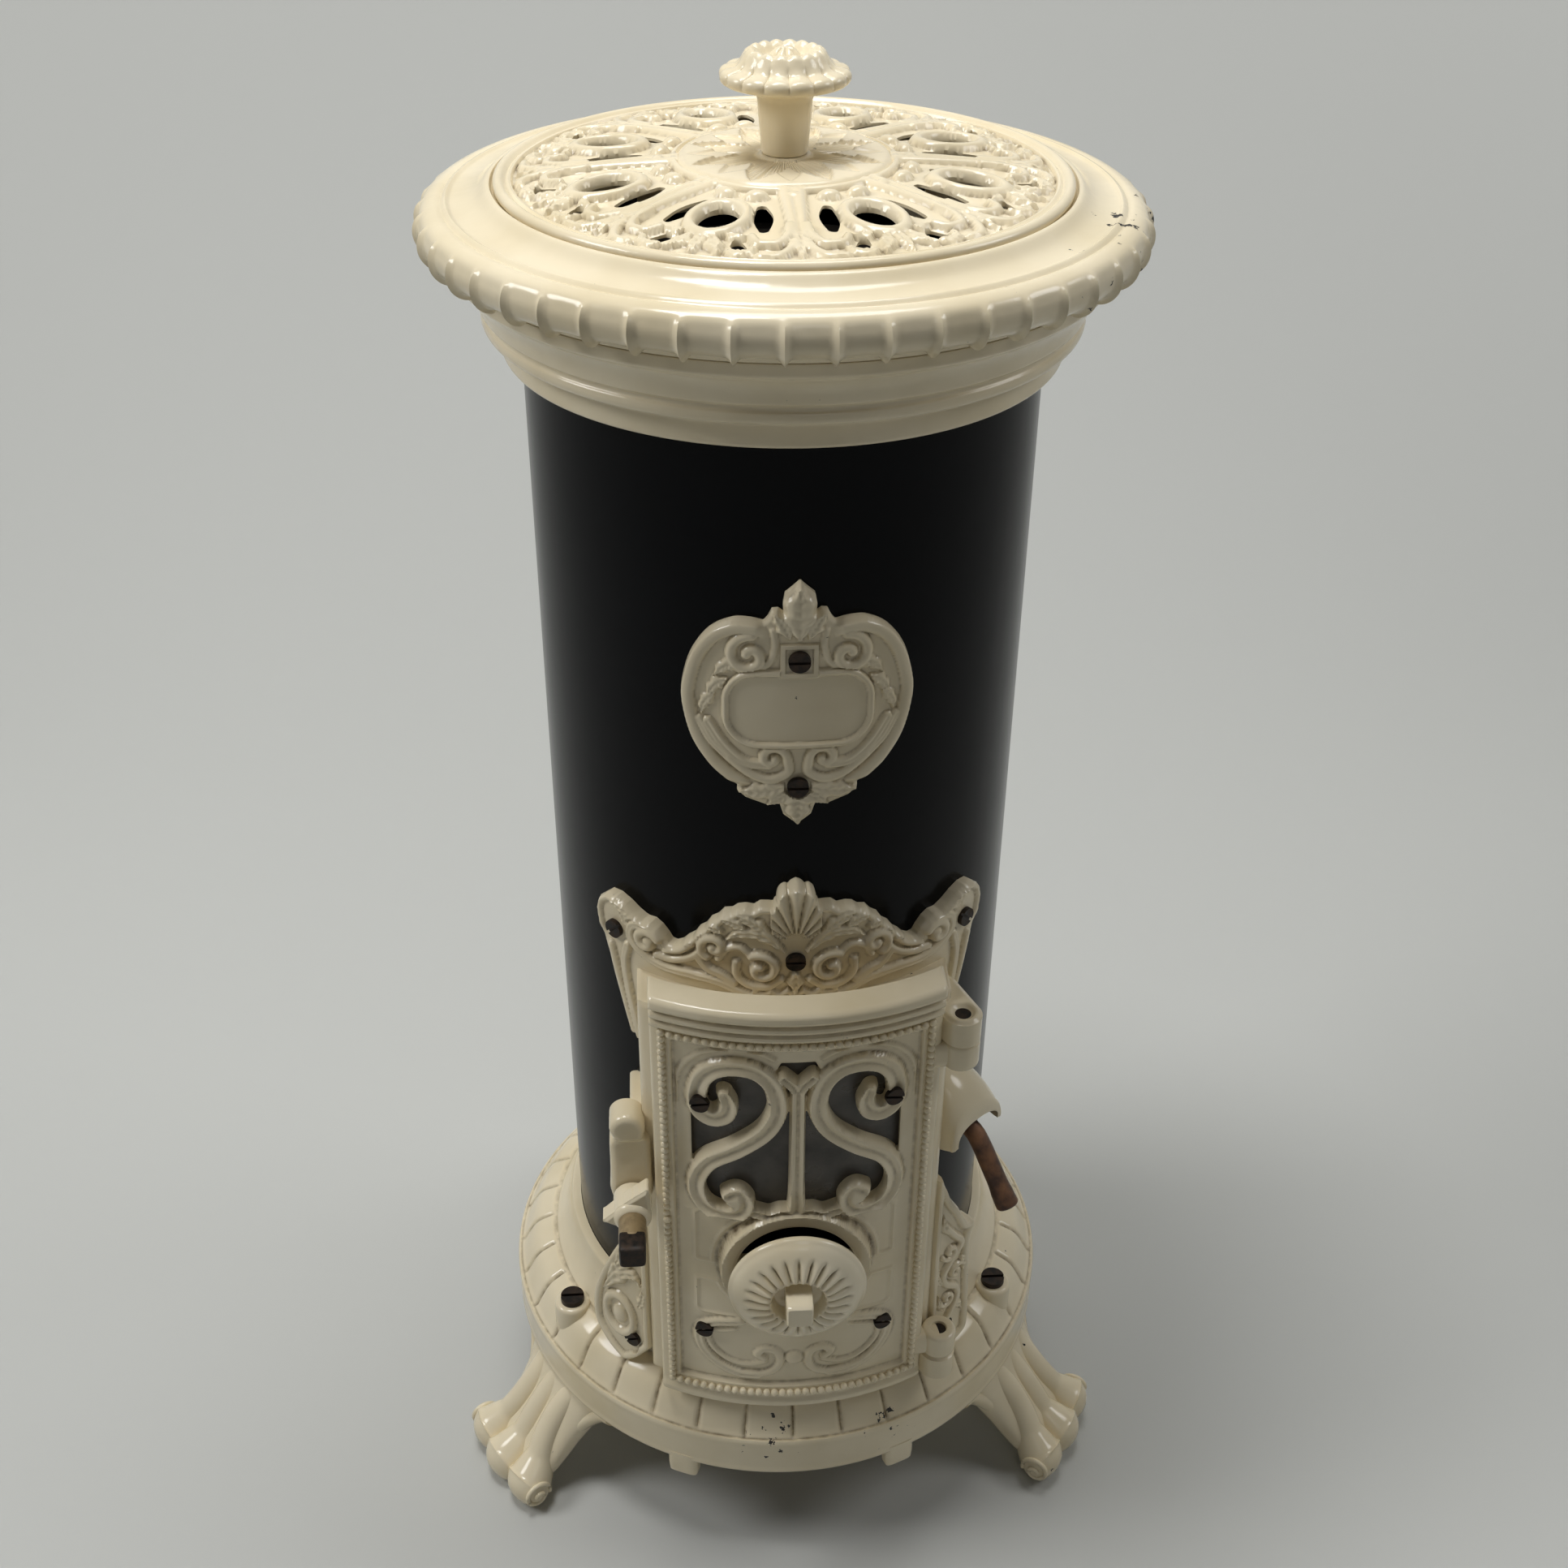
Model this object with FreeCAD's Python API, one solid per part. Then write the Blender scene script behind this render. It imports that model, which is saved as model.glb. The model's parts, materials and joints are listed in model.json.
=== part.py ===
"""Cylindrical cast iron wood stove: enamelled castings round a sheet drum.

Millimetres, +Z up. The drum axis is the Z axis, the floor is z = 0 and the door faces -Y.
Azimuths are measured from the door towards +X.
"""
import FreeCAD, Part
import os
from math import acos, asin, atan2, cos, degrees, hypot, pi, radians, sin, sqrt

V = FreeCAD.Vector
UP = V(0, 0, 1)
FRONT = V(0, -1, 0)

# Clearances and cutting
OVERRUN = 4.0
FIT = 0.3
RUN_FIT = 0.05
SCREW_FIT = 0.4

# Drum
DRUM_R = 150.0
DRUM_WALL = 2.0
DRUM_BOTTOM = 150.0
DRUM_TOP = 886.0

# Base plate
PLATE_R = 202.0
PLATE_LIP_Z = 120.0
PLATE_LIP_ROUND = 4.0
PLATE_BAND = 35.5
PLATE_WALL = 6.0
PLATE_GROOVE_R = 170.0
PLATE_GROOVE_Z = 147.0
PLATE_BULGE = 3.5
PLATE_HOLLOW = 2.0
RING_R = 157.0
RING_TOP = 180.0
LEDGE_R = 130.0
FLUTE_COUNT = 36
FLUTE_WIDTH_DEG = 0.5
FLUTE_DEPTH = 1.4
TAB_AZ = 23.0
TAB_WIDTH = 22.0
TAB_DROP = 17.0
TAB_DEPTH = 11.0

# Legs
LEG_AZ = (-60.0, 60.0, 180.0)
LEG_NAMES = ("leg_left", "leg_right", "leg_rear")
LEG_TOP_R = 186.0
LEG_ANKLE_R = 206.0
LEG_FOOT_R = 232.0
LEG_TOP_HALF = 46.0
LEG_ANKLE_HALF = 24.0
LEG_FOOT_HALF = 31.0
LEG_TOP_DEEP = 22.0
LEG_ANKLE_DEEP = 17.0
LEG_FOOT_DEEP = 20.0
LEG_ANKLE_Z = 52.0
LEG_FOOT_Z = 20.0
TOE_OUT = 14.0
TOE_R = LEG_FOOT_R + TOE_OUT
TOE_AZ = (-7.6, 0.0, 7.6)
TOE_BALL = 14.5
TOE_Z = 12.0
LUG_HALF = 12.0
BOLT_R = 180.0
BOLT_BOSS_R = 13.0
BOLT_BOSS_Z = 149.0
BOLT_SEAT_Z = 114.0
BOLT_SHANK_R = 5.0
BOLT_LENGTH = 46.0
BOLT_HEAD_R = 8.5
BOLT_HEAD_H = 4.5
SLOT_WIDTH_SHARE = 0.28
SLOT_DEPTH_SHARE = 0.5

# Cornice ring on the drum
CORNICE_FOOT_R = 160.5
CORNICE_FOOT_Z = 850.5
CORNICE_NECK_R = 164.5
CORNICE_STEP_R = 171.5
CORNICE_STEP_Z = 870.0
CORNICE_TOP_R = 184.5
CORNICE_TOP_Z = 905.0
CORNICE_HOLLOW = 3.0
CORNICE_WALL = 8.0
FLANGE_R = 130.0
FLANGE_T = 7.0

# Rim ring with its ribbed roll
ROLL_OUT = 5.5
ROLL_R = CORNICE_TOP_R + ROLL_OUT
ROLL_Z = 921.5
ROLL_MINOR = 13.2
RIB_PROUD = 1.3
RIB_COUNT = 50
RIB_WIDTH_DEG = 1.3
RIB_REACH_DEG = 78.0
RIM_BEAD_IN = 4.0
RIM_BEAD_R = ROLL_R - RIM_BEAD_IN
RIM_BEAD_MINOR = 1.7
RIM_COVE_R = 163.5
RIM_COVE_Z = 943.0
RIM_COVE_SAG = 3.0
RIM_INNER_R = 146.0
RIM_WALL = 7.0

# Lid, a pierced casting with a knob
LID_R = 160.0
LID_BEAD = 4.5
LID_SEAT_Z = 939.6
LID_WALL = 6.0
LID_CROWN = 9.0
LID_SIDE_GAP = 0.8
ROSETTE_R = 62.0
ROSETTE_PROUD = 2.0
MOTIF_COUNT = 8
EYE_R = 100.0
EYE_HALF_LONG = 14.5
EYE_HALF_WIDE = 8.5
EYE_RING = 8.0
EYE_PROUD = 2.5
CRESCENT_GAP = 5.5
CRESCENT_ARC_DEG = 62.0
CRESCENT_TURN_DEG = 148.0
TEAR_R = 128.0
TEAR_OFF_DEG = 9.0
TEAR_HALF = 3.2
KNOB_STEM_R = 15.0
KNOB_NECK_R = 12.5
KNOB_CAP_R = 36.0
KNOB_CAP_Z = 992.0
KNOB_TOP_Z = 1012.0
KNOB_LIP = 5.0
KNOB_SCALLOPS = 16
KNOB_SCALLOP_R = 3.0
STUD_R = 4.0
NUT_R = 7.5
NUT_H = 6.0
STUD_IN_KNOB = 26.0

# Fire side: liner, carrier, grate, top plate and feed lid
LINER_R = 132.0
LINER_WALL = 14.0
LINER_TOP = 868.0
FLOOR_T = 5.0
CARRIER_R = 133.0
CARRIER_IN_R = 90.0
CARRIER_TOP = 342.0
CARRIER_T = 12.0
CARRIER_POST_R = 7.0
CARRIER_POST_AT = 125.0
CARRIER_POST_AZ = (-78.0, 78.0, 180.0)
CARRIER_BAR_HALF = 13.0
GRATE_R = 100.0
GRATE_T = 10.0
GRATE_SLOTS = 7
GRATE_SLOT_PITCH = 22.0
GRATE_SLOT_HALF = 5.0
GRATE_RIM = 14.0
GRATE_PIN_R = 9.0
TOP_PLATE_R = 129.0
TOP_PLATE_T = 8.0
FEED_R = 84.0
FEED_LID_R = 94.0
FEED_LID_T = 7.0
FEED_GRIP_R = 9.0
FEED_GRIP_H = 16.0
TIE_R = 4.0
TIE_AT = 139.0
TIE_AZ = (-62.0, 62.0, -140.0, 140.0)
TIE_NUT_R = 7.0
TIE_NUT_H = 6.0
PAN_HALF = 66.0
PAN_FRONT = 118.0
PAN_BACK = 92.0
PAN_H = 62.0
PAN_WALL = 2.0

# Shaker rod through the side of the frame
ROD_AZ = 42.0
ROD_R = 6.0
ROD_Z = 349.5
ROD_BEND_R = 184.0
ROD_DROP = 44.0
ROD_REACH = 30.0
ROD_END_R = 8.0
ROD_END_LONG = 30.0
ROD_START_R = 92.0
ROD_SWING_DEG = 3.0
HOOD_R = 26.0
HOOD_WALL = 4.0
HOOD_REACH_R = 186.0
HOOD_Z = 352.0

# Flue collar at the back
FLUE_R = 55.5
FLUE_WALL = 5.0
FLUE_Z = 712.0
FLUE_REACH = 226.0
FLUE_STOP_PROUD = 3.0
FLUE_STOP_REACH = 162.0
FLUE_FLANGE_R = 76.0
FLUE_FLANGE_T = 5.0
FLUE_SCREW_AT = 66.0

# Plaque
PLAQUE_T = 5.0
PLAQUE_HALF = 67.0
PLAQUE_TOP = 771.0
PLAQUE_FOOT = 613.5
PLAQUE_WAIST_Z = 697.0
PLAQUE_SHOULDER_Z = 748.0
PLAQUE_HIP_Z = 639.0
PLAQUE_HIP = 34.0
PLAQUE_SHOULDER = 19.0
PLAQUE_TIP_HALF = 9.0
PLAQUE_SCREW_Z = (723.8, 641.6)
TABLET_Z = 684.0
TABLET_HALF_WIDE = 43.0
TABLET_HALF_TALL = 25.0
TABLET_PROUD = 2.0

# Door frame: crest, collar, lugs, pilasters
FRAME_T = 7.0
FRAME_FACE_R = 184.5
COLLAR_HALF = 97.0
COLLAR_WALL = 15.0
COLLAR_TOP = 488.0
COLLAR_HEAD = 16.0
COLLAR_BOTTOM = 152.0
COLLAR_RAIL = 15.0
CREST_TIP_Z = 573.5
CREST_TIP_HALF = 12.0
CREST_SHOULDER = 40.0
CREST_SHOULDER_Z = 552.0
CREST_NECK_Z = 559.0
CREST_VALLEY = 78.0
CREST_VALLEY_Z = 518.0
HORN = 109.0
HORN_R = 16.5
HORN_Z = 518.0
HORN_FOOT = 97.0
HORN_FOOT_Z = 478.0
CREST_SCREW_Z = 516.0
HORN_SCREW_Z = 512.0
PILASTER_MID = 110.0
PILASTER_HALF = 14.0
PILASTER_BOTTOM = 170.0
PILASTER_TOP = 318.0
PILASTER_FACE_R = 182.0
PILASTER_T = 9.0
CONSOLE_TIP_Z = 150.0
CONSOLE_TOP = 262.0
MOUTH_HALF = 75.0
MOUTH_BOTTOM = 176.0
MOUTH_TOP = COLLAR_TOP - COLLAR_HEAD

# Hinge of the door
HINGE_X = 103.0
HINGE_Y = -168.0
HINGE_LUG_R = 12.0
HINGE_LUG_H = 20.0
HINGE_PIN_R = 5.0
HINGE_TOP_Z = 480.0
HINGE_LOW_Z = 172.0
HINGE_ARM = 15.0
PIN_SINK = 2.0

# Latch
LATCH_X = -105.0
LATCH_Z = 337.0
LATCH_SPINDLE_R = 5.5
LATCH_STUB_R = 9.0
LATCH_LUG_R = 13.5
LATCH_SIDE_GAP = 1.5
LATCH_LUG_BACK = 150.0
LATCH_LUG_FRONT = 171.0
LATCH_LUG_TOP = 402.0
LATCH_BOSS_R = 11.0
LATCH_CAM_BACK = 180.0
LATCH_CAM_T = 12.0
LATCH_HUB_R = 12.5
LATCH_NOSE = 25.0
LATCH_NOSE_DEG = 66.0
LATCH_TAIL = 19.0
LATCH_TAIL_DEG = 188.0
LATCH_STUB = 17.0
LATCH_SQUARE = 17.0
LATCH_SQUARE_LONG = 17.0
LATCH_NUT_R = 7.7
LATCH_NUT_H = 7.0

# Door
DOOR_HALF = 90.0
DOOR_BOTTOM = 150.0
DOOR_TOP = 516.0
DOOR_FIELD_R = 192.5
DOOR_BORDER_R = 196.0
DOOR_BORDER = 15.0
DOOR_STEP_COUNT = 3
DOOR_STEP_H = 10.0
DOOR_STEP_OUT = 2.8
WINDOW_HALF = 66.0
WINDOW_BOTTOM = 336.0
WINDOW_TOP = 466.0
WINDOW_CORNER = 8.0
PANE_T = 1.8
PANE_LAP = 6.0
LINER_PLATE_T = 6.0
LINER_PLATE_HALF = 74.0
LINER_PLATE_BOTTOM = 206.0
LINER_PLATE_GAP = 2.0
LINER_PLATE_TOP = MOUTH_TOP - LINER_PLATE_GAP
STROKE = 15.0
SCROLL_TOP_X = 38.0
SCROLL_DROP = 30.0
SCROLL_TOP_Z = WINDOW_TOP - SCROLL_DROP
SCROLL_TOP_R = 24.0
CURL_START_DEG = -25.0
CURL_END_DEG = 110.0
HALF_TURN = 180.0
SCROLL_LOW_X = 42.0
SCROLL_RISE = 14.0
SCROLL_LOW_Z = WINDOW_BOTTOM + SCROLL_RISE
SCROLL_LOW_R = 17.5
STEM_HALF = 6.5
DOOR_SCREW_X = 60.0
DOOR_SCREW_DROP = 7.0
DOOR_SCREW_LOW_Z = 221.0
DOOR_SCREW_Z = (SCROLL_TOP_Z - DOOR_SCREW_DROP, DOOR_SCREW_LOW_Z)
AIR_Z = 288.0
AIR_HOLE_R = 40.0
AIR_SEAT_R = 51.0
AIR_SEAT_Y = 197.5
AIR_BAR_HALF = 7.0
AIR_BAR_T = 8.0
AIR_HUB_R = 14.0
AIR_STUD_R = 6.0
AIR_GAP = 10.0
AIR_DISC_R = 45.5
AIR_RIM_T = 5.0
AIR_DISH = 12.0
AIR_BOSS_R = 21.0
AIR_PEG = 17.0
AIR_PEG_LONG = 18.0
AIR_WASHER_R = 15.0
AIR_WASHER_T = 2.0

# Small slotted screws
SCREW_R = 3.0
SCREW_HEAD_R = 6.2
SCREW_HEAD_H = 3.2


def at(radius, azimuth, z):
    """Point at a radius and azimuth, in degrees from the door towards +X."""
    a = radians(azimuth)
    return V(radius * sin(a), -radius * cos(a), z)


def outward(azimuth):
    """Unit vector away from the drum axis."""
    a = radians(azimuth)
    return V(sin(a), -cos(a), 0)


def wire_face(path, place):
    """Closed face from corners and (middle, end) arcs; place maps a 2-D point to space."""
    first = last = place(*path[0])
    edges = []
    for step in path[1:]:
        if isinstance(step[0], tuple):
            middle, end = place(*step[0]), place(*step[1])
            edges.append(Part.Arc(last, middle, end).toShape())
        else:
            end = place(*step)
            edges.append(Part.LineSegment(last, end).toShape())
        last = end
    if (last - first).Length > Part.Precision.confusion():
        edges.append(Part.LineSegment(last, first).toShape())
    return Part.Face(Part.Wire(edges))


def side_on(x, z):
    """Place a (radius, height) point on the half plane that is revolved."""
    return V(x, 0, z)


def revolved(path, angle=360.0):
    """Solid of revolution about the drum axis from a (radius, height) outline."""
    return wire_face(path, side_on).revolve(V(0, 0, 0), UP, angle)


def front_prism(path, near, far):
    """Prism of an (x, z) outline, from distance near to distance far in front of the axis."""
    face = wire_face(path, lambda x, z: V(x, -near, z))
    return face.extrude(V(0, near - far, 0))


def tube(outer, inner, z0, z1):
    """Plain ring about the drum axis."""
    ring = Part.makeCylinder(outer, z1 - z0, V(0, 0, z0))
    return ring.cut(Part.makeCylinder(inner, z1 - z0, V(0, 0, z0)))


def rod_between(start, end, radius):
    """Round bar between two points."""
    return Part.makeCylinder(radius, (end - start).Length, start, end - start)


def rectangle(x0, x1, z0, z1):
    """Corners of an upright rectangle."""
    return [(x0, z0), (x1, z0), (x1, z1), (x0, z1)]


def fused(shapes):
    """One solid from shapes that meet."""
    return shapes[0].multiFuse(shapes[1:]).removeSplitter()


def spun(shape, angle):
    """Copy of a shape turned about the drum axis; positive goes from the door towards +X."""
    copy = shape.copy()
    copy.rotate(V(0, 0, 0), UP, angle)
    return copy


def mirrored(shape):
    """Left hand copy of a right hand shape."""
    return shape.mirror(V(0, 0, 0), V(1, 0, 0))


def on_radius(x, radius):
    """Distance in front of the axis of a point at x on a drum of a given radius."""
    return sqrt(radius**2 - x**2)


def slotted_screw(seat, inward, length, shank_r, head_r, head_h):
    """Slotted cheese head screw: seat is the middle of the face under its head."""
    out = inward * -1
    head = Part.makeCylinder(head_r, head_h, seat, out)
    slot = Part.makeBox(head_r * (2 + SLOT_WIDTH_SHARE), head_r * SLOT_WIDTH_SHARE, head_h)
    slot.translate(V(-head_r * (1 + SLOT_WIDTH_SHARE / 2), -head_r * SLOT_WIDTH_SHARE / 2, 0))
    slot.Placement = FreeCAD.Placement(
        seat + out * (head_h * (1 - SLOT_DEPTH_SHARE)), FreeCAD.Rotation(UP, out)
    ).multiply(slot.Placement)
    return head.cut(slot).fuse(Part.makeCylinder(shank_r, length, seat, inward))


def screw_hole(seat, inward, length, shank_r):
    """Clearance hole for a slotted screw."""
    start = seat - inward * OVERRUN
    return Part.makeCylinder(shank_r + SCREW_FIT, length + 2 * OVERRUN, start, inward)


# Fasteners: every group is a list of (seat, inward direction, length)
def radial_screw(face_r, azimuth, z, length):
    """Screw that points at the drum axis from a face at face_r."""
    return at(face_r, azimuth, z), outward(azimuth) * -1, length


CREST_FACE_R = DRUM_R + FIT + FRAME_T
PLAQUE_FACE_R = DRUM_R + FIT + PLAQUE_T
SHEET_GRIP = FIT + DRUM_WALL + OVERRUN
HORN_AZ = degrees(asin(HORN / CREST_FACE_R))
PILASTER_AZ = degrees(asin(PILASTER_MID / PILASTER_FACE_R))
PLAQUE_SCREWS = [radial_screw(PLAQUE_FACE_R, 0, z, PLAQUE_T + SHEET_GRIP) for z in PLAQUE_SCREW_Z]
CREST_SCREWS = [
    radial_screw(CREST_FACE_R, 0, CREST_SCREW_Z, FRAME_T + SHEET_GRIP),
    radial_screw(CREST_FACE_R, HORN_AZ, HORN_SCREW_Z, FRAME_T + SHEET_GRIP),
    radial_screw(CREST_FACE_R, -HORN_AZ, HORN_SCREW_Z, FRAME_T + SHEET_GRIP),
]
PILASTER_SCREWS = [
    radial_screw(PILASTER_FACE_R, side * PILASTER_AZ, PILASTER_BOTTOM, PILASTER_FACE_R - DRUM_R - FIT)
    for side in (-1, 1)
]
DOOR_BACK_R = FRAME_FACE_R + FIT
SCROLL_FACE_R = DOOR_FIELD_R + PANE_T
DOOR_SCREWS = [
    radial_screw(
        face_r, side * degrees(asin(DOOR_SCREW_X / face_r)), z, face_r - DOOR_BACK_R + LINER_PLATE_T + OVERRUN
    )
    for z, face_r in zip(DOOR_SCREW_Z, (SCROLL_FACE_R, DOOR_FIELD_R))
    for side in (-1, 1)
]
FLUE_FACE_R = DRUM_R + FIT + FLUE_FLANGE_T
FLUE_SCREWS = [
    radial_screw(
        FLUE_FACE_R,
        180 + degrees(asin(FLUE_SCREW_AT * cos(turn) / FLUE_FACE_R)),
        FLUE_Z + FLUE_SCREW_AT * sin(turn),
        FLUE_FLANGE_T + SHEET_GRIP,
    )
    for turn in (pi / 4, 3 * pi / 4, 5 * pi / 4, 7 * pi / 4)
]
LEG_BOLTS = [(at(BOLT_R, azimuth, BOLT_BOSS_Z), UP * -1, BOLT_LENGTH) for azimuth in LEG_AZ]


def screws(group, shank_r=SCREW_R, head_r=SCREW_HEAD_R, head_h=SCREW_HEAD_H):
    """Compound of the screws of one group."""
    made = [slotted_screw(seat, way, long, shank_r, head_r, head_h) for seat, way, long in group]
    return Part.makeCompound(made)


def drilled(shape, group, shank_r=SCREW_R):
    """Shape with the clearance holes of a group of screws."""
    return shape.cut([screw_hole(seat, way, long, shank_r) for seat, way, long in group])


# Base plate and legs
BAND_BOTTOM = PLATE_LIP_Z - PLATE_BAND


def plate_top(grow=0.0):
    """Outline of the plate's top from its outer lip to the drum, moved out by grow."""
    lip_r = PLATE_R + grow
    lip_z = PLATE_LIP_Z + grow
    turn = PLATE_LIP_ROUND * (1 - cos(pi / 4))
    shoulder = (PLATE_R - PLATE_LIP_ROUND, lip_z)
    groove = (PLATE_GROOVE_R + grow, PLATE_GROOVE_Z + grow)
    foot = (RING_R + grow, RING_TOP - PLATE_LIP_ROUND)
    bulge = ((shoulder[0] + groove[0]) / 2 + PLATE_BULGE, (shoulder[1] + groove[1]) / 2 + PLATE_BULGE)
    hollow = ((groove[0] + foot[0]) / 2 - PLATE_HOLLOW, (groove[1] + foot[1]) / 2 - PLATE_HOLLOW)
    return [
        (lip_r, lip_z - PLATE_LIP_ROUND),
        ((lip_r - turn, lip_z - turn), shoulder),
        (bulge, groove),
        (hollow, foot),
        (RING_R + grow, RING_TOP + grow),
    ]


def plate_flute():
    """Thin radial cut that follows the bulge of the plate."""
    path = plate_top()
    shoulder, (bulge, groove) = path[1][1], path[2]
    drop = FLUTE_DEPTH
    over = FLUTE_DEPTH
    outline = [
        (shoulder[0] - drop, shoulder[1] - drop),
        ((bulge[0] - drop, bulge[1] - drop), (groove[0] - drop, groove[1] - drop)),
        (groove[0] + over, groove[1] + over),
        ((bulge[0] + over, bulge[1] + over), (shoulder[0] + over, shoulder[1] + over)),
    ]
    return revolved(outline, FLUTE_WIDTH_DEG)


def base_plate():
    """Round plate with its band, fluted shoulder, drum ring, bolt bosses and front tabs."""
    inside = PLATE_R - PLATE_WALL
    under = DRUM_BOTTOM - PLATE_WALL
    solid = revolved(
        [(inside, BAND_BOTTOM), (PLATE_R, BAND_BOTTOM)]
        + plate_top()
        + [
            (DRUM_R + FIT, RING_TOP),
            (DRUM_R + FIT, DRUM_BOTTOM),
            (LEDGE_R, DRUM_BOTTOM),
            (LEDGE_R, under),
            (PLATE_GROOVE_R - 2 * PLATE_WALL, under),
            (inside, PLATE_LIP_Z - PLATE_WALL),
        ]
    )
    flute = plate_flute()
    step = 360.0 / FLUTE_COUNT
    solid = solid.cut([spun(flute, step * (k + 1 / 2)) for k in range(FLUTE_COUNT)])
    bosses = [
        Part.makeCylinder(BOLT_BOSS_R, BOLT_BOSS_Z - BOLT_SEAT_Z, at(BOLT_R, a, BOLT_SEAT_Z)) for a in LEG_AZ
    ]
    tab = Part.makeBox(TAB_DEPTH, TAB_WIDTH, TAB_DROP + PLATE_WALL)
    tab.translate(V(PLATE_R - TAB_DEPTH, -TAB_WIDTH / 2, BAND_BOTTOM - TAB_DROP))
    tab = tab.common(Part.makeCylinder(PLATE_R, PLATE_LIP_Z))
    tabs = [spun(tab, -90 + side * TAB_AZ) for side in (-1, 1)]
    solid = fused([solid] + bosses + tabs)
    ties = [
        rod_between(at(TIE_AT, a, under - PLATE_WALL), at(TIE_AT, a, DRUM_TOP), TIE_R + SCREW_FIT)
        for a in TIE_AZ
    ]
    solid = solid.cut(ties)
    solid = drilled(solid, LEG_BOLTS, BOLT_SHANK_R)
    return drilled(solid, PILASTER_SCREWS)


def leg_section(azimuth, radius, half, deep, z):
    """Level oval section of a leg, long side across the leg."""
    oval = Part.Ellipse(V(0, 0, 0), half, deep).toShape()
    oval.rotate(V(0, 0, 0), UP, azimuth)
    oval.translate(at(radius, azimuth, z))
    return Part.Wire([oval])


def leg(azimuth):
    """Cabriole leg with three ball toes and a lug that is bolted under the plate."""
    sections = [
        leg_section(azimuth, LEG_TOP_R, LEG_TOP_HALF, LEG_TOP_DEEP, BAND_BOTTOM),
        leg_section(azimuth, LEG_ANKLE_R, LEG_ANKLE_HALF, LEG_ANKLE_DEEP, LEG_ANKLE_Z),
        leg_section(azimuth, LEG_FOOT_R, LEG_FOOT_HALF, LEG_FOOT_DEEP, LEG_FOOT_Z),
        leg_section(azimuth, LEG_FOOT_R, LEG_FOOT_HALF, LEG_FOOT_DEEP, 0),
    ]
    shank = Part.makeLoft(sections, True, True)
    toes = [Part.makeSphere(TOE_BALL, at(TOE_R, azimuth + turn, TOE_Z)) for turn in TOE_AZ]
    lug = Part.makeBox(2 * LUG_HALF, 2 * LUG_HALF, BOLT_SEAT_Z - LEG_ANKLE_Z)
    lug.translate(V(-LUG_HALF, -BOLT_R - LUG_HALF, LEG_ANKLE_Z))
    lug = spun(lug, azimuth).common(Part.makeCylinder(PLATE_R - PLATE_WALL - FIT, BOLT_SEAT_Z))
    below = Part.makeBox(4 * PLATE_R, 4 * PLATE_R, BAND_BOTTOM - PLATE_WALL, V(-2 * PLATE_R, -2 * PLATE_R, 0))
    lug = lug.cut(below)
    solid = shank.multiFuse([lug] + toes)
    below = Part.makeBox(4 * PLATE_R, 4 * PLATE_R, PLATE_LIP_Z, V(-2 * PLATE_R, -2 * PLATE_R, -PLATE_LIP_Z))
    return drilled(solid.cut(below), LEG_BOLTS, BOLT_SHANK_R)


# Drum, cornice and rim
def drum_jacket():
    """Sheet drum with the door mouth, the flue hole and the holes of its fittings."""
    sheet = tube(DRUM_R, DRUM_R - DRUM_WALL, DRUM_BOTTOM, DRUM_TOP)
    mouth = front_prism(rectangle(-MOUTH_HALF, MOUTH_HALF, MOUTH_BOTTOM, MOUTH_TOP), 0, PLATE_R)
    flue = rod_between(at(0, 180, FLUE_Z), at(PLATE_R, 180, FLUE_Z), FLUE_R - FLUE_WALL)
    sheet = sheet.cut([mouth, flue, rod_passage()])
    sheet = drilled(sheet, PLAQUE_SCREWS)
    sheet = drilled(sheet, CREST_SCREWS)
    return drilled(sheet, FLUE_SCREWS)


def cornice_ring():
    """Stepped ring that caps the drum, with a flange for the tie rods."""
    cove = (
        (CORNICE_STEP_R + CORNICE_TOP_R) / 2 - CORNICE_HOLLOW,
        (CORNICE_STEP_Z + CORNICE_TOP_Z) / 2 + CORNICE_HOLLOW,
    )
    step_rise = CORNICE_NECK_R - CORNICE_FOOT_R
    solid = revolved(
        [
            (DRUM_R + FIT, CORNICE_FOOT_Z),
            (CORNICE_FOOT_R, CORNICE_FOOT_Z),
            (CORNICE_NECK_R, CORNICE_STEP_Z - step_rise),
            (CORNICE_STEP_R, CORNICE_STEP_Z),
            (cove, (CORNICE_TOP_R, CORNICE_TOP_Z - step_rise)),
            (CORNICE_TOP_R, CORNICE_TOP_Z),
            (CORNICE_TOP_R - CORNICE_WALL, CORNICE_TOP_Z),
            (CORNICE_STEP_R - step_rise, DRUM_TOP + FLANGE_T),
            (FLANGE_R, DRUM_TOP + FLANGE_T),
            (FLANGE_R, DRUM_TOP),
            (DRUM_R + FIT, DRUM_TOP),
        ]
    )
    ties = [
        rod_between(at(TIE_AT, a, DRUM_BOTTOM), at(TIE_AT, a, CORNICE_TOP_Z), TIE_R + SCREW_FIT)
        for a in TIE_AZ
    ]
    return solid.cut(ties)


def roll_point(minor, turn_deg):
    """Point on the section of the ribbed roll; zero degrees points outwards."""
    a = radians(turn_deg)
    return ROLL_R + minor * cos(a), ROLL_Z + minor * sin(a)


def roll_rib():
    """One narrow rib across the roll."""
    crest = ROLL_MINOR + RIB_PROUD
    root = ROLL_MINOR - RIB_PROUD
    outline = [
        roll_point(root, -RIB_REACH_DEG),
        roll_point(ROLL_MINOR, -RIB_REACH_DEG),
        (roll_point(crest, 0), roll_point(ROLL_MINOR, RIB_REACH_DEG)),
        roll_point(root, RIB_REACH_DEG),
        (roll_point(root, 0), roll_point(root, -RIB_REACH_DEG)),
    ]
    return revolved(outline, RIB_WIDTH_DEG)


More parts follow.
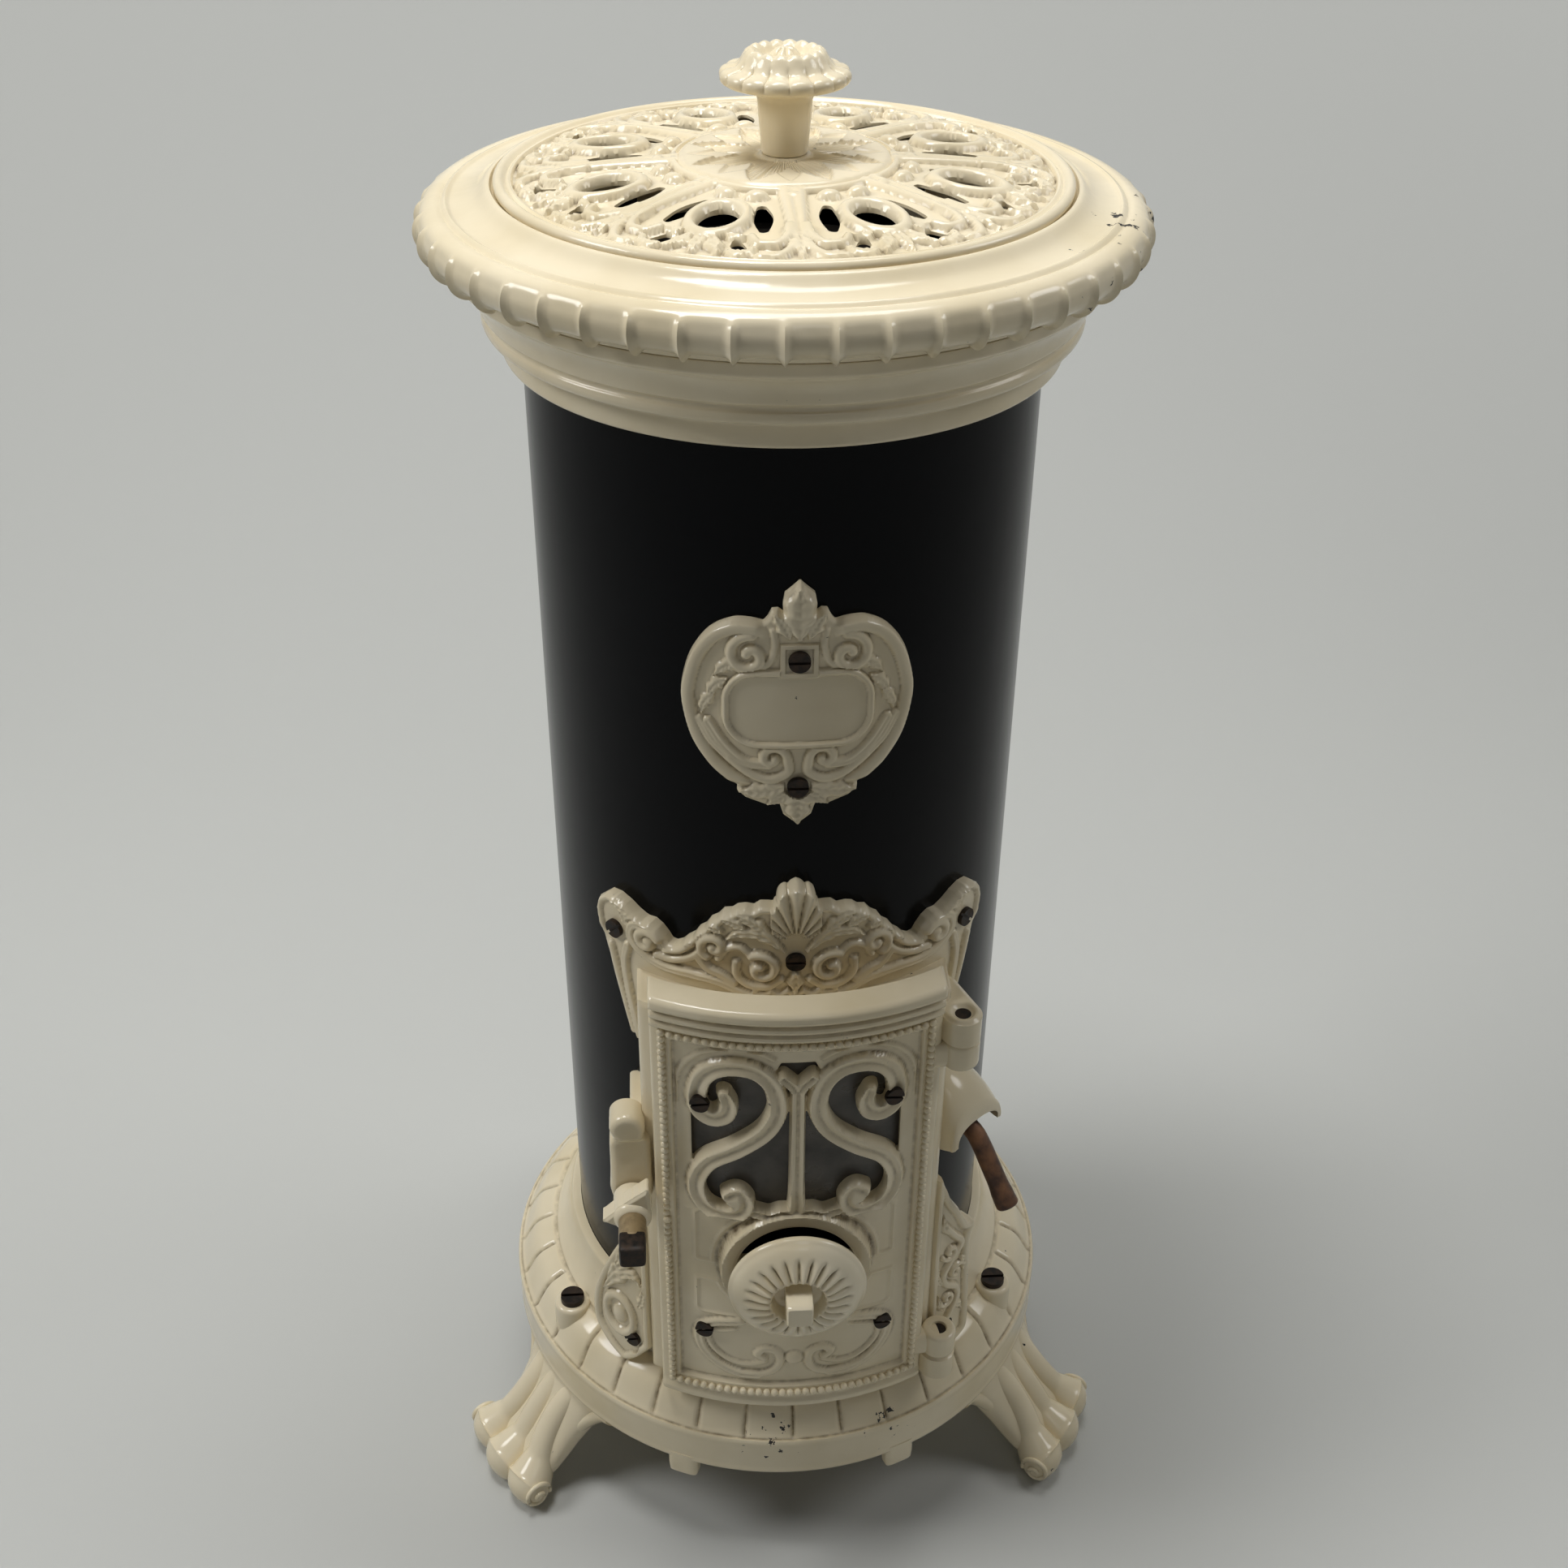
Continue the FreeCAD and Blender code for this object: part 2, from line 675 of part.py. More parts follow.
def rim_ring():
    """Rim with its ribbed roll, fine bead, cove and the seat of the lid."""
    seat_r = LID_R + LID_SIDE_GAP
    roll_low = (ROLL_R, ROLL_Z - ROLL_MINOR)
    roll_top = (ROLL_R, ROLL_Z + ROLL_MINOR)
    bead_out = (RIM_BEAD_R + RIM_BEAD_MINOR, roll_top[1])
    bead_in = (RIM_BEAD_R - RIM_BEAD_MINOR, roll_top[1])
    cove = ((bead_in[0] + RIM_COVE_R) / 2, (bead_in[1] + RIM_COVE_Z) / 2 - RIM_COVE_SAG)
    solid = revolved(
        [
            (CORNICE_TOP_R - CORNICE_WALL, CORNICE_TOP_Z),
            (CORNICE_TOP_R, CORNICE_TOP_Z),
            roll_low,
            (roll_point(ROLL_MINOR, 0), roll_top),
            bead_out,
            ((RIM_BEAD_R, roll_top[1] + RIM_BEAD_MINOR), bead_in),
            (cove, (RIM_COVE_R, RIM_COVE_Z)),
            (seat_r, RIM_COVE_Z),
            (seat_r, LID_SEAT_Z),
            (RIM_INNER_R, LID_SEAT_Z),
            (RIM_INNER_R, LID_SEAT_Z - RIM_WALL),
            (RIM_COVE_R, LID_SEAT_Z - RIM_WALL),
            (CORNICE_TOP_R - CORNICE_WALL, ROLL_Z),
        ]
    )
    rib = roll_rib()
    step = 360.0 / RIB_COUNT
    return fused([solid] + [spun(rib, step * k) for k in range(RIB_COUNT)])


# Lid and knob
def oval_prism(radius, azimuth, half_long, half_wide, z0, z1):
    """Upright oval prism on the lid, its long side along the radius."""
    oval = Part.Ellipse(V(0, 0, 0), half_long, half_wide).toShape()
    oval.rotate(V(0, 0, 0), UP, azimuth - 90)
    oval.translate(at(radius, azimuth, z0))
    return Part.Face(Part.Wire([oval])).extrude(V(0, 0, z1 - z0))


def crescent_prism(azimuth, side, z0, z1):
    """Crescent slot beside an eye, a short arc round the eye's ring."""
    inner = EYE_HALF_WIDE + EYE_RING + CRESCENT_GAP / 2
    outer = inner + CRESCENT_GAP
    start = radians(CRESCENT_TURN_DEG - CRESCENT_ARC_DEG / 2)
    end = radians(CRESCENT_TURN_DEG + CRESCENT_ARC_DEG / 2)
    middle = (start + end) / 2

    def spot(length, turn):
        return -side * length * sin(turn), length * cos(turn)

    mouth = (inner + outer) / 2
    path = [
        spot(inner, start),
        (spot(inner, middle), spot(mouth, end)),
        (spot(outer, middle), spot(inner, start)),
    ]
    face = wire_face(path, lambda x, y: V(x, -EYE_R - y, z0))
    return spun(face.extrude(V(0, 0, z1 - z0)), azimuth)


def dome_z(radius, rise=0.0):
    """Height of the lid's crowned face above the floor at a radius."""
    ball = (LID_R**2 + LID_CROWN**2) / (2 * LID_CROWN)
    sag = ball - sqrt(ball**2 - radius**2)
    return LID_SEAT_Z + LID_WALL + LID_CROWN - sag + rise


def lid():
    """Crowned lid pierced by a belt of eyes, crescents and tears, with a round edge bead."""
    edge = LID_R - 2 * LID_BEAD
    bead_mid = LID_R - LID_BEAD
    low = (0, dome_z(0, -LID_WALL))
    top = (0, dome_z(0))
    solid = revolved(
        [
            low,
            ((edge / 2, dome_z(edge / 2, -LID_WALL)), (edge, dome_z(edge, -LID_WALL))),
            (edge, LID_SEAT_Z),
            (bead_mid, LID_SEAT_Z),
            ((LID_R, LID_SEAT_Z + LID_BEAD), (bead_mid, LID_SEAT_Z + 2 * LID_BEAD)),
            (edge, dome_z(edge)),
            ((edge / 2, dome_z(edge / 2)), top),
        ]
    )
    rosette = Part.makeCylinder(ROSETTE_R, dome_z(0, ROSETTE_PROUD) - dome_z(ROSETTE_R, -LID_WALL / 2))
    rosette.translate(V(0, 0, dome_z(ROSETTE_R, -LID_WALL / 2)))
    z0 = LID_SEAT_Z - OVERRUN
    z1 = KNOB_CAP_Z
    motifs = [360.0 / MOTIF_COUNT * (k + 1 / 2) for k in range(MOTIF_COUNT)]
    ring_low = dome_z(EYE_R, -LID_WALL / 2)
    ring_top = dome_z(EYE_R, EYE_PROUD)
    rings = [
        oval_prism(EYE_R, a, EYE_HALF_LONG + EYE_RING, EYE_HALF_WIDE + EYE_RING, ring_low, ring_top)
        for a in motifs
    ]
    cuts = []
    for a in motifs:
        cuts.append(oval_prism(EYE_R, a, EYE_HALF_LONG, EYE_HALF_WIDE, z0, z1))
        cuts += [crescent_prism(a, side, z0, z1) for side in (-1, 1)]
        cuts += [
            Part.makeCylinder(TEAR_HALF, z1 - z0, at(TEAR_R, a + side * TEAR_OFF_DEG, z0)) for side in (-1, 1)
        ]
    cuts.append(Part.makeCylinder(STUD_R + SCREW_FIT, z1 - z0, V(0, 0, z0)))
    return fused([solid, rosette] + rings).cut(cuts)


KNOB_FOOT_Z = dome_z(0, ROSETTE_PROUD)


def lid_knob():
    """Mushroom knob with a scalloped cap on a tapered stem."""
    cap_mid = (KNOB_CAP_R - KNOB_LIP / 2, KNOB_CAP_Z + KNOB_LIP)
    rise = KNOB_TOP_Z - cap_mid[1]
    ball = (cap_mid[0] ** 2 + rise**2) / (2 * rise)
    crown = (cap_mid[0] / 2, KNOB_TOP_Z - ball + sqrt(ball**2 - cap_mid[0] ** 2 / 4))
    solid = revolved(
        [
            (0, KNOB_FOOT_Z),
            (KNOB_NECK_R, KNOB_FOOT_Z),
            (KNOB_STEM_R, KNOB_CAP_Z - KNOB_LIP),
            (KNOB_CAP_R - KNOB_LIP, KNOB_CAP_Z),
            ((KNOB_CAP_R, KNOB_CAP_Z + KNOB_LIP / 2), cap_mid),
            (crown, (0, KNOB_TOP_Z)),
        ]
    )
    step = 360.0 / KNOB_SCALLOPS
    scallops = [
        Part.makeCylinder(
            KNOB_SCALLOP_R, KNOB_TOP_Z - KNOB_CAP_Z, at(KNOB_CAP_R + KNOB_SCALLOP_R / 2, step * k, KNOB_CAP_Z)
        )
        for k in range(KNOB_SCALLOPS)
    ]
    bore = Part.makeCylinder(STUD_R, STUD_IN_KNOB, V(0, 0, KNOB_FOOT_Z))
    return solid.cut(scallops).cut(bore)


NUT_FOOT_Z = dome_z(NUT_R, -LID_WALL) - NUT_H
STUD_FOOT_Z = NUT_FOOT_Z - OVERRUN


def knob_stud():
    """Threaded stud that holds the knob."""
    return Part.makeCylinder(STUD_R, KNOB_FOOT_Z + STUD_IN_KNOB - STUD_FOOT_Z, V(0, 0, STUD_FOOT_Z))


def hex_nut(foot, axis, across_r, height, bore):
    """Hexagon nut on an axis."""
    corners = [V(across_r * cos(k * pi / 3), across_r * sin(k * pi / 3), 0) for k in range(7)]
    nut = Part.Face(Part.makePolygon(corners)).extrude(V(0, 0, height))
    nut = nut.cut(Part.makeCylinder(bore, height))
    nut.Placement = FreeCAD.Placement(foot, FreeCAD.Rotation(UP, axis))
    return nut


# Fire side
def ash_floor():
    """Disc that closes the bottom of the drum."""
    disc = Part.makeCylinder(DRUM_R - DRUM_WALL - FIT, FLOOR_T, V(0, 0, DRUM_BOTTOM))
    ties = [rod_between(at(TIE_AT, a, 0), at(TIE_AT, a, DRUM_TOP), TIE_R + SCREW_FIT) for a in TIE_AZ]
    return disc.cut(ties)


FLOOR_TOP = DRUM_BOTTOM + FLOOR_T
CARRIER_BOTTOM = CARRIER_TOP - CARRIER_T
GRATE_BOTTOM = CARRIER_TOP + FIT


def grate_carrier():
    """Ring on three posts, with a bar across it for the pivot of the grate."""
    ring = tube(CARRIER_R, CARRIER_IN_R, CARRIER_BOTTOM, CARRIER_TOP)
    bar = Part.makeBox(2 * CARRIER_IN_R + CARRIER_T, 2 * CARRIER_BAR_HALF, CARRIER_T)
    bar.translate(V(-CARRIER_IN_R - CARRIER_T / 2, -CARRIER_BAR_HALF, CARRIER_BOTTOM))
    posts = [
        Part.makeCylinder(
            CARRIER_POST_R, CARRIER_BOTTOM - FLOOR_TOP + CARRIER_T / 2, at(CARRIER_POST_AT, a, FLOOR_TOP)
        )
        for a in CARRIER_POST_AZ
    ]
    pivot = Part.makeCylinder(GRATE_PIN_R + RUN_FIT, 2 * CARRIER_T, V(0, 0, CARRIER_BOTTOM - CARRIER_T / 2))
    return fused([ring, bar] + posts).cut(pivot)


def grate():
    """Slotted round grate with its pivot pin."""
    disc = Part.makeCylinder(GRATE_R, GRATE_T, V(0, 0, GRATE_BOTTOM))
    cuts = []
    for k in range(GRATE_SLOTS):
        x = GRATE_SLOT_PITCH * (k - (GRATE_SLOTS - 1) / 2)
        half = sqrt((GRATE_R - GRATE_RIM) ** 2 - x**2)
        slot = Part.makeBox(2 * GRATE_SLOT_HALF, 2 * half, GRATE_T + 2 * OVERRUN)
        slot.translate(V(x - GRATE_SLOT_HALF, -half, GRATE_BOTTOM - OVERRUN))
        cuts.append(slot)
    hub = Part.makeCylinder(CARRIER_BAR_HALF, GRATE_T, V(0, 0, GRATE_BOTTOM))
    pin = Part.makeCylinder(GRATE_PIN_R, CARRIER_T + FIT, V(0, 0, CARRIER_BOTTOM))
    socket = rod_between(at(ROD_START_R, ROD_AZ, ROD_Z), at(GRATE_R + ROD_R, ROD_AZ, ROD_Z), ROD_R)
    return fused([disc.cut(cuts), hub, pin]).cut(socket)


def shaker_rod():
    """Rod that turns the grate from outside, bent down to a thick rounded end."""
    bend = at(ROD_BEND_R, ROD_AZ, ROD_Z)
    way = outward(ROD_AZ) * ROD_REACH - UP * ROD_DROP
    tip = bend + way
    unit = way * (1 / way.Length)
    straight = rod_between(at(ROD_START_R, ROD_AZ, ROD_Z), bend, ROD_R)
    grip = tip - unit * ROD_END_LONG
    return fused(
        [
            straight,
            Part.makeSphere(ROD_R, bend),
            rod_between(bend, grip, ROD_R),
            rod_between(grip, tip, ROD_END_R),
            Part.makeSphere(ROD_END_R, tip),
        ]
    )


def rod_passage():
    """Flat slot that leaves room for the swing of the shaker rod."""
    half = radians(ROD_SWING_DEG) * FRAME_FACE_R + ROD_R + FIT + OVERRUN / 2
    tall = ROD_R + OVERRUN
    slot = Part.makeBox(2 * half, PLATE_R - GRATE_R, 2 * tall)
    slot.translate(V(-half, -PLATE_R, ROD_Z - tall))
    return spun(slot, ROD_AZ)


def firepot_liner():
    """Cast liner above the grate, open to the door and to the flue."""
    shell = tube(LINER_R, LINER_R - LINER_WALL, CARRIER_TOP, LINER_TOP)
    mouth = front_prism(rectangle(-MOUTH_HALF, MOUTH_HALF, CARRIER_TOP - OVERRUN, MOUTH_TOP), 0, PLATE_R)
    flue = rod_between(at(0, 180, FLUE_Z), at(PLATE_R, 180, FLUE_Z), FLUE_R - FLUE_WALL)
    return shell.cut([mouth, flue, rod_passage()])


def top_plate():
    """Plate on the liner with the feed hole."""
    return tube(TOP_PLATE_R, FEED_R, LINER_TOP, LINER_TOP + TOP_PLATE_T)


def feed_lid():
    """Inner lid over the feed hole, with a spigot and a lifting grip."""
    z = LINER_TOP + TOP_PLATE_T
    disc = Part.makeCylinder(FEED_LID_R, FEED_LID_T, V(0, 0, z))
    spigot = Part.makeCylinder(FEED_R - FIT - FEED_LID_T / 2, TOP_PLATE_T, V(0, 0, LINER_TOP))
    grip = Part.makeCylinder(FEED_GRIP_R, FEED_GRIP_H, V(0, 0, z + FEED_LID_T))
    eye = rod_between(V(-FEED_LID_R, 0, 0), V(FEED_LID_R, 0, 0), FEED_GRIP_R / 2)
    eye.translate(V(0, 0, z + FEED_LID_T + FEED_GRIP_H / 2))
    return fused([disc, spigot, grip]).cut(eye)


TIE_FOOT = DRUM_BOTTOM - PLATE_WALL - TIE_NUT_H - OVERRUN
TIE_HEAD = DRUM_TOP + FLANGE_T + TIE_NUT_H + OVERRUN


def tie_rods():
    """Long rods that clamp the drum between the base plate and the cornice."""
    rods = [rod_between(at(TIE_AT, a, TIE_FOOT), at(TIE_AT, a, TIE_HEAD), TIE_R) for a in TIE_AZ]
    return Part.makeCompound(rods)


def tie_nuts():
    """Nuts at both ends of the tie rods."""
    low = DRUM_BOTTOM - PLATE_WALL - TIE_NUT_H
    high = DRUM_TOP + FLANGE_T
    nuts = [hex_nut(at(TIE_AT, a, z), UP, TIE_NUT_R, TIE_NUT_H, TIE_R) for a in TIE_AZ for z in (low, high)]
    return Part.makeCompound(nuts)


def ash_pan():
    """Open sheet pan on the floor under the grate."""
    long = PAN_FRONT + PAN_BACK
    outer = Part.makeBox(2 * PAN_HALF, long, PAN_H, V(-PAN_HALF, -PAN_FRONT, FLOOR_TOP))
    inner = Part.makeBox(2 * (PAN_HALF - PAN_WALL), long - 2 * PAN_WALL, PAN_H)
    inner.translate(V(PAN_WALL - PAN_HALF, PAN_WALL - PAN_FRONT, FLOOR_TOP + PAN_WALL))
    return outer.cut(inner)


def flue_collar():
    """Curved flange with a round spigot for the flue pipe and a shoulder that stops the pipe."""
    shell = tube(FLUE_FACE_R, DRUM_R + FIT, FLUE_Z - FLUE_FLANGE_R, FLUE_Z + FLUE_FLANGE_R)
    disc = rod_between(at(0, 180, FLUE_Z), at(FLUE_REACH, 180, FLUE_Z), FLUE_FLANGE_R)
    spigot = rod_between(at(0, 180, FLUE_Z), at(FLUE_REACH, 180, FLUE_Z), FLUE_R)
    stop = rod_between(at(0, 180, FLUE_Z), at(FLUE_STOP_REACH, 180, FLUE_Z), FLUE_R + FLUE_STOP_PROUD)
    drum = Part.makeCylinder(DRUM_R + FIT, 2 * FLUE_FLANGE_R, V(0, 0, FLUE_Z - FLUE_FLANGE_R))
    bore = rod_between(at(0, 180, FLUE_Z), at(FLUE_REACH + OVERRUN, 180, FLUE_Z), FLUE_R - FLUE_WALL)
    return drilled(fused([shell.common(disc), stop.cut(drum), spigot.cut(drum)]).cut(bore), FLUE_SCREWS)


# Plaque
def mirrored_outline(half):
    """Closed outline from its right half, which runs from the top middle to the bottom middle."""
    flip = lambda point: (-point[0], point[1])
    path = list(half)
    ends = [step[1] if isinstance(step[0], tuple) else step for step in half]
    for k in range(len(half) - 1, 0, -1):
        step = half[k]
        if isinstance(step[0], tuple):
            path.append((flip(step[0]), flip(ends[k - 1])))
        else:
            path.append(flip(ends[k - 1]))
    return path


def plaque():
    """Heart shaped cartouche with a leaf tip, a leaf drop and a bare raised tablet."""
    tip = PLAQUE_TIP_HALF
    corner = 1 / sqrt(2)
    top_rise = PLAQUE_SHOULDER_Z - PLAQUE_WAIST_Z
    low_fall = PLAQUE_WAIST_Z - PLAQUE_HIP_Z
    half = [
        (0, PLAQUE_TOP),
        (tip, PLAQUE_TOP - 1.5 * tip),
        (tip, PLAQUE_SHOULDER_Z),
        (PLAQUE_SHOULDER, PLAQUE_SHOULDER_Z - tip / 4),
        (
            (PLAQUE_SHOULDER + (PLAQUE_HALF - PLAQUE_SHOULDER) * corner, PLAQUE_WAIST_Z + top_rise * corner),
            (PLAQUE_HALF, PLAQUE_WAIST_Z),
        ),
        (
            (PLAQUE_HIP + (PLAQUE_HALF - PLAQUE_HIP) * corner, PLAQUE_WAIST_Z - low_fall * corner),
            (PLAQUE_HIP, PLAQUE_HIP_Z),
        ),
        (PLAQUE_HIP, PLAQUE_HIP_Z - tip),
        (tip, PLAQUE_HIP_Z - 1.5 * tip),
        (0, PLAQUE_FOOT),
    ]
    shell = tube(PLAQUE_FACE_R, DRUM_R + FIT, PLAQUE_FOOT, PLAQUE_TOP)
    plate = shell.common(front_prism(mirrored_outline(half), 0, PLATE_R))
    proud = tube(PLAQUE_FACE_R + TABLET_PROUD, DRUM_R + FIT, PLAQUE_FOOT, PLAQUE_TOP)
    oval = Part.Ellipse(V(0, 0, 0), TABLET_HALF_WIDE, TABLET_HALF_TALL).toShape()
    oval.rotate(V(0, 0, 0), V(1, 0, 0), 90)
    oval.translate(V(0, 0, TABLET_Z))
    tablet = Part.Face(Part.Wire([oval])).extrude(FRONT * PLATE_R)
    return drilled(fused([plate, proud.common(tablet)]), PLAQUE_SCREWS)


# Door frame
def crest_outline():
    """Crest over the door: palmette, sloping shoulders, valleys and two round horns."""
    ease = (CREST_SHOULDER_Z - CREST_VALLEY_Z) / 8
    middle = (CREST_SHOULDER + CREST_VALLEY) / 2
    middle_z = (CREST_SHOULDER_Z + CREST_VALLEY_Z) / 2
    return mirrored_outline(
        [
            (0, CREST_TIP_Z),
            (
                (CREST_TIP_HALF / sqrt(2), (CREST_TIP_Z + CREST_NECK_Z) / 2 + ease),
                (CREST_TIP_HALF, CREST_NECK_Z),
            ),
            (CREST_SHOULDER, CREST_SHOULDER_Z),
            (
                (middle - ease / 4, middle_z - ease / 4),
                (CREST_VALLEY, CREST_VALLEY_Z),
            ),
            (HORN - HORN_R, HORN_Z),
            ((HORN, HORN_Z + HORN_R), (HORN + HORN_R, HORN_Z)),
            (HORN_FOOT, HORN_FOOT_Z),
            (0, HORN_FOOT_Z),
        ]
    )


def hinge_lug(z_top, toward):
    """Round lug on the hinge axis with a web to a point beside it."""
    z0 = z_top - HINGE_LUG_H
    round_end = Part.makeCylinder(HINGE_LUG_R, HINGE_LUG_H, V(HINGE_X, HINGE_Y, z0))
    along = toward - V(HINGE_X, HINGE_Y, 0)
    web = Part.makeBox(along.Length, HINGE_ARM, HINGE_LUG_H, V(0, -HINGE_ARM / 2, 0))
    web.rotate(V(0, 0, 0), UP, degrees(atan2(along.y, along.x)))
    web.translate(V(HINGE_X, HINGE_Y, z0))
    return round_end.fuse(web)


def hinge_bore(radius):
    """Vertical bore through the whole hinge line."""
    return Part.makeCylinder(radius, CORNICE_TOP_Z, V(HINGE_X, HINGE_Y, 0))


def latch_lug():
    """Pieces of the latch's lug: bearing, block, rounded boss with its neck, and root on the collar."""
    bearing = rod_between(
        V(LATCH_X, -LATCH_LUG_BACK, LATCH_Z), V(LATCH_X, -LATCH_LUG_FRONT, LATCH_Z), LATCH_LUG_R
    )
    block = front_prism(
        rectangle(
            LATCH_X - LATCH_LUG_R, -DOOR_HALF - LATCH_SIDE_GAP, LATCH_Z, LATCH_LUG_TOP - 2 * LATCH_BOSS_R
        ),
        LATCH_LUG_BACK,
        LATCH_LUG_FRONT,
    )
    boss_z = LATCH_LUG_TOP - LATCH_BOSS_R
    boss_x = LATCH_X - LATCH_LUG_R + LATCH_BOSS_R
    boss = rod_between(V(boss_x, -LATCH_LUG_BACK, boss_z), V(boss_x, -LATCH_LUG_FRONT, boss_z), LATCH_BOSS_R)
    neck = front_prism(
        rectangle(boss_x - LATCH_BOSS_R / 2, boss_x + LATCH_BOSS_R, boss_z - 2 * LATCH_BOSS_R, boss_z),
        LATCH_LUG_BACK,
        LATCH_LUG_FRONT,
    )
    root = front_prism(
        rectangle(
            LATCH_X, -COLLAR_HALF + COLLAR_WALL / 2, LATCH_Z - LATCH_LUG_R, LATCH_LUG_TOP - LATCH_BOSS_R
        ),
        on_radius(LATCH_X, DRUM_R),
        LATCH_LUG_BACK + FIT,
    )
    return [bearing, block, boss, neck, root]


def latch_room():
    """Bore of the latch's spindle through the lug, and the room for its nut behind the lug."""
    bore = rod_between(V(LATCH_X, 0, LATCH_Z), V(LATCH_X, -PLATE_R, LATCH_Z), LATCH_SPINDLE_R)
    nut_room = rod_between(
        V(LATCH_X, 0, LATCH_Z), V(LATCH_X, -LATCH_LUG_BACK, LATCH_Z), LATCH_NUT_R + OVERRUN / 2
    )
    return bore.fuse(nut_room)


def rod_hood():
    """Half round hood over the shaker rod, on a round pad against the drum."""
    axis_in = at(0, ROD_AZ, HOOD_Z)
    axis_out = at(HOOD_REACH_R, ROD_AZ, HOOD_Z)
    past = at(PLATE_R, ROD_AZ, HOOD_Z)
    drum = Part.makeCylinder(DRUM_R + FIT, CORNICE_TOP_Z)
    pad_face = Part.makeCylinder(CREST_FACE_R, CORNICE_TOP_Z)
    hollow = rod_between(axis_in, past, HOOD_R - HOOD_WALL).cut(pad_face)
    corner = V(-2 * PLATE_R, -2 * PLATE_R, HOOD_Z - 2 * HOOD_R)
    lower = Part.makeBox(4 * PLATE_R, 4 * PLATE_R, 2 * HOOD_R, corner)
    body = rod_between(axis_in, axis_out, HOOD_R).cut(drum)
    return body.cut(hollow).cut(lower.cut(pad_face))


def pilaster(bottom_path, top):
    """Flat pilaster beside the door, curved to the drum, from its lower end up to a taper."""
    inner = COLLAR_HALF - COLLAR_WALL / 2
    outline = bottom_path + [(PILASTER_MID + PILASTER_HALF, top - 3 * PILASTER_HALF), (inner, top)]
    shell = tube(PILASTER_FACE_R, PILASTER_FACE_R - PILASTER_T, CONSOLE_TIP_Z, PILASTER_TOP)
    return shell.common(front_prism(outline, 0, PLATE_R))


def door_frame():
    """One casting: crest, collar round the door mouth, hinge lugs, latch lug, hood, pilasters."""
    inner = COLLAR_HALF - COLLAR_WALL / 2
    crest_shell = tube(CREST_FACE_R, DRUM_R + FIT, HORN_FOOT_Z, CREST_TIP_Z)
    crest = crest_shell.common(front_prism(crest_outline(), 0, PLATE_R))
    collar_shell = tube(FRAME_FACE_R, DRUM_R + FIT, COLLAR_BOTTOM, COLLAR_TOP)
    collar = collar_shell.common(
        front_prism(rectangle(-COLLAR_HALF, COLLAR_HALF, COLLAR_BOTTOM, COLLAR_TOP), 0, PLATE_R)
    )
    low = PILASTER_BOTTOM
    round_end = [
        (inner, low - PILASTER_HALF),
        (PILASTER_MID, low - PILASTER_HALF),
        (
            (PILASTER_MID + PILASTER_HALF / sqrt(2), low - PILASTER_HALF / sqrt(2)),
            (PILASTER_MID + PILASTER_HALF, low),
        ),
    ]
    pointed_end = [
        (inner, low - PILASTER_HALF / 2),
        (PILASTER_MID, CONSOLE_TIP_Z),
        (PILASTER_MID + PILASTER_HALF, low),
    ]
    beside = V(inner, -on_radius(inner, FRAME_FACE_R - HINGE_ARM), 0)
    pieces = [
        crest,
        collar,
        rod_hood(),
        pilaster(round_end, PILASTER_TOP),
        mirrored(pilaster(pointed_end, CONSOLE_TOP)),
        hinge_lug(HINGE_TOP_Z, beside),
        hinge_lug(HINGE_LOW_Z, beside),
    ]
    solid = fused(pieces + latch_lug())
    drum = Part.makeCylinder(DRUM_R + FIT, CORNICE_TOP_Z)
    opening = front_prism(
        rectangle(
            COLLAR_WALL - COLLAR_HALF,
            COLLAR_HALF - COLLAR_WALL,
            COLLAR_BOTTOM + COLLAR_RAIL,
            COLLAR_TOP - COLLAR_HEAD,
        ),
        0,
        PLATE_R,
    )
    base = revolved([(0, 0), (PLATE_R + FIT, 0)] + plate_top(FIT) + [(0, RING_TOP + FIT)])
    for cutter in (opening, base, drum, latch_room(), hinge_bore(HINGE_PIN_R), rod_passage()):
        solid = solid.cut(cutter)
    solid = drilled(solid, CREST_SCREWS)
    return drilled(solid, PILASTER_SCREWS)


KNUCKLE_TOP_Z = HINGE_TOP_Z - HINGE_LUG_H - FIT
KNUCKLE_LOW_Z = HINGE_LOW_Z + HINGE_LUG_H + FIT


def hinge_pins():
    """Two pins, fast in the frame, on which the door turns."""
    spans = [
        (KNUCKLE_TOP_Z - HINGE_LUG_H, HINGE_TOP_Z - PIN_SINK),
        (HINGE_LOW_Z - HINGE_LUG_H, KNUCKLE_LOW_Z - PIN_SINK),
    ]
    return Part.makeCompound(
        [Part.makeCylinder(HINGE_PIN_R, z1 - z0, V(HINGE_X, HINGE_Y, z0)) for z0, z1 in spans]
    )


# Latch
LATCH_CAM_FRONT = LATCH_CAM_BACK + LATCH_CAM_T


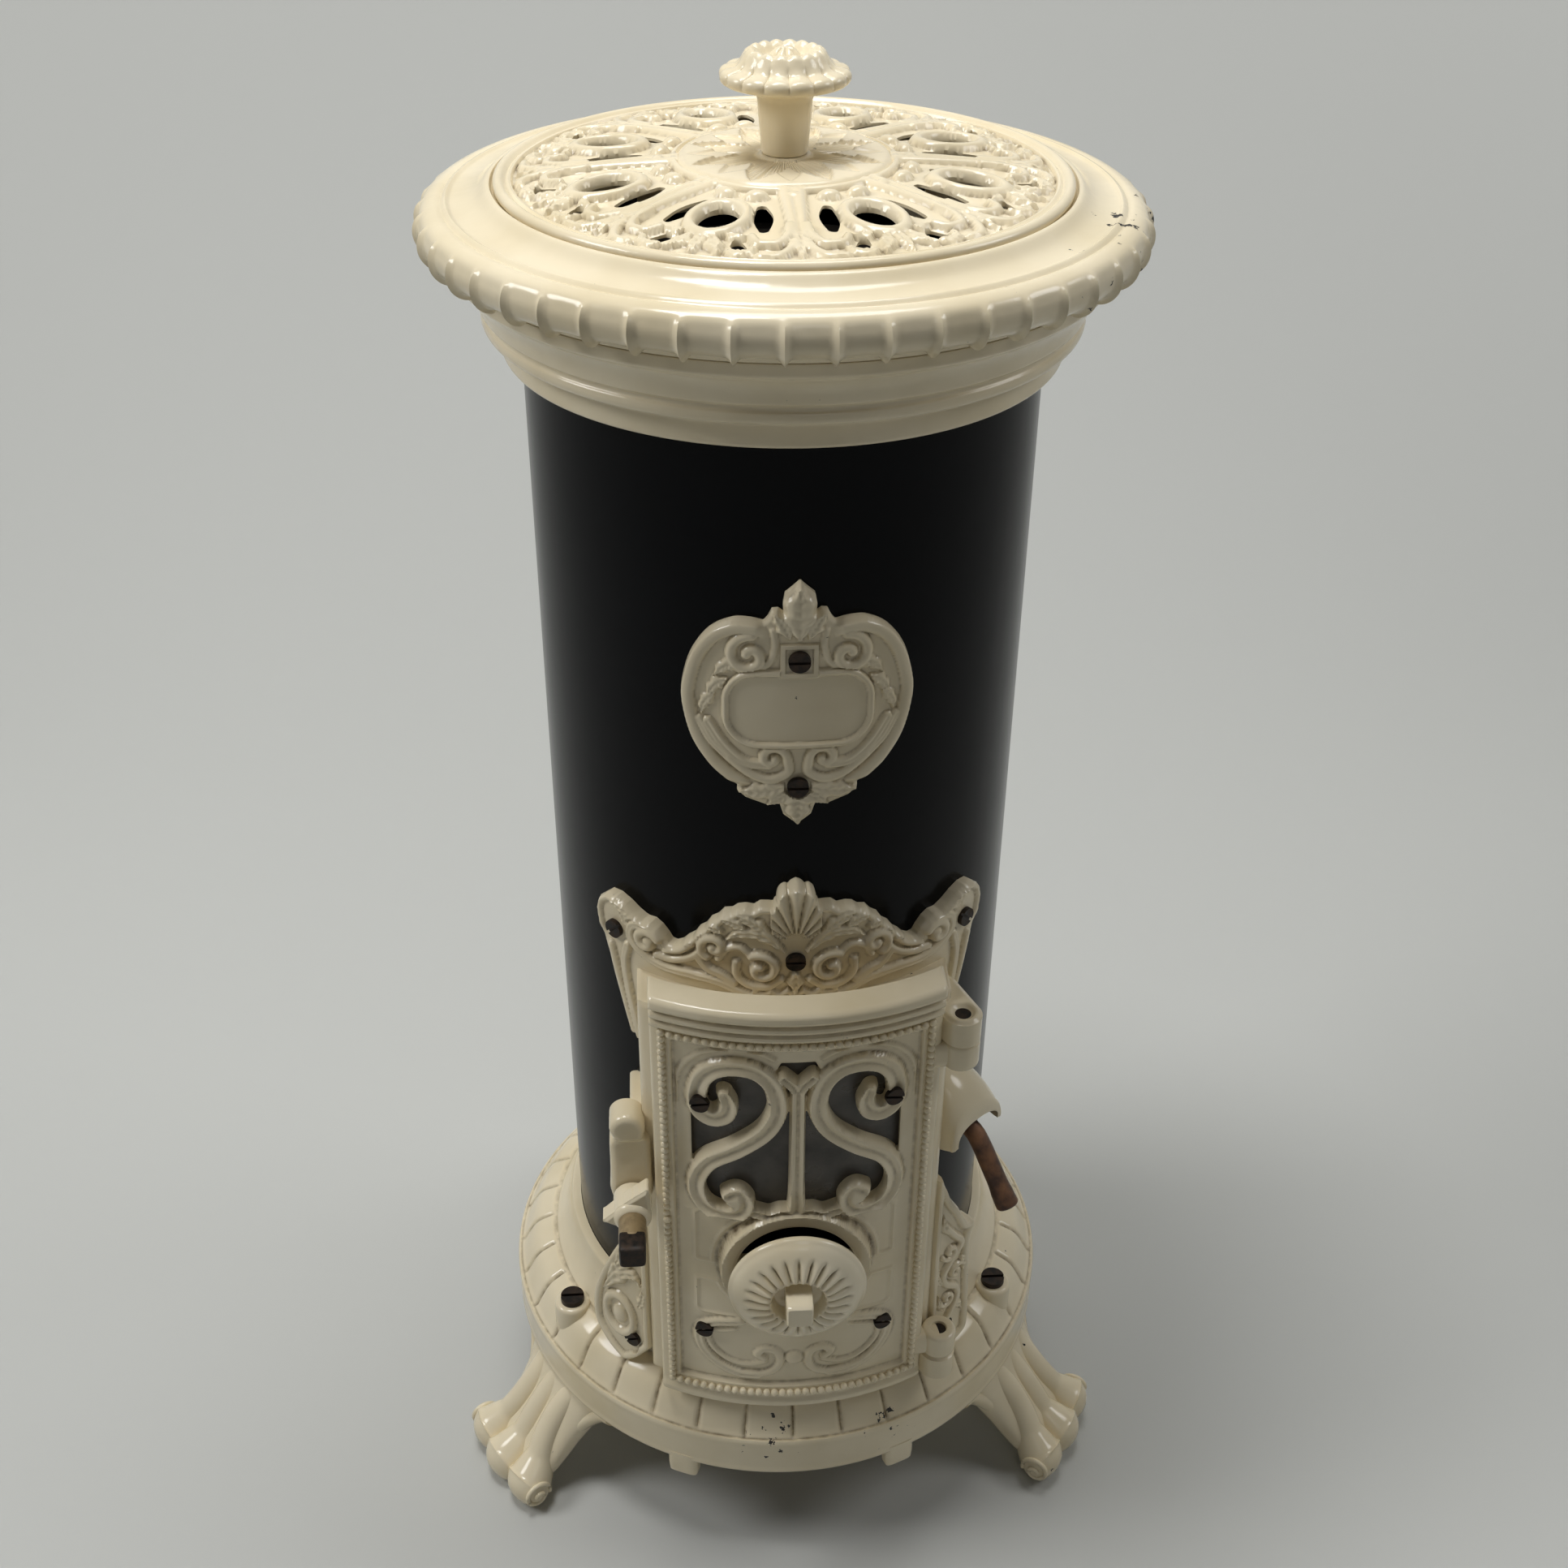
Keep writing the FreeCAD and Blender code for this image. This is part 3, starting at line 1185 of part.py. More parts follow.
def latch_cam():
    """Turn latch: pointed cam on a spindle, with a square end for the lift-off handle."""

    def spot(reach, turn):
        return LATCH_X + reach * cos(radians(turn)), LATCH_Z + reach * sin(radians(turn))

    spread = degrees(acos(LATCH_HUB_R / LATCH_NOSE))
    tail_spread = degrees(acos(LATCH_HUB_R / LATCH_TAIL))
    nose = front_prism(
        [
            (LATCH_X, LATCH_Z),
            spot(LATCH_HUB_R, LATCH_NOSE_DEG - spread),
            spot(LATCH_NOSE, LATCH_NOSE_DEG),
            spot(LATCH_HUB_R, LATCH_NOSE_DEG + spread),
        ],
        LATCH_CAM_BACK,
        LATCH_CAM_FRONT,
    )
    tail = front_prism(
        [
            (LATCH_X, LATCH_Z),
            spot(LATCH_HUB_R, LATCH_TAIL_DEG - tail_spread),
            spot(LATCH_TAIL, LATCH_TAIL_DEG),
            spot(LATCH_HUB_R, LATCH_TAIL_DEG + tail_spread),
        ],
        LATCH_CAM_BACK,
        LATCH_CAM_FRONT,
    )
    hub = rod_between(
        V(LATCH_X, -LATCH_CAM_BACK, LATCH_Z), V(LATCH_X, -LATCH_CAM_FRONT, LATCH_Z), LATCH_HUB_R
    )
    collar_face = LATCH_LUG_FRONT + FIT
    washer = rod_between(V(LATCH_X, -collar_face, LATCH_Z), V(LATCH_X, -LATCH_CAM_BACK, LATCH_Z), LATCH_HUB_R)
    tail_end = LATCH_LUG_BACK - LATCH_NUT_H - OVERRUN
    front = LATCH_CAM_FRONT + LATCH_STUB
    cam_mid = V(LATCH_X, -LATCH_CAM_BACK, LATCH_Z)
    spindle = rod_between(V(LATCH_X, -tail_end, LATCH_Z), cam_mid, LATCH_SPINDLE_R - RUN_FIT)
    stub = rod_between(cam_mid, V(LATCH_X, -front, LATCH_Z), LATCH_STUB_R)
    half = LATCH_SQUARE / 2
    square = front_prism(
        rectangle(LATCH_X - half, LATCH_X + half, LATCH_Z - half, LATCH_Z + half),
        front,
        front + LATCH_SQUARE_LONG,
    )
    return fused([hub, nose, tail, washer, spindle, stub, square])


def latch_nut():
    """Nut that keeps the latch spindle in its lug."""
    back = LATCH_LUG_BACK - FIT
    seat = V(LATCH_X, -back, LATCH_Z)
    return hex_nut(seat, FRONT * -1, LATCH_NUT_R, LATCH_NUT_H, LATCH_SPINDLE_R - RUN_FIT)


# Door
def door_slice(outer_r, inner_r, half, z0, z1):
    """Curved slab of the door between two radii."""
    shell = tube(outer_r, inner_r, z0, z1)
    return shell.common(front_prism(rectangle(-half, half, z0, z1), 0, 2 * PLATE_R))


def arc_stroke(cx, cz, radius, start, end, stroke):
    """Flat arc of a scroll between two angles in degrees, as an outline."""
    inner, outer = radius - stroke / 2, radius + stroke / 2

    def spot(reach, turn):
        return cx + reach * cos(radians(turn)), cz + reach * sin(radians(turn))

    middle = (start + end) / 2
    return [
        spot(inner, start),
        (spot(inner, middle), spot(inner, end)),
        spot(outer, end),
        (spot(outer, middle), spot(outer, start)),
    ]


def scroll_strokes():
    """Outlines of the right hand S scroll: top curl, slanting body, lower curl and two buds."""
    turn = degrees(atan2(SCROLL_LOW_Z - SCROLL_TOP_Z, SCROLL_LOW_X - SCROLL_TOP_X))
    gap = hypot(SCROLL_LOW_X - SCROLL_TOP_X, SCROLL_LOW_Z - SCROLL_TOP_Z)
    cross = degrees(acos((SCROLL_TOP_R + SCROLL_LOW_R) / gap))
    leave = turn - cross
    top = arc_stroke(SCROLL_TOP_X, SCROLL_TOP_Z, SCROLL_TOP_R, CURL_START_DEG, leave + 2 * HALF_TURN, STROKE)
    low_end = leave - CURL_END_DEG
    low = arc_stroke(SCROLL_LOW_X, SCROLL_LOW_Z, SCROLL_LOW_R, leave + HALF_TURN, low_end, STROKE)
    a = radians(leave)
    start = (SCROLL_TOP_X + SCROLL_TOP_R * cos(a), SCROLL_TOP_Z + SCROLL_TOP_R * sin(a))
    end = (SCROLL_LOW_X - SCROLL_LOW_R * cos(a), SCROLL_LOW_Z - SCROLL_LOW_R * sin(a))
    side = (STROKE / 2 * cos(a), STROKE / 2 * sin(a))
    body = [
        (start[0] - side[0], start[1] - side[1]),
        (start[0] + side[0], start[1] + side[1]),
        (end[0] + side[0], end[1] + side[1]),
        (end[0] - side[0], end[1] - side[1]),
    ]
    return [top, body, low]


def scroll_grille():
    """Mirrored S scrolls and a forked stem that fill the window of the door."""
    far = 2 * PLATE_R
    right = [front_prism(path, 0, far) for path in scroll_strokes()]
    bud_top = rod_between(
        V(SCROLL_TOP_X + SCROLL_TOP_R, 0, SCROLL_TOP_Z - STROKE / 2),
        V(SCROLL_TOP_X + SCROLL_TOP_R, -far, SCROLL_TOP_Z - STROKE / 2),
        STROKE * 3 / 5,
    )
    bud_low = rod_between(
        V(SCROLL_LOW_X - SCROLL_LOW_R, 0, SCROLL_LOW_Z - STROKE / 2),
        V(SCROLL_LOW_X - SCROLL_LOW_R, -far, SCROLL_LOW_Z - STROKE / 2),
        STROKE * 3 / 5,
    )
    right += [bud_top, bud_low]
    stem = front_prism(rectangle(-STEM_HALF, STEM_HALF, WINDOW_BOTTOM, SCROLL_TOP_Z), 0, far)
    foot = front_prism(
        rectangle(-SCROLL_LOW_X, SCROLL_LOW_X, WINDOW_BOTTOM, WINDOW_BOTTOM + STEM_HALF), 0, far
    )
    fork_x = SCROLL_TOP_X - SCROLL_TOP_R
    fork = front_prism(
        [
            (-STEM_HALF, SCROLL_TOP_Z - 2 * STEM_HALF),
            (STEM_HALF, SCROLL_TOP_Z - 2 * STEM_HALF),
            (fork_x, SCROLL_TOP_Z + STEM_HALF),
            (0, SCROLL_TOP_Z - STEM_HALF / 2),
            (-fork_x, SCROLL_TOP_Z + STEM_HALF),
        ],
        0,
        far,
    )
    flat = fused(right + [mirrored(piece) for piece in right] + [stem, foot, fork])
    skin = door_slice(SCROLL_FACE_R, pane_face_r(), WINDOW_HALF + STROKE / 2, WINDOW_BOTTOM, WINDOW_TOP)
    return flat.common(skin)


def pane_face_r():
    """Radius of the recess wall in front of the mica pane."""
    return DOOR_BACK_R + PANE_T + FIT


def door():
    """Curved door: stepped head, raised border, scroll window, air seat with its bridge, knuckles."""
    body = door_slice(DOOR_FIELD_R, DOOR_BACK_R, DOOR_HALF, DOOR_BOTTOM, DOOR_TOP)
    border = door_slice(DOOR_BORDER_R, DOOR_BACK_R, DOOR_HALF, DOOR_BOTTOM, DOOR_TOP)
    head = DOOR_TOP - DOOR_STEP_COUNT * DOOR_STEP_H
    field = front_prism(
        rectangle(
            DOOR_BORDER - DOOR_HALF,
            DOOR_HALF - DOOR_BORDER,
            DOOR_BOTTOM + DOOR_BORDER,
            head - DOOR_BORDER / 2,
        ),
        0,
        2 * PLATE_R,
    )
    pieces = [body, border.cut(field)]
    for k in range(DOOR_STEP_COUNT):
        reach = DOOR_BORDER_R + DOOR_STEP_OUT * (k + 1)
        pieces.append(door_slice(reach, DOOR_BACK_R, DOOR_HALF, head + DOOR_STEP_H * k, DOOR_TOP))
    seat = rod_between(V(0, 0, AIR_Z), V(0, -AIR_SEAT_Y, AIR_Z), AIR_SEAT_R)
    pieces.append(seat.cut(Part.makeCylinder(DOOR_BACK_R, CORNICE_TOP_Z)))
    edge = V(DOOR_HALF - HINGE_ARM / 2, HINGE_Y, 0)
    behind = Part.makeCylinder(DOOR_BACK_R, CORNICE_TOP_Z)
    pieces += [hinge_lug(z, edge).cut(behind) for z in (KNUCKLE_TOP_Z, KNUCKLE_LOW_Z)]
    solid = fused(pieces)
    window = front_prism(rectangle(-WINDOW_HALF, WINDOW_HALF, WINDOW_BOTTOM, WINDOW_TOP), 0, 2 * PLATE_R)
    corners = [e for e in window.Edges if abs(e.Vertexes[0].Y - e.Vertexes[1].Y) > PLATE_R]
    window = window.makeFillet(WINDOW_CORNER, corners)
    recess = door_slice(
        pane_face_r(),
        DOOR_BACK_R - FIT,
        WINDOW_HALF + PANE_LAP,
        WINDOW_BOTTOM - PANE_LAP,
        WINDOW_TOP + PANE_LAP,
    )
    air = rod_between(V(0, 0, AIR_Z), V(0, -2 * PLATE_R, AIR_Z), AIR_HOLE_R)
    bridge_back = DOOR_BACK_R + FIT
    bar = Part.makeBox(2 * AIR_HOLE_R + 2 * OVERRUN, AIR_BAR_T, 2 * AIR_BAR_HALF)
    bar.translate(V(-AIR_HOLE_R - OVERRUN, -bridge_back, AIR_Z - AIR_BAR_HALF))
    hub = rod_between(V(0, AIR_BAR_T - bridge_back, AIR_Z), V(0, -bridge_back, AIR_Z), AIR_HUB_R)
    stud = rod_between(V(0, 0, AIR_Z), V(0, -2 * PLATE_R, AIR_Z), AIR_STUD_R)
    solid = solid.cut([window, recess, air])
    solid = fused([solid, scroll_grille(), bar, hub]).cut([stud, hinge_bore(HINGE_PIN_R + RUN_FIT)])
    return drilled(solid, DOOR_SCREWS)


def window_pane():
    """Mica pane in the recess behind the scrolls."""
    play = PANE_LAP - FIT
    pane = door_slice(
        DOOR_BACK_R + PANE_T, DOOR_BACK_R, WINDOW_HALF + play, WINDOW_BOTTOM - play, WINDOW_TOP + play
    )
    return drilled(pane, DOOR_SCREWS)


def door_liner():
    """Plate behind the door that holds the pane and shields the door."""
    plate = door_slice(
        DOOR_BACK_R, DOOR_BACK_R - LINER_PLATE_T, LINER_PLATE_HALF, LINER_PLATE_BOTTOM, LINER_PLATE_TOP
    )
    window = front_prism(
        rectangle(
            PANE_LAP - WINDOW_HALF, WINDOW_HALF - PANE_LAP, WINDOW_BOTTOM + PANE_LAP, WINDOW_TOP - PANE_LAP
        ),
        0,
        2 * PLATE_R,
    )
    air = rod_between(V(0, 0, AIR_Z), V(0, -2 * PLATE_R, AIR_Z), AIR_HOLE_R + PANE_LAP)
    return drilled(plate.cut([window, air]), DOOR_SCREWS)


# Air control
DISC_BACK_Y = AIR_SEAT_Y + AIR_GAP
DISC_FRONT_Y = DISC_BACK_Y + AIR_RIM_T + AIR_DISH
STUD_BACK_Y = DOOR_BACK_R + FIT - AIR_BAR_T
STUD_FRONT_Y = DISC_FRONT_Y - AIR_RIM_T


def turned_on_air_axis(path):
    """Solid of revolution about the air control's axis from (radius, distance) points."""
    face = wire_face(path, lambda r, y: V(r, -y, AIR_Z))
    return face.revolve(V(0, 0, AIR_Z), FRONT, 360)


def air_stud():
    """Threaded stud on the bridge of the door."""
    return rod_between(V(0, -STUD_BACK_Y, AIR_Z), V(0, -STUD_FRONT_Y, AIR_Z), AIR_STUD_R)


def air_washer():
    """Washer that follows the disc along the stud."""
    ring = rod_between(V(0, -DISC_BACK_Y + AIR_WASHER_T, AIR_Z), V(0, -DISC_BACK_Y, AIR_Z), AIR_WASHER_R)
    bore = rod_between(V(0, 0, AIR_Z), V(0, -2 * PLATE_R, AIR_Z), AIR_STUD_R + RUN_FIT)
    return ring.cut(bore)


def air_disc():
    """Dished air disc with a round rim and a square peg for the lift-off handle."""
    rim_mid = DISC_BACK_Y + AIR_RIM_T / 2
    rim_front = DISC_BACK_Y + AIR_RIM_T
    shallow = AIR_RIM_T / 2
    solid = turned_on_air_axis(
        [
            (0, DISC_BACK_Y + FIT),
            (AIR_DISC_R - shallow, DISC_BACK_Y + FIT),
            ((AIR_DISC_R, rim_mid), (AIR_DISC_R - shallow, rim_front)),
            (AIR_DISC_R - AIR_RIM_T, rim_front),
            (AIR_BOSS_R, DISC_FRONT_Y),
            (AIR_BOSS_R - shallow, DISC_FRONT_Y),
            (AIR_BOSS_R - AIR_RIM_T, DISC_FRONT_Y - shallow),
            (0, DISC_FRONT_Y - shallow),
        ]
    )
    half = AIR_PEG / 2
    back = DISC_FRONT_Y - AIR_RIM_T
    peg = front_prism(rectangle(-half, half, AIR_Z - half, AIR_Z + half), back, back + AIR_PEG_LONG)
    bore = rod_between(V(0, 0, AIR_Z), V(0, -STUD_FRONT_Y - AIR_GAP, AIR_Z), AIR_STUD_R + RUN_FIT)
    return fused([solid, peg]).cut(bore)


NODES = {
    "base_plate": base_plate,
    "leg_bolts": lambda: screws(LEG_BOLTS, BOLT_SHANK_R, BOLT_HEAD_R, BOLT_HEAD_H),
    "drum_jacket": drum_jacket,
    "cornice_ring": cornice_ring,
    "rim_ring": rim_ring,
    "lid": lid,
    "lid_knob": lid_knob,
    "knob_stud": knob_stud,
    "knob_nut": lambda: hex_nut(V(0, 0, NUT_FOOT_Z), UP, NUT_R, NUT_H, STUD_R),
    "ash_floor": ash_floor,
    "ash_pan": ash_pan,
    "grate_carrier": grate_carrier,
    "grate": grate,
    "shaker_rod": shaker_rod,
    "firepot_liner": firepot_liner,
    "top_plate": top_plate,
    "feed_lid": feed_lid,
    "tie_rods": tie_rods,
    "tie_nuts": tie_nuts,
    "flue_collar": flue_collar,
    "flue_screws": lambda: screws(FLUE_SCREWS),
    "plaque": plaque,
    "plaque_screws": lambda: screws(PLAQUE_SCREWS),
    "door_frame": door_frame,
    "crest_screws": lambda: screws(CREST_SCREWS),
    "pilaster_screws": lambda: screws(PILASTER_SCREWS),
    "hinge_pins": hinge_pins,
    "latch_cam": latch_cam,
    "latch_nut": latch_nut,
    "door": door,
    "window_pane": window_pane,
    "door_liner": door_liner,
    "door_screws": lambda: screws(DOOR_SCREWS),
    "air_stud": air_stud,
    "air_washer": air_washer,
    "air_disc": air_disc,
}


def main():
    """Write one file per piece."""
    os.makedirs("parts", exist_ok=True)
    for name, make in NODES.items():
        make().exportStep(f"parts/{name}.step")
    for name, azimuth in zip(LEG_NAMES, LEG_AZ):
        leg(azimuth).exportStep(f"parts/{name}.step")


main()
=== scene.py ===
"""Dressed cylindrical wood stove: cream enamelled castings round a black enamelled drum.

Lengths are millimetres until a mesh is written, in the frame of the solids: the drum axis is
the Z axis, the floor is z = 0, the door faces -Y and azimuths go from the door towards +X.
"""

import json
import logging
import math
from dataclasses import dataclass, field
from enum import Enum
from functools import partial
from typing import Callable, Sequence

import bmesh
import bpy
import numpy as np
from mathutils import Matrix, Vector


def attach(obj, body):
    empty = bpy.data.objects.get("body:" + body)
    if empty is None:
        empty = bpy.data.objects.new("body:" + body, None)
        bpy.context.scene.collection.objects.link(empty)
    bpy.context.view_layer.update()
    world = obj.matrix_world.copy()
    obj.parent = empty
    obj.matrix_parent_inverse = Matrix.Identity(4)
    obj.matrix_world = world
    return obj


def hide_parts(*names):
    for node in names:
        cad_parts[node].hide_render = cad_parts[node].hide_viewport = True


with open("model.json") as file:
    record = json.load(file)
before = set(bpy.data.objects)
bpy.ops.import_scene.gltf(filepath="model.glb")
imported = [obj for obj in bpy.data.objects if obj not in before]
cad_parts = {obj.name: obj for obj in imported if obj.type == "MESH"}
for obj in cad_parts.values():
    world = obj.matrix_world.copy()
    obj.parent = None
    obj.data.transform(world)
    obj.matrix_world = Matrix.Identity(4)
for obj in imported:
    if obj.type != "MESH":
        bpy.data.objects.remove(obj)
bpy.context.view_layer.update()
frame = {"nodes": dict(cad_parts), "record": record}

log = logging.getLogger("stove")
Array = np.ndarray
Piece = bpy.types.Object
Span = tuple[float, float, int]
Shape = Callable[[Array, Array], Array]
Placer = Callable[[Array, Array, Array], Array]
MM = 0.001
UP = np.array([0.0, 0.0, 1.0])
SIDE = np.array([1.0, 0.0, 0.0])
DRUM_SEAT = 150.2  # radius at which the backs of castings lie on the drum
HINGE_X, HINGE_Y = 103.0, -168.0
LATCH_X, LATCH_Z = -105.0, 337.0
ROD_AZ, ROD_Z = 42.0, 349.5
AIR_Z = 288.0
CRISP_DEG = 42.0  # edges that turn more than this stay sharp


class Body(Enum):
    """Moving bodies that a piece can ride on."""

    STOVE = "stove_body"
    LID = "lid"
    DOOR = "door"
    AIR = "air_disc"
    LATCH = "latch"
    GRATE = "grate"


class Slot(Enum):
    """Material slots of the record."""

    CREAM = "cream"
    DRUM = "drum_enamel"
    IRON = "iron"
    DISC = "disc_enamel"
    STEEL = "steel"
    RUST = "rusty"
    LATCH = "latch_iron"
    SHEET = "sheet"
    MICA = "mica"


# Materials


def linear(code: str) -> tuple[float, float, float, float]:
    """Turn an sRGB hex colour into linear values.

    Args:
        code: Colour such as "#e8dcc0".

    Returns:
        Linear red, green, blue and an alpha of one.
    """
    parts = [int(code[k : k + 2], 16) / 255 for k in (1, 3, 5)]
    low = [c / 12.92 if c <= 0.04045 else ((c + 0.055) / 1.055) ** 2.4 for c in parts]
    return (low[0], low[1], low[2], 1.0)


def add(tree: bpy.types.NodeTree, kind: str, settings: dict | None = None, values: dict | None = None,
        links: dict | None = None) -> bpy.types.Node:
    """Add one node with its settings, socket values and incoming links.

    Args:
        tree: Node tree of a material or world.
        kind: Blender's name of the node type.
        settings: Attributes of the node itself.
        values: Input socket, by name or number, to a constant.
        links: Input socket, by name or number, to an output socket.

    Returns:
        The new node.
    """
    made = tree.nodes.new(kind)
    for key, value in (settings or {}).items():
        setattr(made, key, value)
    for key, value in (values or {}).items():
        made.inputs[key].default_value = value
    for key, source in (links or {}).items():
        tree.links.new(source, made.inputs[key])
    return made


def blank(name: str) -> tuple[bpy.types.Material, bpy.types.NodeTree]:
    """New material with an empty node tree."""
    material = bpy.data.materials.new(name)
    material.use_nodes = True
    material.node_tree.nodes.clear()
    return material, material.node_tree


RANGE, MATH, MIX, BUMP = "ShaderNodeMapRange", "ShaderNodeMath", "ShaderNodeMix", "ShaderNodeBump"
NOISE, COORDS = "ShaderNodeTexNoise", "ShaderNodeTexCoord"
PRINCIPLED, OUTPUT = "ShaderNodeBsdfPrincipled", "ShaderNodeOutputMaterial"
COLOUR = {"data_type": "RGBA"}
TIMES, LARGER = {"operation": "MULTIPLY"}, {"operation": "MAXIMUM"}
TIMES_PLUS = {"operation": "MULTIPLY_ADD"}
CLAMPED = {"operation": "MULTIPLY_ADD", "use_clamp": True}
# Sizes of the colour clouds, the specks of dirt and the chips of an enamel, in millimetres.
CLOUD_MM, SPECK_MM, NICK_MM = 71.4286, 6.25, 10.526316
CHIP_EDGE, CHIP_LIFT = 0.015, 0.165


@dataclass(frozen=True)
class Enamel:
    """Vitreous enamel fired on iron: a thick gloss glass coat that pools in hollows.

    The eye sees a clear sharp highlight, a gentle ripple, brownish dirt and painted shade in the hollows
    and small chips that bare the dark iron.
    """

    name: str
    colour: str
    shade: str
    dirt_and_shade: str
    chip: str
    roughness: float
    gloss: float
    ripple_mm: float
    chip_level: float
    chip_spots: tuple[tuple[float, float, float, float], ...] = ()

    def build(self) -> bpy.types.Material:
        """Make the material and return it."""
        material, tree = blank(self.name)
        place = add(tree, COORDS).outputs["Object"]
        tint = add(tree, NOISE, values={"Scale": 1000.0 / CLOUD_MM, "Detail": 3.0}, links={"Vector": place})
        cloud = add(tree, RANGE, values={1: 0.42, 2: 0.78}, links={0: tint.outputs["Fac"]})
        base = add(tree, MIX, COLOUR, {6: linear(self.colour), 7: linear(self.shade)}, {0: cloud.outputs[0]})
        # Hollow share: real dirt, and painted shade standing in for the shadow in the carving's hollows.
        hollow = add(tree, "ShaderNodeAttribute", {"attribute_name": "hollow"})
        speck = add(tree, NOISE, values={"Scale": 1000.0 / SPECK_MM, "Detail": 3.0}, links={"Vector": place})
        grain = add(tree, RANGE, values={1: 0.25, 2: 0.7}, links={0: speck.outputs["Fac"]})
        grime_and_shade = add(tree, MATH, TIMES, links={0: hollow.outputs["Fac"], 1: grain.outputs[0]})
        dirty_and_shaded = add(tree, MIX, COLOUR, {7: linear(self.dirt_and_shade)}, {0: grime_and_shade.outputs[0], 6: base.outputs[2]})
        nick = add(tree, NOISE, values={"Scale": 1000.0 / NICK_MM, "Detail": 4.0, "Roughness": 0.62},
                   links={"Vector": place})
        reach = {1: self.chip_level, 2: self.chip_level + CHIP_EDGE}
        bare = add(tree, RANGE, values=reach, links={0: nick.outputs["Fac"]}).outputs[0]
        for x, y, z, size in self.chip_spots:
            away = add(tree, "ShaderNodeVectorMath", {"operation": "DISTANCE"}, {1: (x * MM, y * MM, z * MM)},
                       {0: place})
            near = add(tree, RANGE, values={1: size * MM, 2: size * MM * 0.2},
                       links={0: away.outputs["Value"]})
            lift = add(tree, MATH, TIMES_PLUS, {1: CHIP_LIFT}, {0: near.outputs[0], 2: nick.outputs["Fac"]})
            local = add(tree, RANGE, values=reach, links={0: lift.outputs[0]})
            bare = add(tree, MATH, LARGER, links={0: bare, 1: local.outputs[0]}).outputs[0]
        final = add(tree, MIX, COLOUR, {7: linear(self.chip)}, {0: bare, 6: dirty_and_shaded.outputs[2]})
        wave = add(tree, NOISE, values={"Scale": 1000.0 / self.ripple_mm, "Detail": 2.0},
                   links={"Vector": place})
        relief = add(tree, MATH, TIMES_PLUS, {1: -0.8}, {0: bare, 2: wave.outputs["Fac"]})
        bump = add(tree, BUMP, values={"Strength": 0.25, "Distance": 0.0009},
                   links={"Height": relief.outputs[0]})
        dull = add(tree, MATH, CLAMPED, {1: 0.45, 2: self.roughness}, {0: bare})
        rough = add(tree, MATH, CLAMPED, {1: 0.25},
                    {0: grime_and_shade.outputs[0], 2: dull.outputs[0]})
        shader = add(tree, PRINCIPLED, values={"IOR": 1.5, "Specular IOR Level": self.gloss},
                     links={"Base Color": final.outputs[2], "Roughness": rough.outputs[0],
                            "Normal": bump.outputs["Normal"]})
        add(tree, OUTPUT, links={"Surface": shader.outputs[0]})
        return material


@dataclass(frozen=True)
class Metal:
    """Bare or oxidised iron, and the pane: mottled colour, broken highlights and a fine pitted surface."""

    name: str
    colour: str
    patch: str
    metallic: float
    roughness: float
    patch_mm: float
    pit_mm: float
    pit_depth: float

    def build(self) -> bpy.types.Material:
        """Make the material and return it."""
        material, tree = blank(self.name)
        place = add(tree, COORDS).outputs["Object"]
        patch = add(tree, NOISE, values={"Scale": 1000.0 / self.patch_mm, "Detail": 5.0},
                    links={"Vector": place})
        spread = add(tree, RANGE, values={1: 0.38, 2: 0.66}, links={0: patch.outputs["Fac"]}).outputs[0]
        colour = add(tree, MIX, COLOUR, {6: linear(self.colour), 7: linear(self.patch)}, {0: spread})
        pits = add(tree, NOISE, values={"Scale": 1000.0 / self.pit_mm, "Detail": 4.0},
                   links={"Vector": place})
        bump = add(tree, BUMP, values={"Strength": 0.5, "Distance": self.pit_depth * MM},
                   links={"Height": pits.outputs["Fac"]})
        rough = add(tree, MATH, CLAMPED, {1: 0.22, 2: self.roughness}, {0: spread})
        shader = add(tree, PRINCIPLED, values={"Metallic": self.metallic},
                     links={"Base Color": colour.outputs[2], "Roughness": rough.outputs[0],
                            "Normal": bump.outputs["Normal"]})
        add(tree, OUTPUT, links={"Surface": shader.outputs[0]})
        return material


# Places where chips gather: middle and reach, in millimetres.
CHIPS = (
    (178.0, -70.0, 938.0, 46.0),
    (150.0, -118.0, 918.0, 34.0),
    (199.0, -30.0, 921.0, 30.0),
    (-10.0, -194.0, 122.0, 40.0),
    (70.0, -187.0, 118.0, 36.0),
    (-60.0, -150.0, 905.0, 22.0),
)

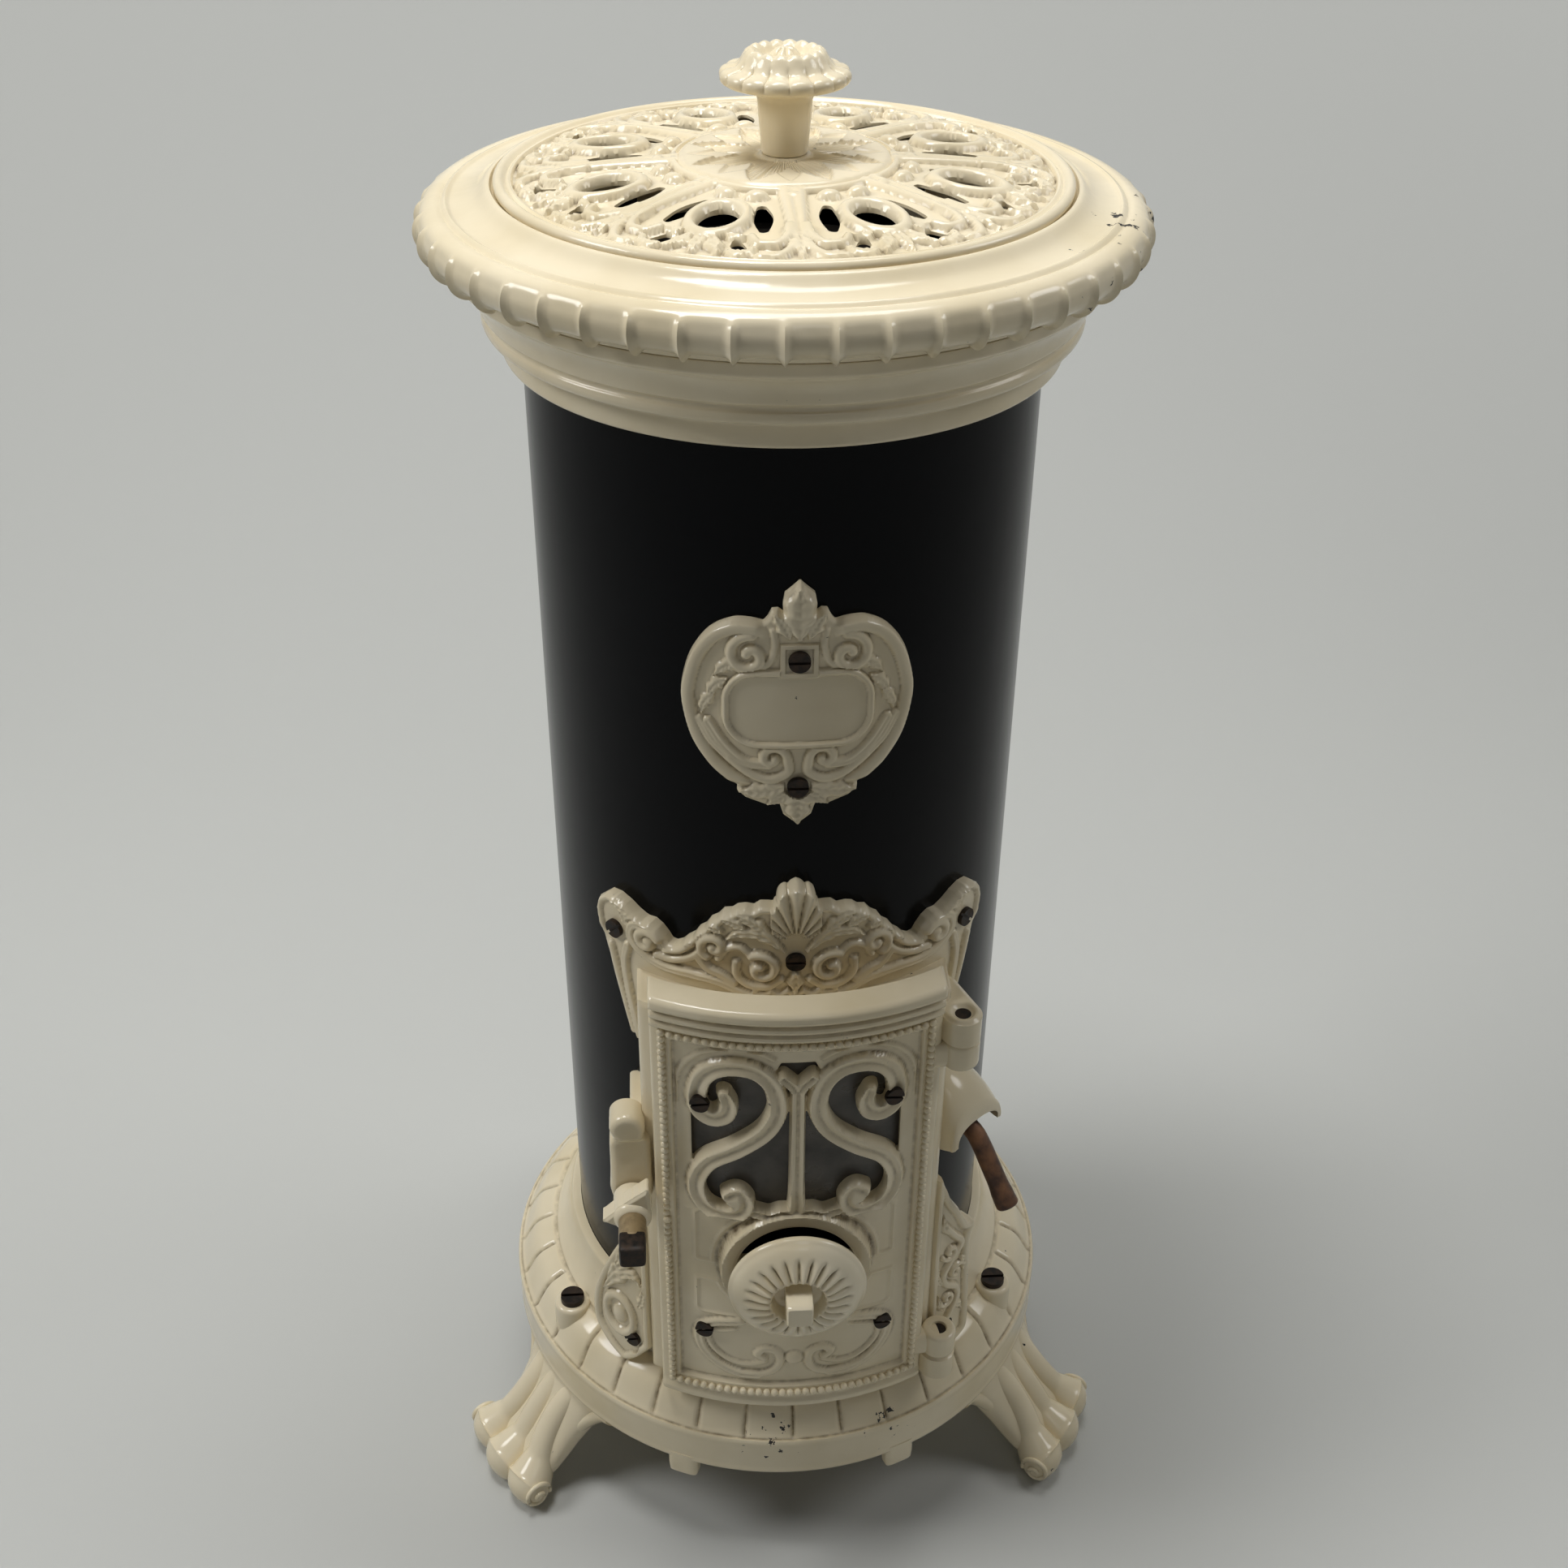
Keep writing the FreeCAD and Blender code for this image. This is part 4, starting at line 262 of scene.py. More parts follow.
FINISHES: dict[Slot, Enamel | Metal] = {
    # Warm white glass coat: bright tops, brown dirt and painted shade in the carving, dark nicks on edges.
    Slot.CREAM: Enamel("cream_vitreous_enamel", "#e7dabc", "#dacba8", "#5f4a2c", "#1f1b18", 0.17, 0.5, 16.0,
                       0.735, CHIPS),
    # The same coat on the disc, a little glossier from handling.
    Slot.DISC: Enamel("cream_disc_enamel", "#eadfc4", "#dfcfab", "#54401f", "#2a241f", 0.12, 0.6, 14.0, 0.75),
    # Deep blue black gloss with one long soft highlight down each side.
    Slot.DRUM: Enamel("black_sheet_enamel", "#020305", "#040508", "#14130f", "#0a0a0a", 0.2, 0.1, 60.0, 0.9),
    # Dull dark brown, as of a firebox that has seen soot.
    Slot.IRON: Metal("sooted_cast_iron", "#262320", "#3a332c", 0.5, 0.62, 24.0, 2.2, 0.35),
    # Near black slotted heads with a thin brown bloom.
    Slot.STEEL: Metal("oxidised_screw_steel", "#1d1a18", "#3b2f26", 0.7, 0.42, 5.0, 1.2, 0.12),
    # Red brown rust with paler worn patches.
    Slot.RUST: Metal("rusted_wrought_bar", "#3f2a20", "#7a563c", 0.45, 0.4, 13.0, 1.4, 0.25),
    # Tan bare iron polished by the handle.
    Slot.LATCH: Metal("worn_latch_iron", "#9a8663", "#7d6a4c", 0.4, 0.4, 7.0, 1.4, 0.12),
    # Grey sheet with a dull sheen.
    Slot.SHEET: Metal("dull_sheet_steel", "#4a4744", "#5c5650", 0.8, 0.5, 30.0, 1.6, 0.1),
    # Smoky pane, darker where soot clings.
    Slot.MICA: Metal("sooted_mica_pane", "#4a443b", "#2b2722", 0.0, 0.25, 26.0, 9.0, 0.25),
}


# Flat geometry: distances and curves


def smooth_step(value: Array, low: float, high: float) -> Array:
    """Cubic ease from nought at low to one at high."""
    t = np.clip((value - low) / (high - low), 0.0, 1.0)
    return t * t * (3.0 - 2.0 * t)


def band(value: Array, a: float, b: float, c: float, d: float) -> Array:
    """Ease up from a to b, stay at one, and ease down again from c to d."""
    return smooth_step(value, a, b) * (1 - smooth_step(value, c, d))


def verge(d: Array, wide: float) -> Array:
    """One at the edge of a plate, easing to nought at a distance inside it."""
    return 1 - smooth_step(-d, 0.0, wide)


def fair(points: Sequence[tuple[float, float]], count: int) -> Array:
    """Smooth curve through points: a Catmull-Rom spline, each span the cubic of four neighbours.

    Args:
        points: Points that the curve passes through.
        count: Number of points of the result.

    Returns:
        Array of shape (count, 2).
    """
    p = np.asarray(points, float)
    p = np.vstack([2 * p[0] - p[1], p, 2 * p[-1] - p[-2]])
    t = np.linspace(0.0, len(p) - 3 - 1e-9, count)
    k = t.astype(int)
    f = (t - k)[:, None]
    a, b, c, d = p[k], p[k + 1], p[k + 2], p[k + 3]
    return 0.5 * (2 * b + (c - a) * f + (2 * a - 5 * b + 4 * c - d) * f**2 + (3 * b - a - 3 * c + d) * f**3)


def spiral(cx: float, cy: float, r0: float, r1: float, a0: float, a1: float, count: int = 48) -> Array:
    """Spiral about a centre: radius and angle both run evenly from their start to their end."""
    a = np.radians(np.linspace(a0, a1, count))
    r = np.linspace(r0, r1, count)
    return np.column_stack([cx + r * np.cos(a), cy + r * np.sin(a)])


def curve(points: Sequence[tuple[float, float]], count: int) -> list[tuple[float, float]]:
    """Points of a smooth curve, as a stretch of an outline."""
    return [tuple(p) for p in fair(points, count)]


def mirrored(right: Array) -> Array:
    """Close the right half of an outline, which starts and ends on the middle line, with its mirror image."""
    return np.vstack([right, (right * np.array([-1.0, 1.0]))[::-1][1:-1]])


def hump(x: Array) -> Array:
    """Half circle section: the root of one less the square, nought past both ends."""
    return np.sqrt(np.clip(1 - x**2, 0, 1))


def bell(x: Array) -> Array:
    """Bell section: e to the power of minus the square."""
    return np.exp(-(x**2))


def level(height: float) -> Callable[..., Array]:
    """Face or back of a plate that lies at one height all over."""

    def at(u: Array, *_: Array) -> Array:
        """The height at every point."""
        return np.full(u.shape, height)

    return at


def axes(azimuth: float) -> tuple[Array, Array]:
    """Outward and sideways directions at an azimuth in degrees from the door."""
    a = math.radians(azimuth)
    return np.array([math.sin(a), -math.cos(a), 0.0]), np.array([math.cos(a), math.sin(a), 0.0])


def to_path(u: Array, v: Array, path: Array) -> tuple[Array, Array]:
    """Distance from every point to a polyline, and the share of the path at the nearest point.

    Each segment gives the distance to its clamped foot point; the least over the segments is kept.
    """
    best = np.full(u.shape, 1e9)
    share = np.zeros(u.shape)
    n = len(path) - 1
    for k in range(n):
        ax, ay = path[k]
        dx, dy = path[k + 1] - path[k]
        t = np.clip(((u - ax) * dx + (v - ay) * dy) / max(dx * dx + dy * dy, 1e-9), 0.0, 1.0)
        d = np.hypot(u - ax - t * dx, v - ay - t * dy)
        closer = d < best
        best = np.where(closer, d, best)
        share = np.where(closer, (k + t) / n, share)
    return best, share


def polygon_field(u: Array, v: Array, outline: Array) -> Array:
    """Signed distance to a closed outline, negative inside by the even-odd rule."""
    closed = np.vstack([outline, outline[:1]])
    distance, _ = to_path(u, v, closed)
    inside = np.zeros(u.shape, bool)
    for (ax, ay), (bx, by) in zip(closed[:-1], closed[1:]):
        if ay != by:
            crosses = (ay > v) != (by > v)
            inside ^= crosses & (u < (bx - ax) * (v - ay) / (by - ay) + ax)
    return np.where(inside, -distance, distance)


def slab(u: Array, v: Array, x0: float, x1: float, y0: float, y1: float, corner: float = 0.0) -> Array:
    """Signed distance to a rectangle with round corners."""
    qx = np.abs(u - (x0 + x1) / 2) - (x1 - x0) / 2 + corner
    qy = np.abs(v - (y0 + y1) / 2) - (y1 - y0) / 2 + corner
    return np.hypot(np.maximum(qx, 0), np.maximum(qy, 0)) + np.minimum(np.maximum(qx, qy), 0) - corner


def oval(u: Array, v: Array, cx: float, cy: float, a: float, b: float) -> Array:
    """Near signed distance to an ellipse: the scaled radius less one, times the lesser half axis."""
    return (np.hypot((u - cx) / a, (v - cy) / b) - 1.0) * min(a, b)


def rope(distance: Array, half: Array | float, height: float, groove: float = 0.0) -> Array:
    """Section of a rounded scroll: a half ellipse, less a soft groove along its middle."""
    x = np.clip(distance / half, 0.0, 1.0)
    return height * np.sqrt(1.0 - x * x) - groove * bell(x / 0.28) * (x < 1)


def stroke(u: Array, v: Array, path: Array, half: float, height: float, groove: float = 0.0) -> Array:
    """Relief of a scroll stroke along a path: the rope section at the distance from it."""
    return rope(to_path(u, v, path)[0], half, height, groove)


def leaf(u: Array, v: Array, path: Array, half: float, height: float, lobes: float = 4.0) -> Array:
    """Relief of a leaf along a midrib: its width swells as a sine, its edge is lobed, its rib is cut in."""
    d, t = to_path(u, v, path)
    swell = half * np.sin(np.pi * np.clip(t, 0.02, 0.98) ** 0.75)
    width = np.maximum(swell * (1.0 + 0.18 * np.cos(2 * np.pi * lobes * t)), 0.3)
    veins = 1.0 - 0.16 * (0.5 + 0.5 * np.cos(2 * np.pi * (lobes * 2 * t - d / half)))
    return rope(d, width, height, 0.3 * height) * veins


# Meshes


def linked(name: str, data: bpy.types.ID) -> Piece:
    """New object with that data, linked to the scene."""
    made = bpy.data.objects.new(name, data)
    bpy.context.scene.collection.objects.link(made)
    return made


def make_object(name: str, points: Array, faces: list[list[int]], hollow: Array | None = None) -> Piece:
    """Write a mesh in metres with faces turned outwards.

    Args:
        name: Name of the piece.
        points: Vertex positions in millimetres.
        faces: Lists of vertex numbers.
        hollow: Share of dirt and painted shade for every vertex.

    Returns:
        The new object, linked to the scene.
    """
    mesh = bpy.data.meshes.new(name)
    mesh.from_pydata((np.asarray(points) * MM).tolist(), [], faces)
    if hollow is not None:
        layer = mesh.attributes.new("hollow", "FLOAT", "POINT")
        layer.data.foreach_set("value", np.clip(hollow, 0, 1).astype(np.float32))
    work = bmesh.new()
    work.from_mesh(mesh)
    bmesh.ops.recalc_face_normals(work, faces=work.faces)
    work.to_mesh(mesh)
    work.free()
    mesh.polygons.foreach_set("use_smooth", np.ones(len(mesh.polygons), bool))
    mesh.set_sharp_from_angle(angle=math.radians(CRISP_DEG))
    return linked(name, mesh)


def blurred(values: Array, times: int, wrap: bool) -> Array:
    """Average a grid with its neighbours several times."""
    out = values
    for _ in range(times):
        mode = "wrap" if wrap else "edge"
        p = np.pad(np.pad(out, ((1, 1), (0, 0)), mode=mode), ((0, 0), (1, 1)), mode="edge")
        out = (p[:-2, 1:-1] + p[2:, 1:-1] + p[1:-1, :-2] + p[1:-1, 2:] + 2 * out) / 6
    return out


def on_drum(reference: float) -> Placer:
    """Place (arc length, height, radius) on a cylinder: the azimuth is arc length over reference."""

    def place(u: Array, v: Array, r: Array) -> Array:
        """Point at an arc length, a height and a radius."""
        return np.stack([r * np.sin(u / reference), -r * np.cos(u / reference), v], axis=-1)

    return place


def facing_front(u: Array, v: Array, r: Array) -> Array:
    """Place (x, height, radius): the point at x on a cylinder of that radius, on the door's side."""
    return np.stack([u, -np.sqrt(np.maximum(r**2 - u**2, 1.0)), v], axis=-1)


def on_axle(x: float, z: float) -> Placer:
    """Place (azimuth, radius, distance) about an axle at x and height z that points to the front."""

    def place(theta: Array, r: Array, y: Array) -> Array:
        """Point at an azimuth, a radius and a distance to the front."""
        return np.stack([x + r * np.sin(theta), -y, z + r * np.cos(theta)], axis=-1)

    return place


def polar(u: Array, v: Array, h: Array) -> Array:
    """Place (azimuth in radians, radius, height) about the drum axis."""
    return np.stack([v * np.sin(u), -v * np.cos(u), h], axis=-1)


def relief_plate(name: str, u_span: Span, v_span: Span, field_of: Shape, front: Placer,
                 back: Shape, place: Placer, wrap: bool = False, dirt_and_shade: float = 0.5) -> Piece:
    """Cast plate with a carved face, cut to an outline and pierced.

    The plate is a grid in (u, v). Grid points near the zero line of the signed distance field are
    moved on to it along the field's slope, cells inside are kept, and walls join face and back.

    Args:
        name: Name of the piece.
        u_span: Start, end and count of the grid along the first parameter.
        v_span: The same along the second parameter.
        field_of: Signed distance, negative in the metal.
        front: Height of the face from u, v and the distance field.
        back: Height of the back.
        place: Turns u, v and a height into a point.
        wrap: Whether the first parameter closes on itself.
        dirt_and_shade: Strength of the dirt and painted shade in hollows.

    Returns:
        The new object.
    """
    u, v = np.linspace(*u_span, endpoint=not wrap), np.linspace(*v_span)
    grid_u, grid_v = np.meshgrid(u, v, indexing="ij")
    d = field_of(grid_u, grid_v)
    step_u, step_v = u[1] - u[0], v[1] - v[0]
    scale = v.mean() if wrap else 1.0
    slope_u = np.gradient(d, axis=0) / (step_u * scale)
    slope_v = np.gradient(d, axis=1) / step_v
    steep = np.maximum(slope_u**2 + slope_v**2, 0.2)
    near = np.abs(d) < 0.75 * max(step_u * scale, step_v)
    grid_u = np.where(near, grid_u - d * slope_u / steep / scale, grid_u)
    grid_v = np.where(near, grid_v - d * slope_v / steep, grid_v)
    rim = np.where(near, 0.0, d)
    face = front(grid_u, grid_v, rim)
    rear = back(grid_u, grid_v)
    # Share of dirt and painted shade: how far the face lies below its blurred self.
    hollow = np.clip((blurred(face, 6, wrap) - face - 0.12) * dirt_and_shade, 0, 1) * smooth_step(-rim, 0.6, 2.6)
    inside = (d < 0) | near
    a = np.arange(grid_u.size).reshape(grid_u.shape)
    here, there = (a, np.roll(a, -1, axis=0)) if wrap else (a[:-1], a[1:])
    corner = [here[:, :-1], there[:, :-1], there[:, 1:], here[:, 1:]]
    quads = np.stack([c.ravel() for c in corner], axis=1)
    whole = inside.ravel()[quads].all(axis=1) & (d.ravel()[quads].mean(axis=1) < 0)
    quads = quads[whole]
    used, packed = np.unique(quads, return_inverse=True)
    quads = packed.reshape(quads.shape)
    n = len(used)
    at_u, at_v, at_face, at_rear, shade_and_dirt_share = (x.ravel()[used] for x in (grid_u, grid_v, face, rear, hollow))
    both = np.vstack([place(at_u, at_v, at_face), place(at_u, at_v, at_rear)])
    start = quads[:, [0, 1, 2, 3]].ravel()
    end = quads[:, [1, 2, 3, 0]].ravel()
    lone = ~np.isin(start * n + end, end * n + start)
    s, e = start[lone], end[lone]
    walls = np.stack([e, s, s + n, e + n], axis=1)
    faces = np.vstack([quads, quads[:, ::-1] + n, walls]).tolist()
    return make_object(name, both, faces, np.concatenate([shade_and_dirt_share, np.zeros(n)]))


def resampled(points: Sequence[tuple[float, float]], step: float, closed: bool = True) -> Array:
    """Even points along an outline, its corners eased by averaging each point with its neighbours."""
    p = np.asarray(points, float)
    if closed:
        p = np.vstack([p, p[:1]])
    run = np.concatenate([[0], np.cumsum(np.hypot(*np.diff(p, axis=0).T))])
    count = max(int(run[-1] / step), 8)
    at_run = np.linspace(0, run[-1], count, endpoint=not closed)
    out = np.column_stack([np.interp(at_run, run, p[:, k]) for k in (0, 1)])
    if closed:
        return (np.roll(out, 1, axis=0) + 2 * out + np.roll(out, -1, axis=0)) / 4
    out[1:-1] = (out[:-2] + 2 * out[1:-1] + out[2:]) / 4
    return out


def arc(cx: float, cy: float, r: float, a0: float, a1: float, count: int = 14) -> list[tuple[float, float]]:
    """Points of a circular arc between two angles in degrees."""
    turn = np.radians(np.linspace(a0, a1, count))
    return list(zip(cx + r * np.cos(turn), cy + r * np.sin(turn)))


def lathe(name: str, profile: Array, segments: int, carve: Placer | None = None, closed: bool = True,
          place: Placer = polar, dirt_and_shade: float = 0.5) -> Piece:
    """Turned casting: a (radius, height) profile carried round an axis, carved along its normal.

    Args:
        name: Name of the piece.
        profile: Profile points; an open profile starts and ends on the axis.
        segments: Steps round the axis.
        carve: Height along the normal from azimuth, radius and height.
        closed: Whether the profile is a closed loop.
        place: Turns azimuth, radius and height into a point.
        dirt_and_shade: Strength of the dirt and painted shade in hollows.

    Returns:
        The new object.
    """
    if closed:
        along = np.roll(profile, -1, axis=0) - np.roll(profile, 1, axis=0)
    else:
        along = np.gradient(profile, axis=0)
    normal = np.column_stack([along[:, 1], -along[:, 0]])
    normal /= np.maximum(np.linalg.norm(normal, axis=1, keepdims=True), 1e-9)
    turn = np.linspace(0, 2 * np.pi, segments, endpoint=False)
    theta, r = np.meshgrid(turn, profile[:, 0], indexing="ij")
    _, h = np.meshgrid(turn, profile[:, 1], indexing="ij")
    lift = carve(theta, r, h) if carve else np.zeros(theta.shape)
    # Share of dirt and painted shade: how far the carving lies below its blurred self.
    hollow = np.clip((blurred(lift, 5, True) - lift) * dirt_and_shade, 0, 1)
    r = np.maximum(r + lift * normal[:, 0], 0.0)
    h = h + lift * normal[:, 1]
    points = place(theta, r, h)
    body, shade_and_dirt_share = (points, hollow) if closed else (points[:, 1:-1], hollow[:, 1:-1])
    a = np.arange(shade_and_dirt_share.size).reshape(shade_and_dirt_share.shape)
    nxt = np.roll(a, -1, axis=0)
    if closed:
        quads = np.stack([a, nxt, np.roll(nxt, -1, axis=1), np.roll(a, -1, axis=1)], axis=-1)
        return make_object(name, body.reshape(-1, 3), quads.reshape(-1, 4).tolist(), shade_and_dirt_share.ravel())
    quads = np.stack([a[:, :-1], nxt[:, :-1], nxt[:, 1:], a[:, 1:]], axis=-1).reshape(-1, 4)
    poles = np.stack([points[:, 0].mean(axis=0), points[:, -1].mean(axis=0)])
    low = np.column_stack([np.full(segments, a.size), nxt[:, 0], a[:, 0]])
    high = np.column_stack([np.full(segments, a.size + 1), a[:, -1], nxt[:, -1]])
    whole = np.vstack([body.reshape(-1, 3), poles])
    faces = quads.tolist() + np.vstack([low, high]).tolist()
    return make_object(name, whole, faces, np.concatenate([shade_and_dirt_share.ravel(), [0, 0]]))


def tube_faces(rings: int, segments: int) -> tuple[Array, Array]:
    """Quads between rings of vertices, and the fans that close both ends to two poles numbered last."""
    a = np.arange(rings * segments).reshape(rings, segments)
    quads = np.stack([a[:-1], np.roll(a[:-1], -1, 1), np.roll(a[1:], -1, 1), a[1:]], axis=-1)
    low = np.column_stack([np.full(segments, a.size), np.roll(a[0], -1), a[0]])
    high = np.column_stack([np.full(segments, a.size + 1), a[-1], np.roll(a[-1], -1)])
    return quads.reshape(-1, 4), np.vstack([low, high])


def sweep(name: str, path: Array, wide: Array | float, deep: Array | float, side: Array, segments: int = 32,
          power: float = 2.0) -> Piece:
    """Bar carried along a path with a superellipse section |x/w|^p + |y/d|^p = 1, closed at both ends.

    Args:
        name: Name of the piece.
        path: Middle line, shape (n, 3).
        wide: Half width along the side direction, at every point or all along.
        deep: Half depth across it.
        side: Direction of the width.
        segments: Points round the section.
        power: Exponent p of the section.

    Returns:
        The new object.
    """
    tangent = np.gradient(path, axis=0)
    tangent /= np.linalg.norm(tangent, axis=1, keepdims=True)
    across = np.asarray(side, float)[None, :] - tangent * (tangent @ np.asarray(side, float))[:, None]
    across /= np.linalg.norm(across, axis=1, keepdims=True)
    upright = np.cross(tangent, across)
    phi = np.linspace(0, 2 * np.pi, segments, endpoint=False)
    c, s = np.cos(phi), np.sin(phi)
    round_to = (np.abs(c) ** power + np.abs(s) ** power) ** (-1 / power)
    x = (np.broadcast_to(wide, len(path))[:, None] * c * round_to)[..., None]
    y = (np.broadcast_to(deep, len(path))[:, None] * s * round_to)[..., None]
    points = path[:, None, :] + x * across[:, None, :] + y * upright[:, None, :]
    quads, fans = tube_faces(len(path), segments)
    flat = np.vstack([points.reshape(-1, 3), path[:1], path[-1:]])
    return make_object(name, flat, quads.tolist() + fans.tolist())


def front_bar(name: str, x: float, z: float, rows: Sequence[tuple[float, float]], segments: int,
              power: float) -> Piece:
    """Square bar that points to the front, from rows of distance and half size."""
    y, size = np.array(rows).T
    path = np.column_stack([np.full(len(y), x), -y, np.full(len(y), z)])
    return sweep(name, path, size, size, SIDE, segments, power)


def beads(name: str, centres: Array, radius: float) -> Piece:
    """Row of small pearls: one coarse ball, a latitude grid with two poles, copied to every centre."""
    rows, cols = 5, 10
    lat = np.radians(np.linspace(-60, 60, rows))
    lon = np.linspace(0, 2 * np.pi, cols, endpoint=False)
    ring = np.stack([np.cos(lat)[:, None] * np.cos(lon), np.cos(lat)[:, None] * np.sin(lon),
                     np.repeat(np.sin(lat)[:, None], cols, axis=1)], axis=-1).reshape(-1, 3)
    ball = np.vstack([ring, -UP, UP]) * radius
    quads, fans = tube_faces(rows, cols)
    shift = np.arange(len(centres))[:, None, None] * len(ball)
    faces = (quads[None] + shift).reshape(-1, 4).tolist() + (fans[None] + shift).reshape(-1, 3).tolist()
    return make_object(name, (ball[None] + np.asarray(centres)[:, None]).reshape(-1, 3), faces)


def joined(name: str, pieces: Sequence[Piece]) -> Piece:
    """Put several meshes of one casting into one object."""
    work = bmesh.new()
    for piece in pieces:
        work.from_mesh(piece.data)
    mesh = bpy.data.meshes.new(name)
    work.to_mesh(mesh)
    work.free()
    for piece in pieces:
        bpy.data.objects.remove(piece)
    return linked(name, mesh)


def moved(piece: Piece, x: float, y: float) -> Piece:
    """Shift a mesh sideways by millimetres."""
    piece.data.transform(Matrix.Translation((x * MM, y * MM, 0)))
    return piece


class Workshop:
    """Holds the finishes, and fixes every piece to its body."""

    def __init__(self) -> None:
        """Make one material for every slot."""
        self.finish = {slot: finish.build() for slot, finish in FINISHES.items()}

    def fix(self, piece: Piece, body: Body, slot: Slot, *nodes: str) -> Piece:
        """Dress a piece, hang it on a body and let it stand for solids.

        Args:
            piece: New object.
            body: Body that it moves with.
            slot: Slot whose finish it takes.
            nodes: Solids that it replaces.

        Returns:
            The same object.
        """
        piece.data.materials.clear()
        piece.data.materials.append(self.finish[slot])
        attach(piece, body.value)
        if nodes:
            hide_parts(*nodes)
        log.info("%s rides on %s", piece.name, body.value)
        return piece

    def dress_solids(self) -> None:
        """Give every solid the finish of its slot."""
        for part in frame["record"]["subparts"]:
            shown = frame["nodes"][part["node"]]
            shown.data.materials.clear()
            shown.data.materials.append(self.finish[Slot(part["material_slot"])])


# Sub-assemblies


@dataclass
class Rim:
    """Stepped cornice on the drum and the rim above it with its ribbed roll."""

    roll_r: float = 190.0
    roll_z: float = 921.5
    roll: float = 13.2
    ribs: int = 50
    proud: float = 1.25
    scoop: float = 2.2

    def carve(self, theta: Array, r: Array, z: Array) -> Array:
        """Rib height: a narrow ridge at each rib over a scooped lobe, fading off the roll at both ends."""
        turn = np.degrees(np.arctan2(z - self.roll_z, r - self.roll_r))
        on_roll = np.abs(np.hypot(z - self.roll_z, r - self.roll_r) - self.roll) < 1.2
        on_roll &= r > self.roll_r - 4
        fade = band(turn, -106, -84, 24, 56) * on_roll
        fade = fade * (0.72 - 0.28 * np.clip(turn / 60, -1, 1))
        phase = (theta * self.ribs / (2 * np.pi)) % 1.0
        ridge = bell((phase - 0.5) / 0.075)
        lobe = 0.5 + 0.5 * np.cos(2 * np.pi * (phase - 0.5))
        return fade * ((self.proud + self.scoop) * ridge + 0.5 * lobe - self.scoop)

    def build(self, shop: Workshop) -> None:
        """Make both rings."""
        outline = [(176.5, 905), (184.5, 905), (186, 906.6)]
        outline += arc(self.roll_r, self.roll_z, self.roll, -108, 90, 30)
        outline += [(188.4, 933.4)] + arc(185.6, 934.4, 1.9, 10, 160, 8)
        outline += curve([(184.3, 934.6), (177.5, 935), (170, 937.4), (163.5, 943)], 14)
        outline += [(160.8, 943.2), (160.8, 939.6), (146, 939.6), (146, 932.6), (163.5, 932.6),
                    (176.5, 921.5)]
        rim = lathe("rim", resampled(outline, 1.5), 700, self.carve, dirt_and_shade=0.35)
        shop.fix(rim, Body.STOVE, Slot.CREAM, "rim_ring")
        steps = [(150.3, 850.5), (160, 850.5), (161.2, 852), (161.4, 863), (162.4, 865.6), (167.6, 866.6),
                 (170.6, 868), (171.6, 870.6), (171.2, 873.6), (169.6, 874.8), (169.8, 877)]
        steps += curve([(172.4, 879), (174.6, 887), (178.6, 893.6), (183.2, 897)], 14)
        steps += [(184.6, 898.4), (184.5, 905), (176.5, 905), (167.5, 893), (130, 893), (130, 886),
                  (150.3, 886)]
        cornice = lathe("cornice", resampled(steps, 0.7), 240)
        shop.fix(cornice, Body.STOVE, Slot.CREAM, "cornice_ring")


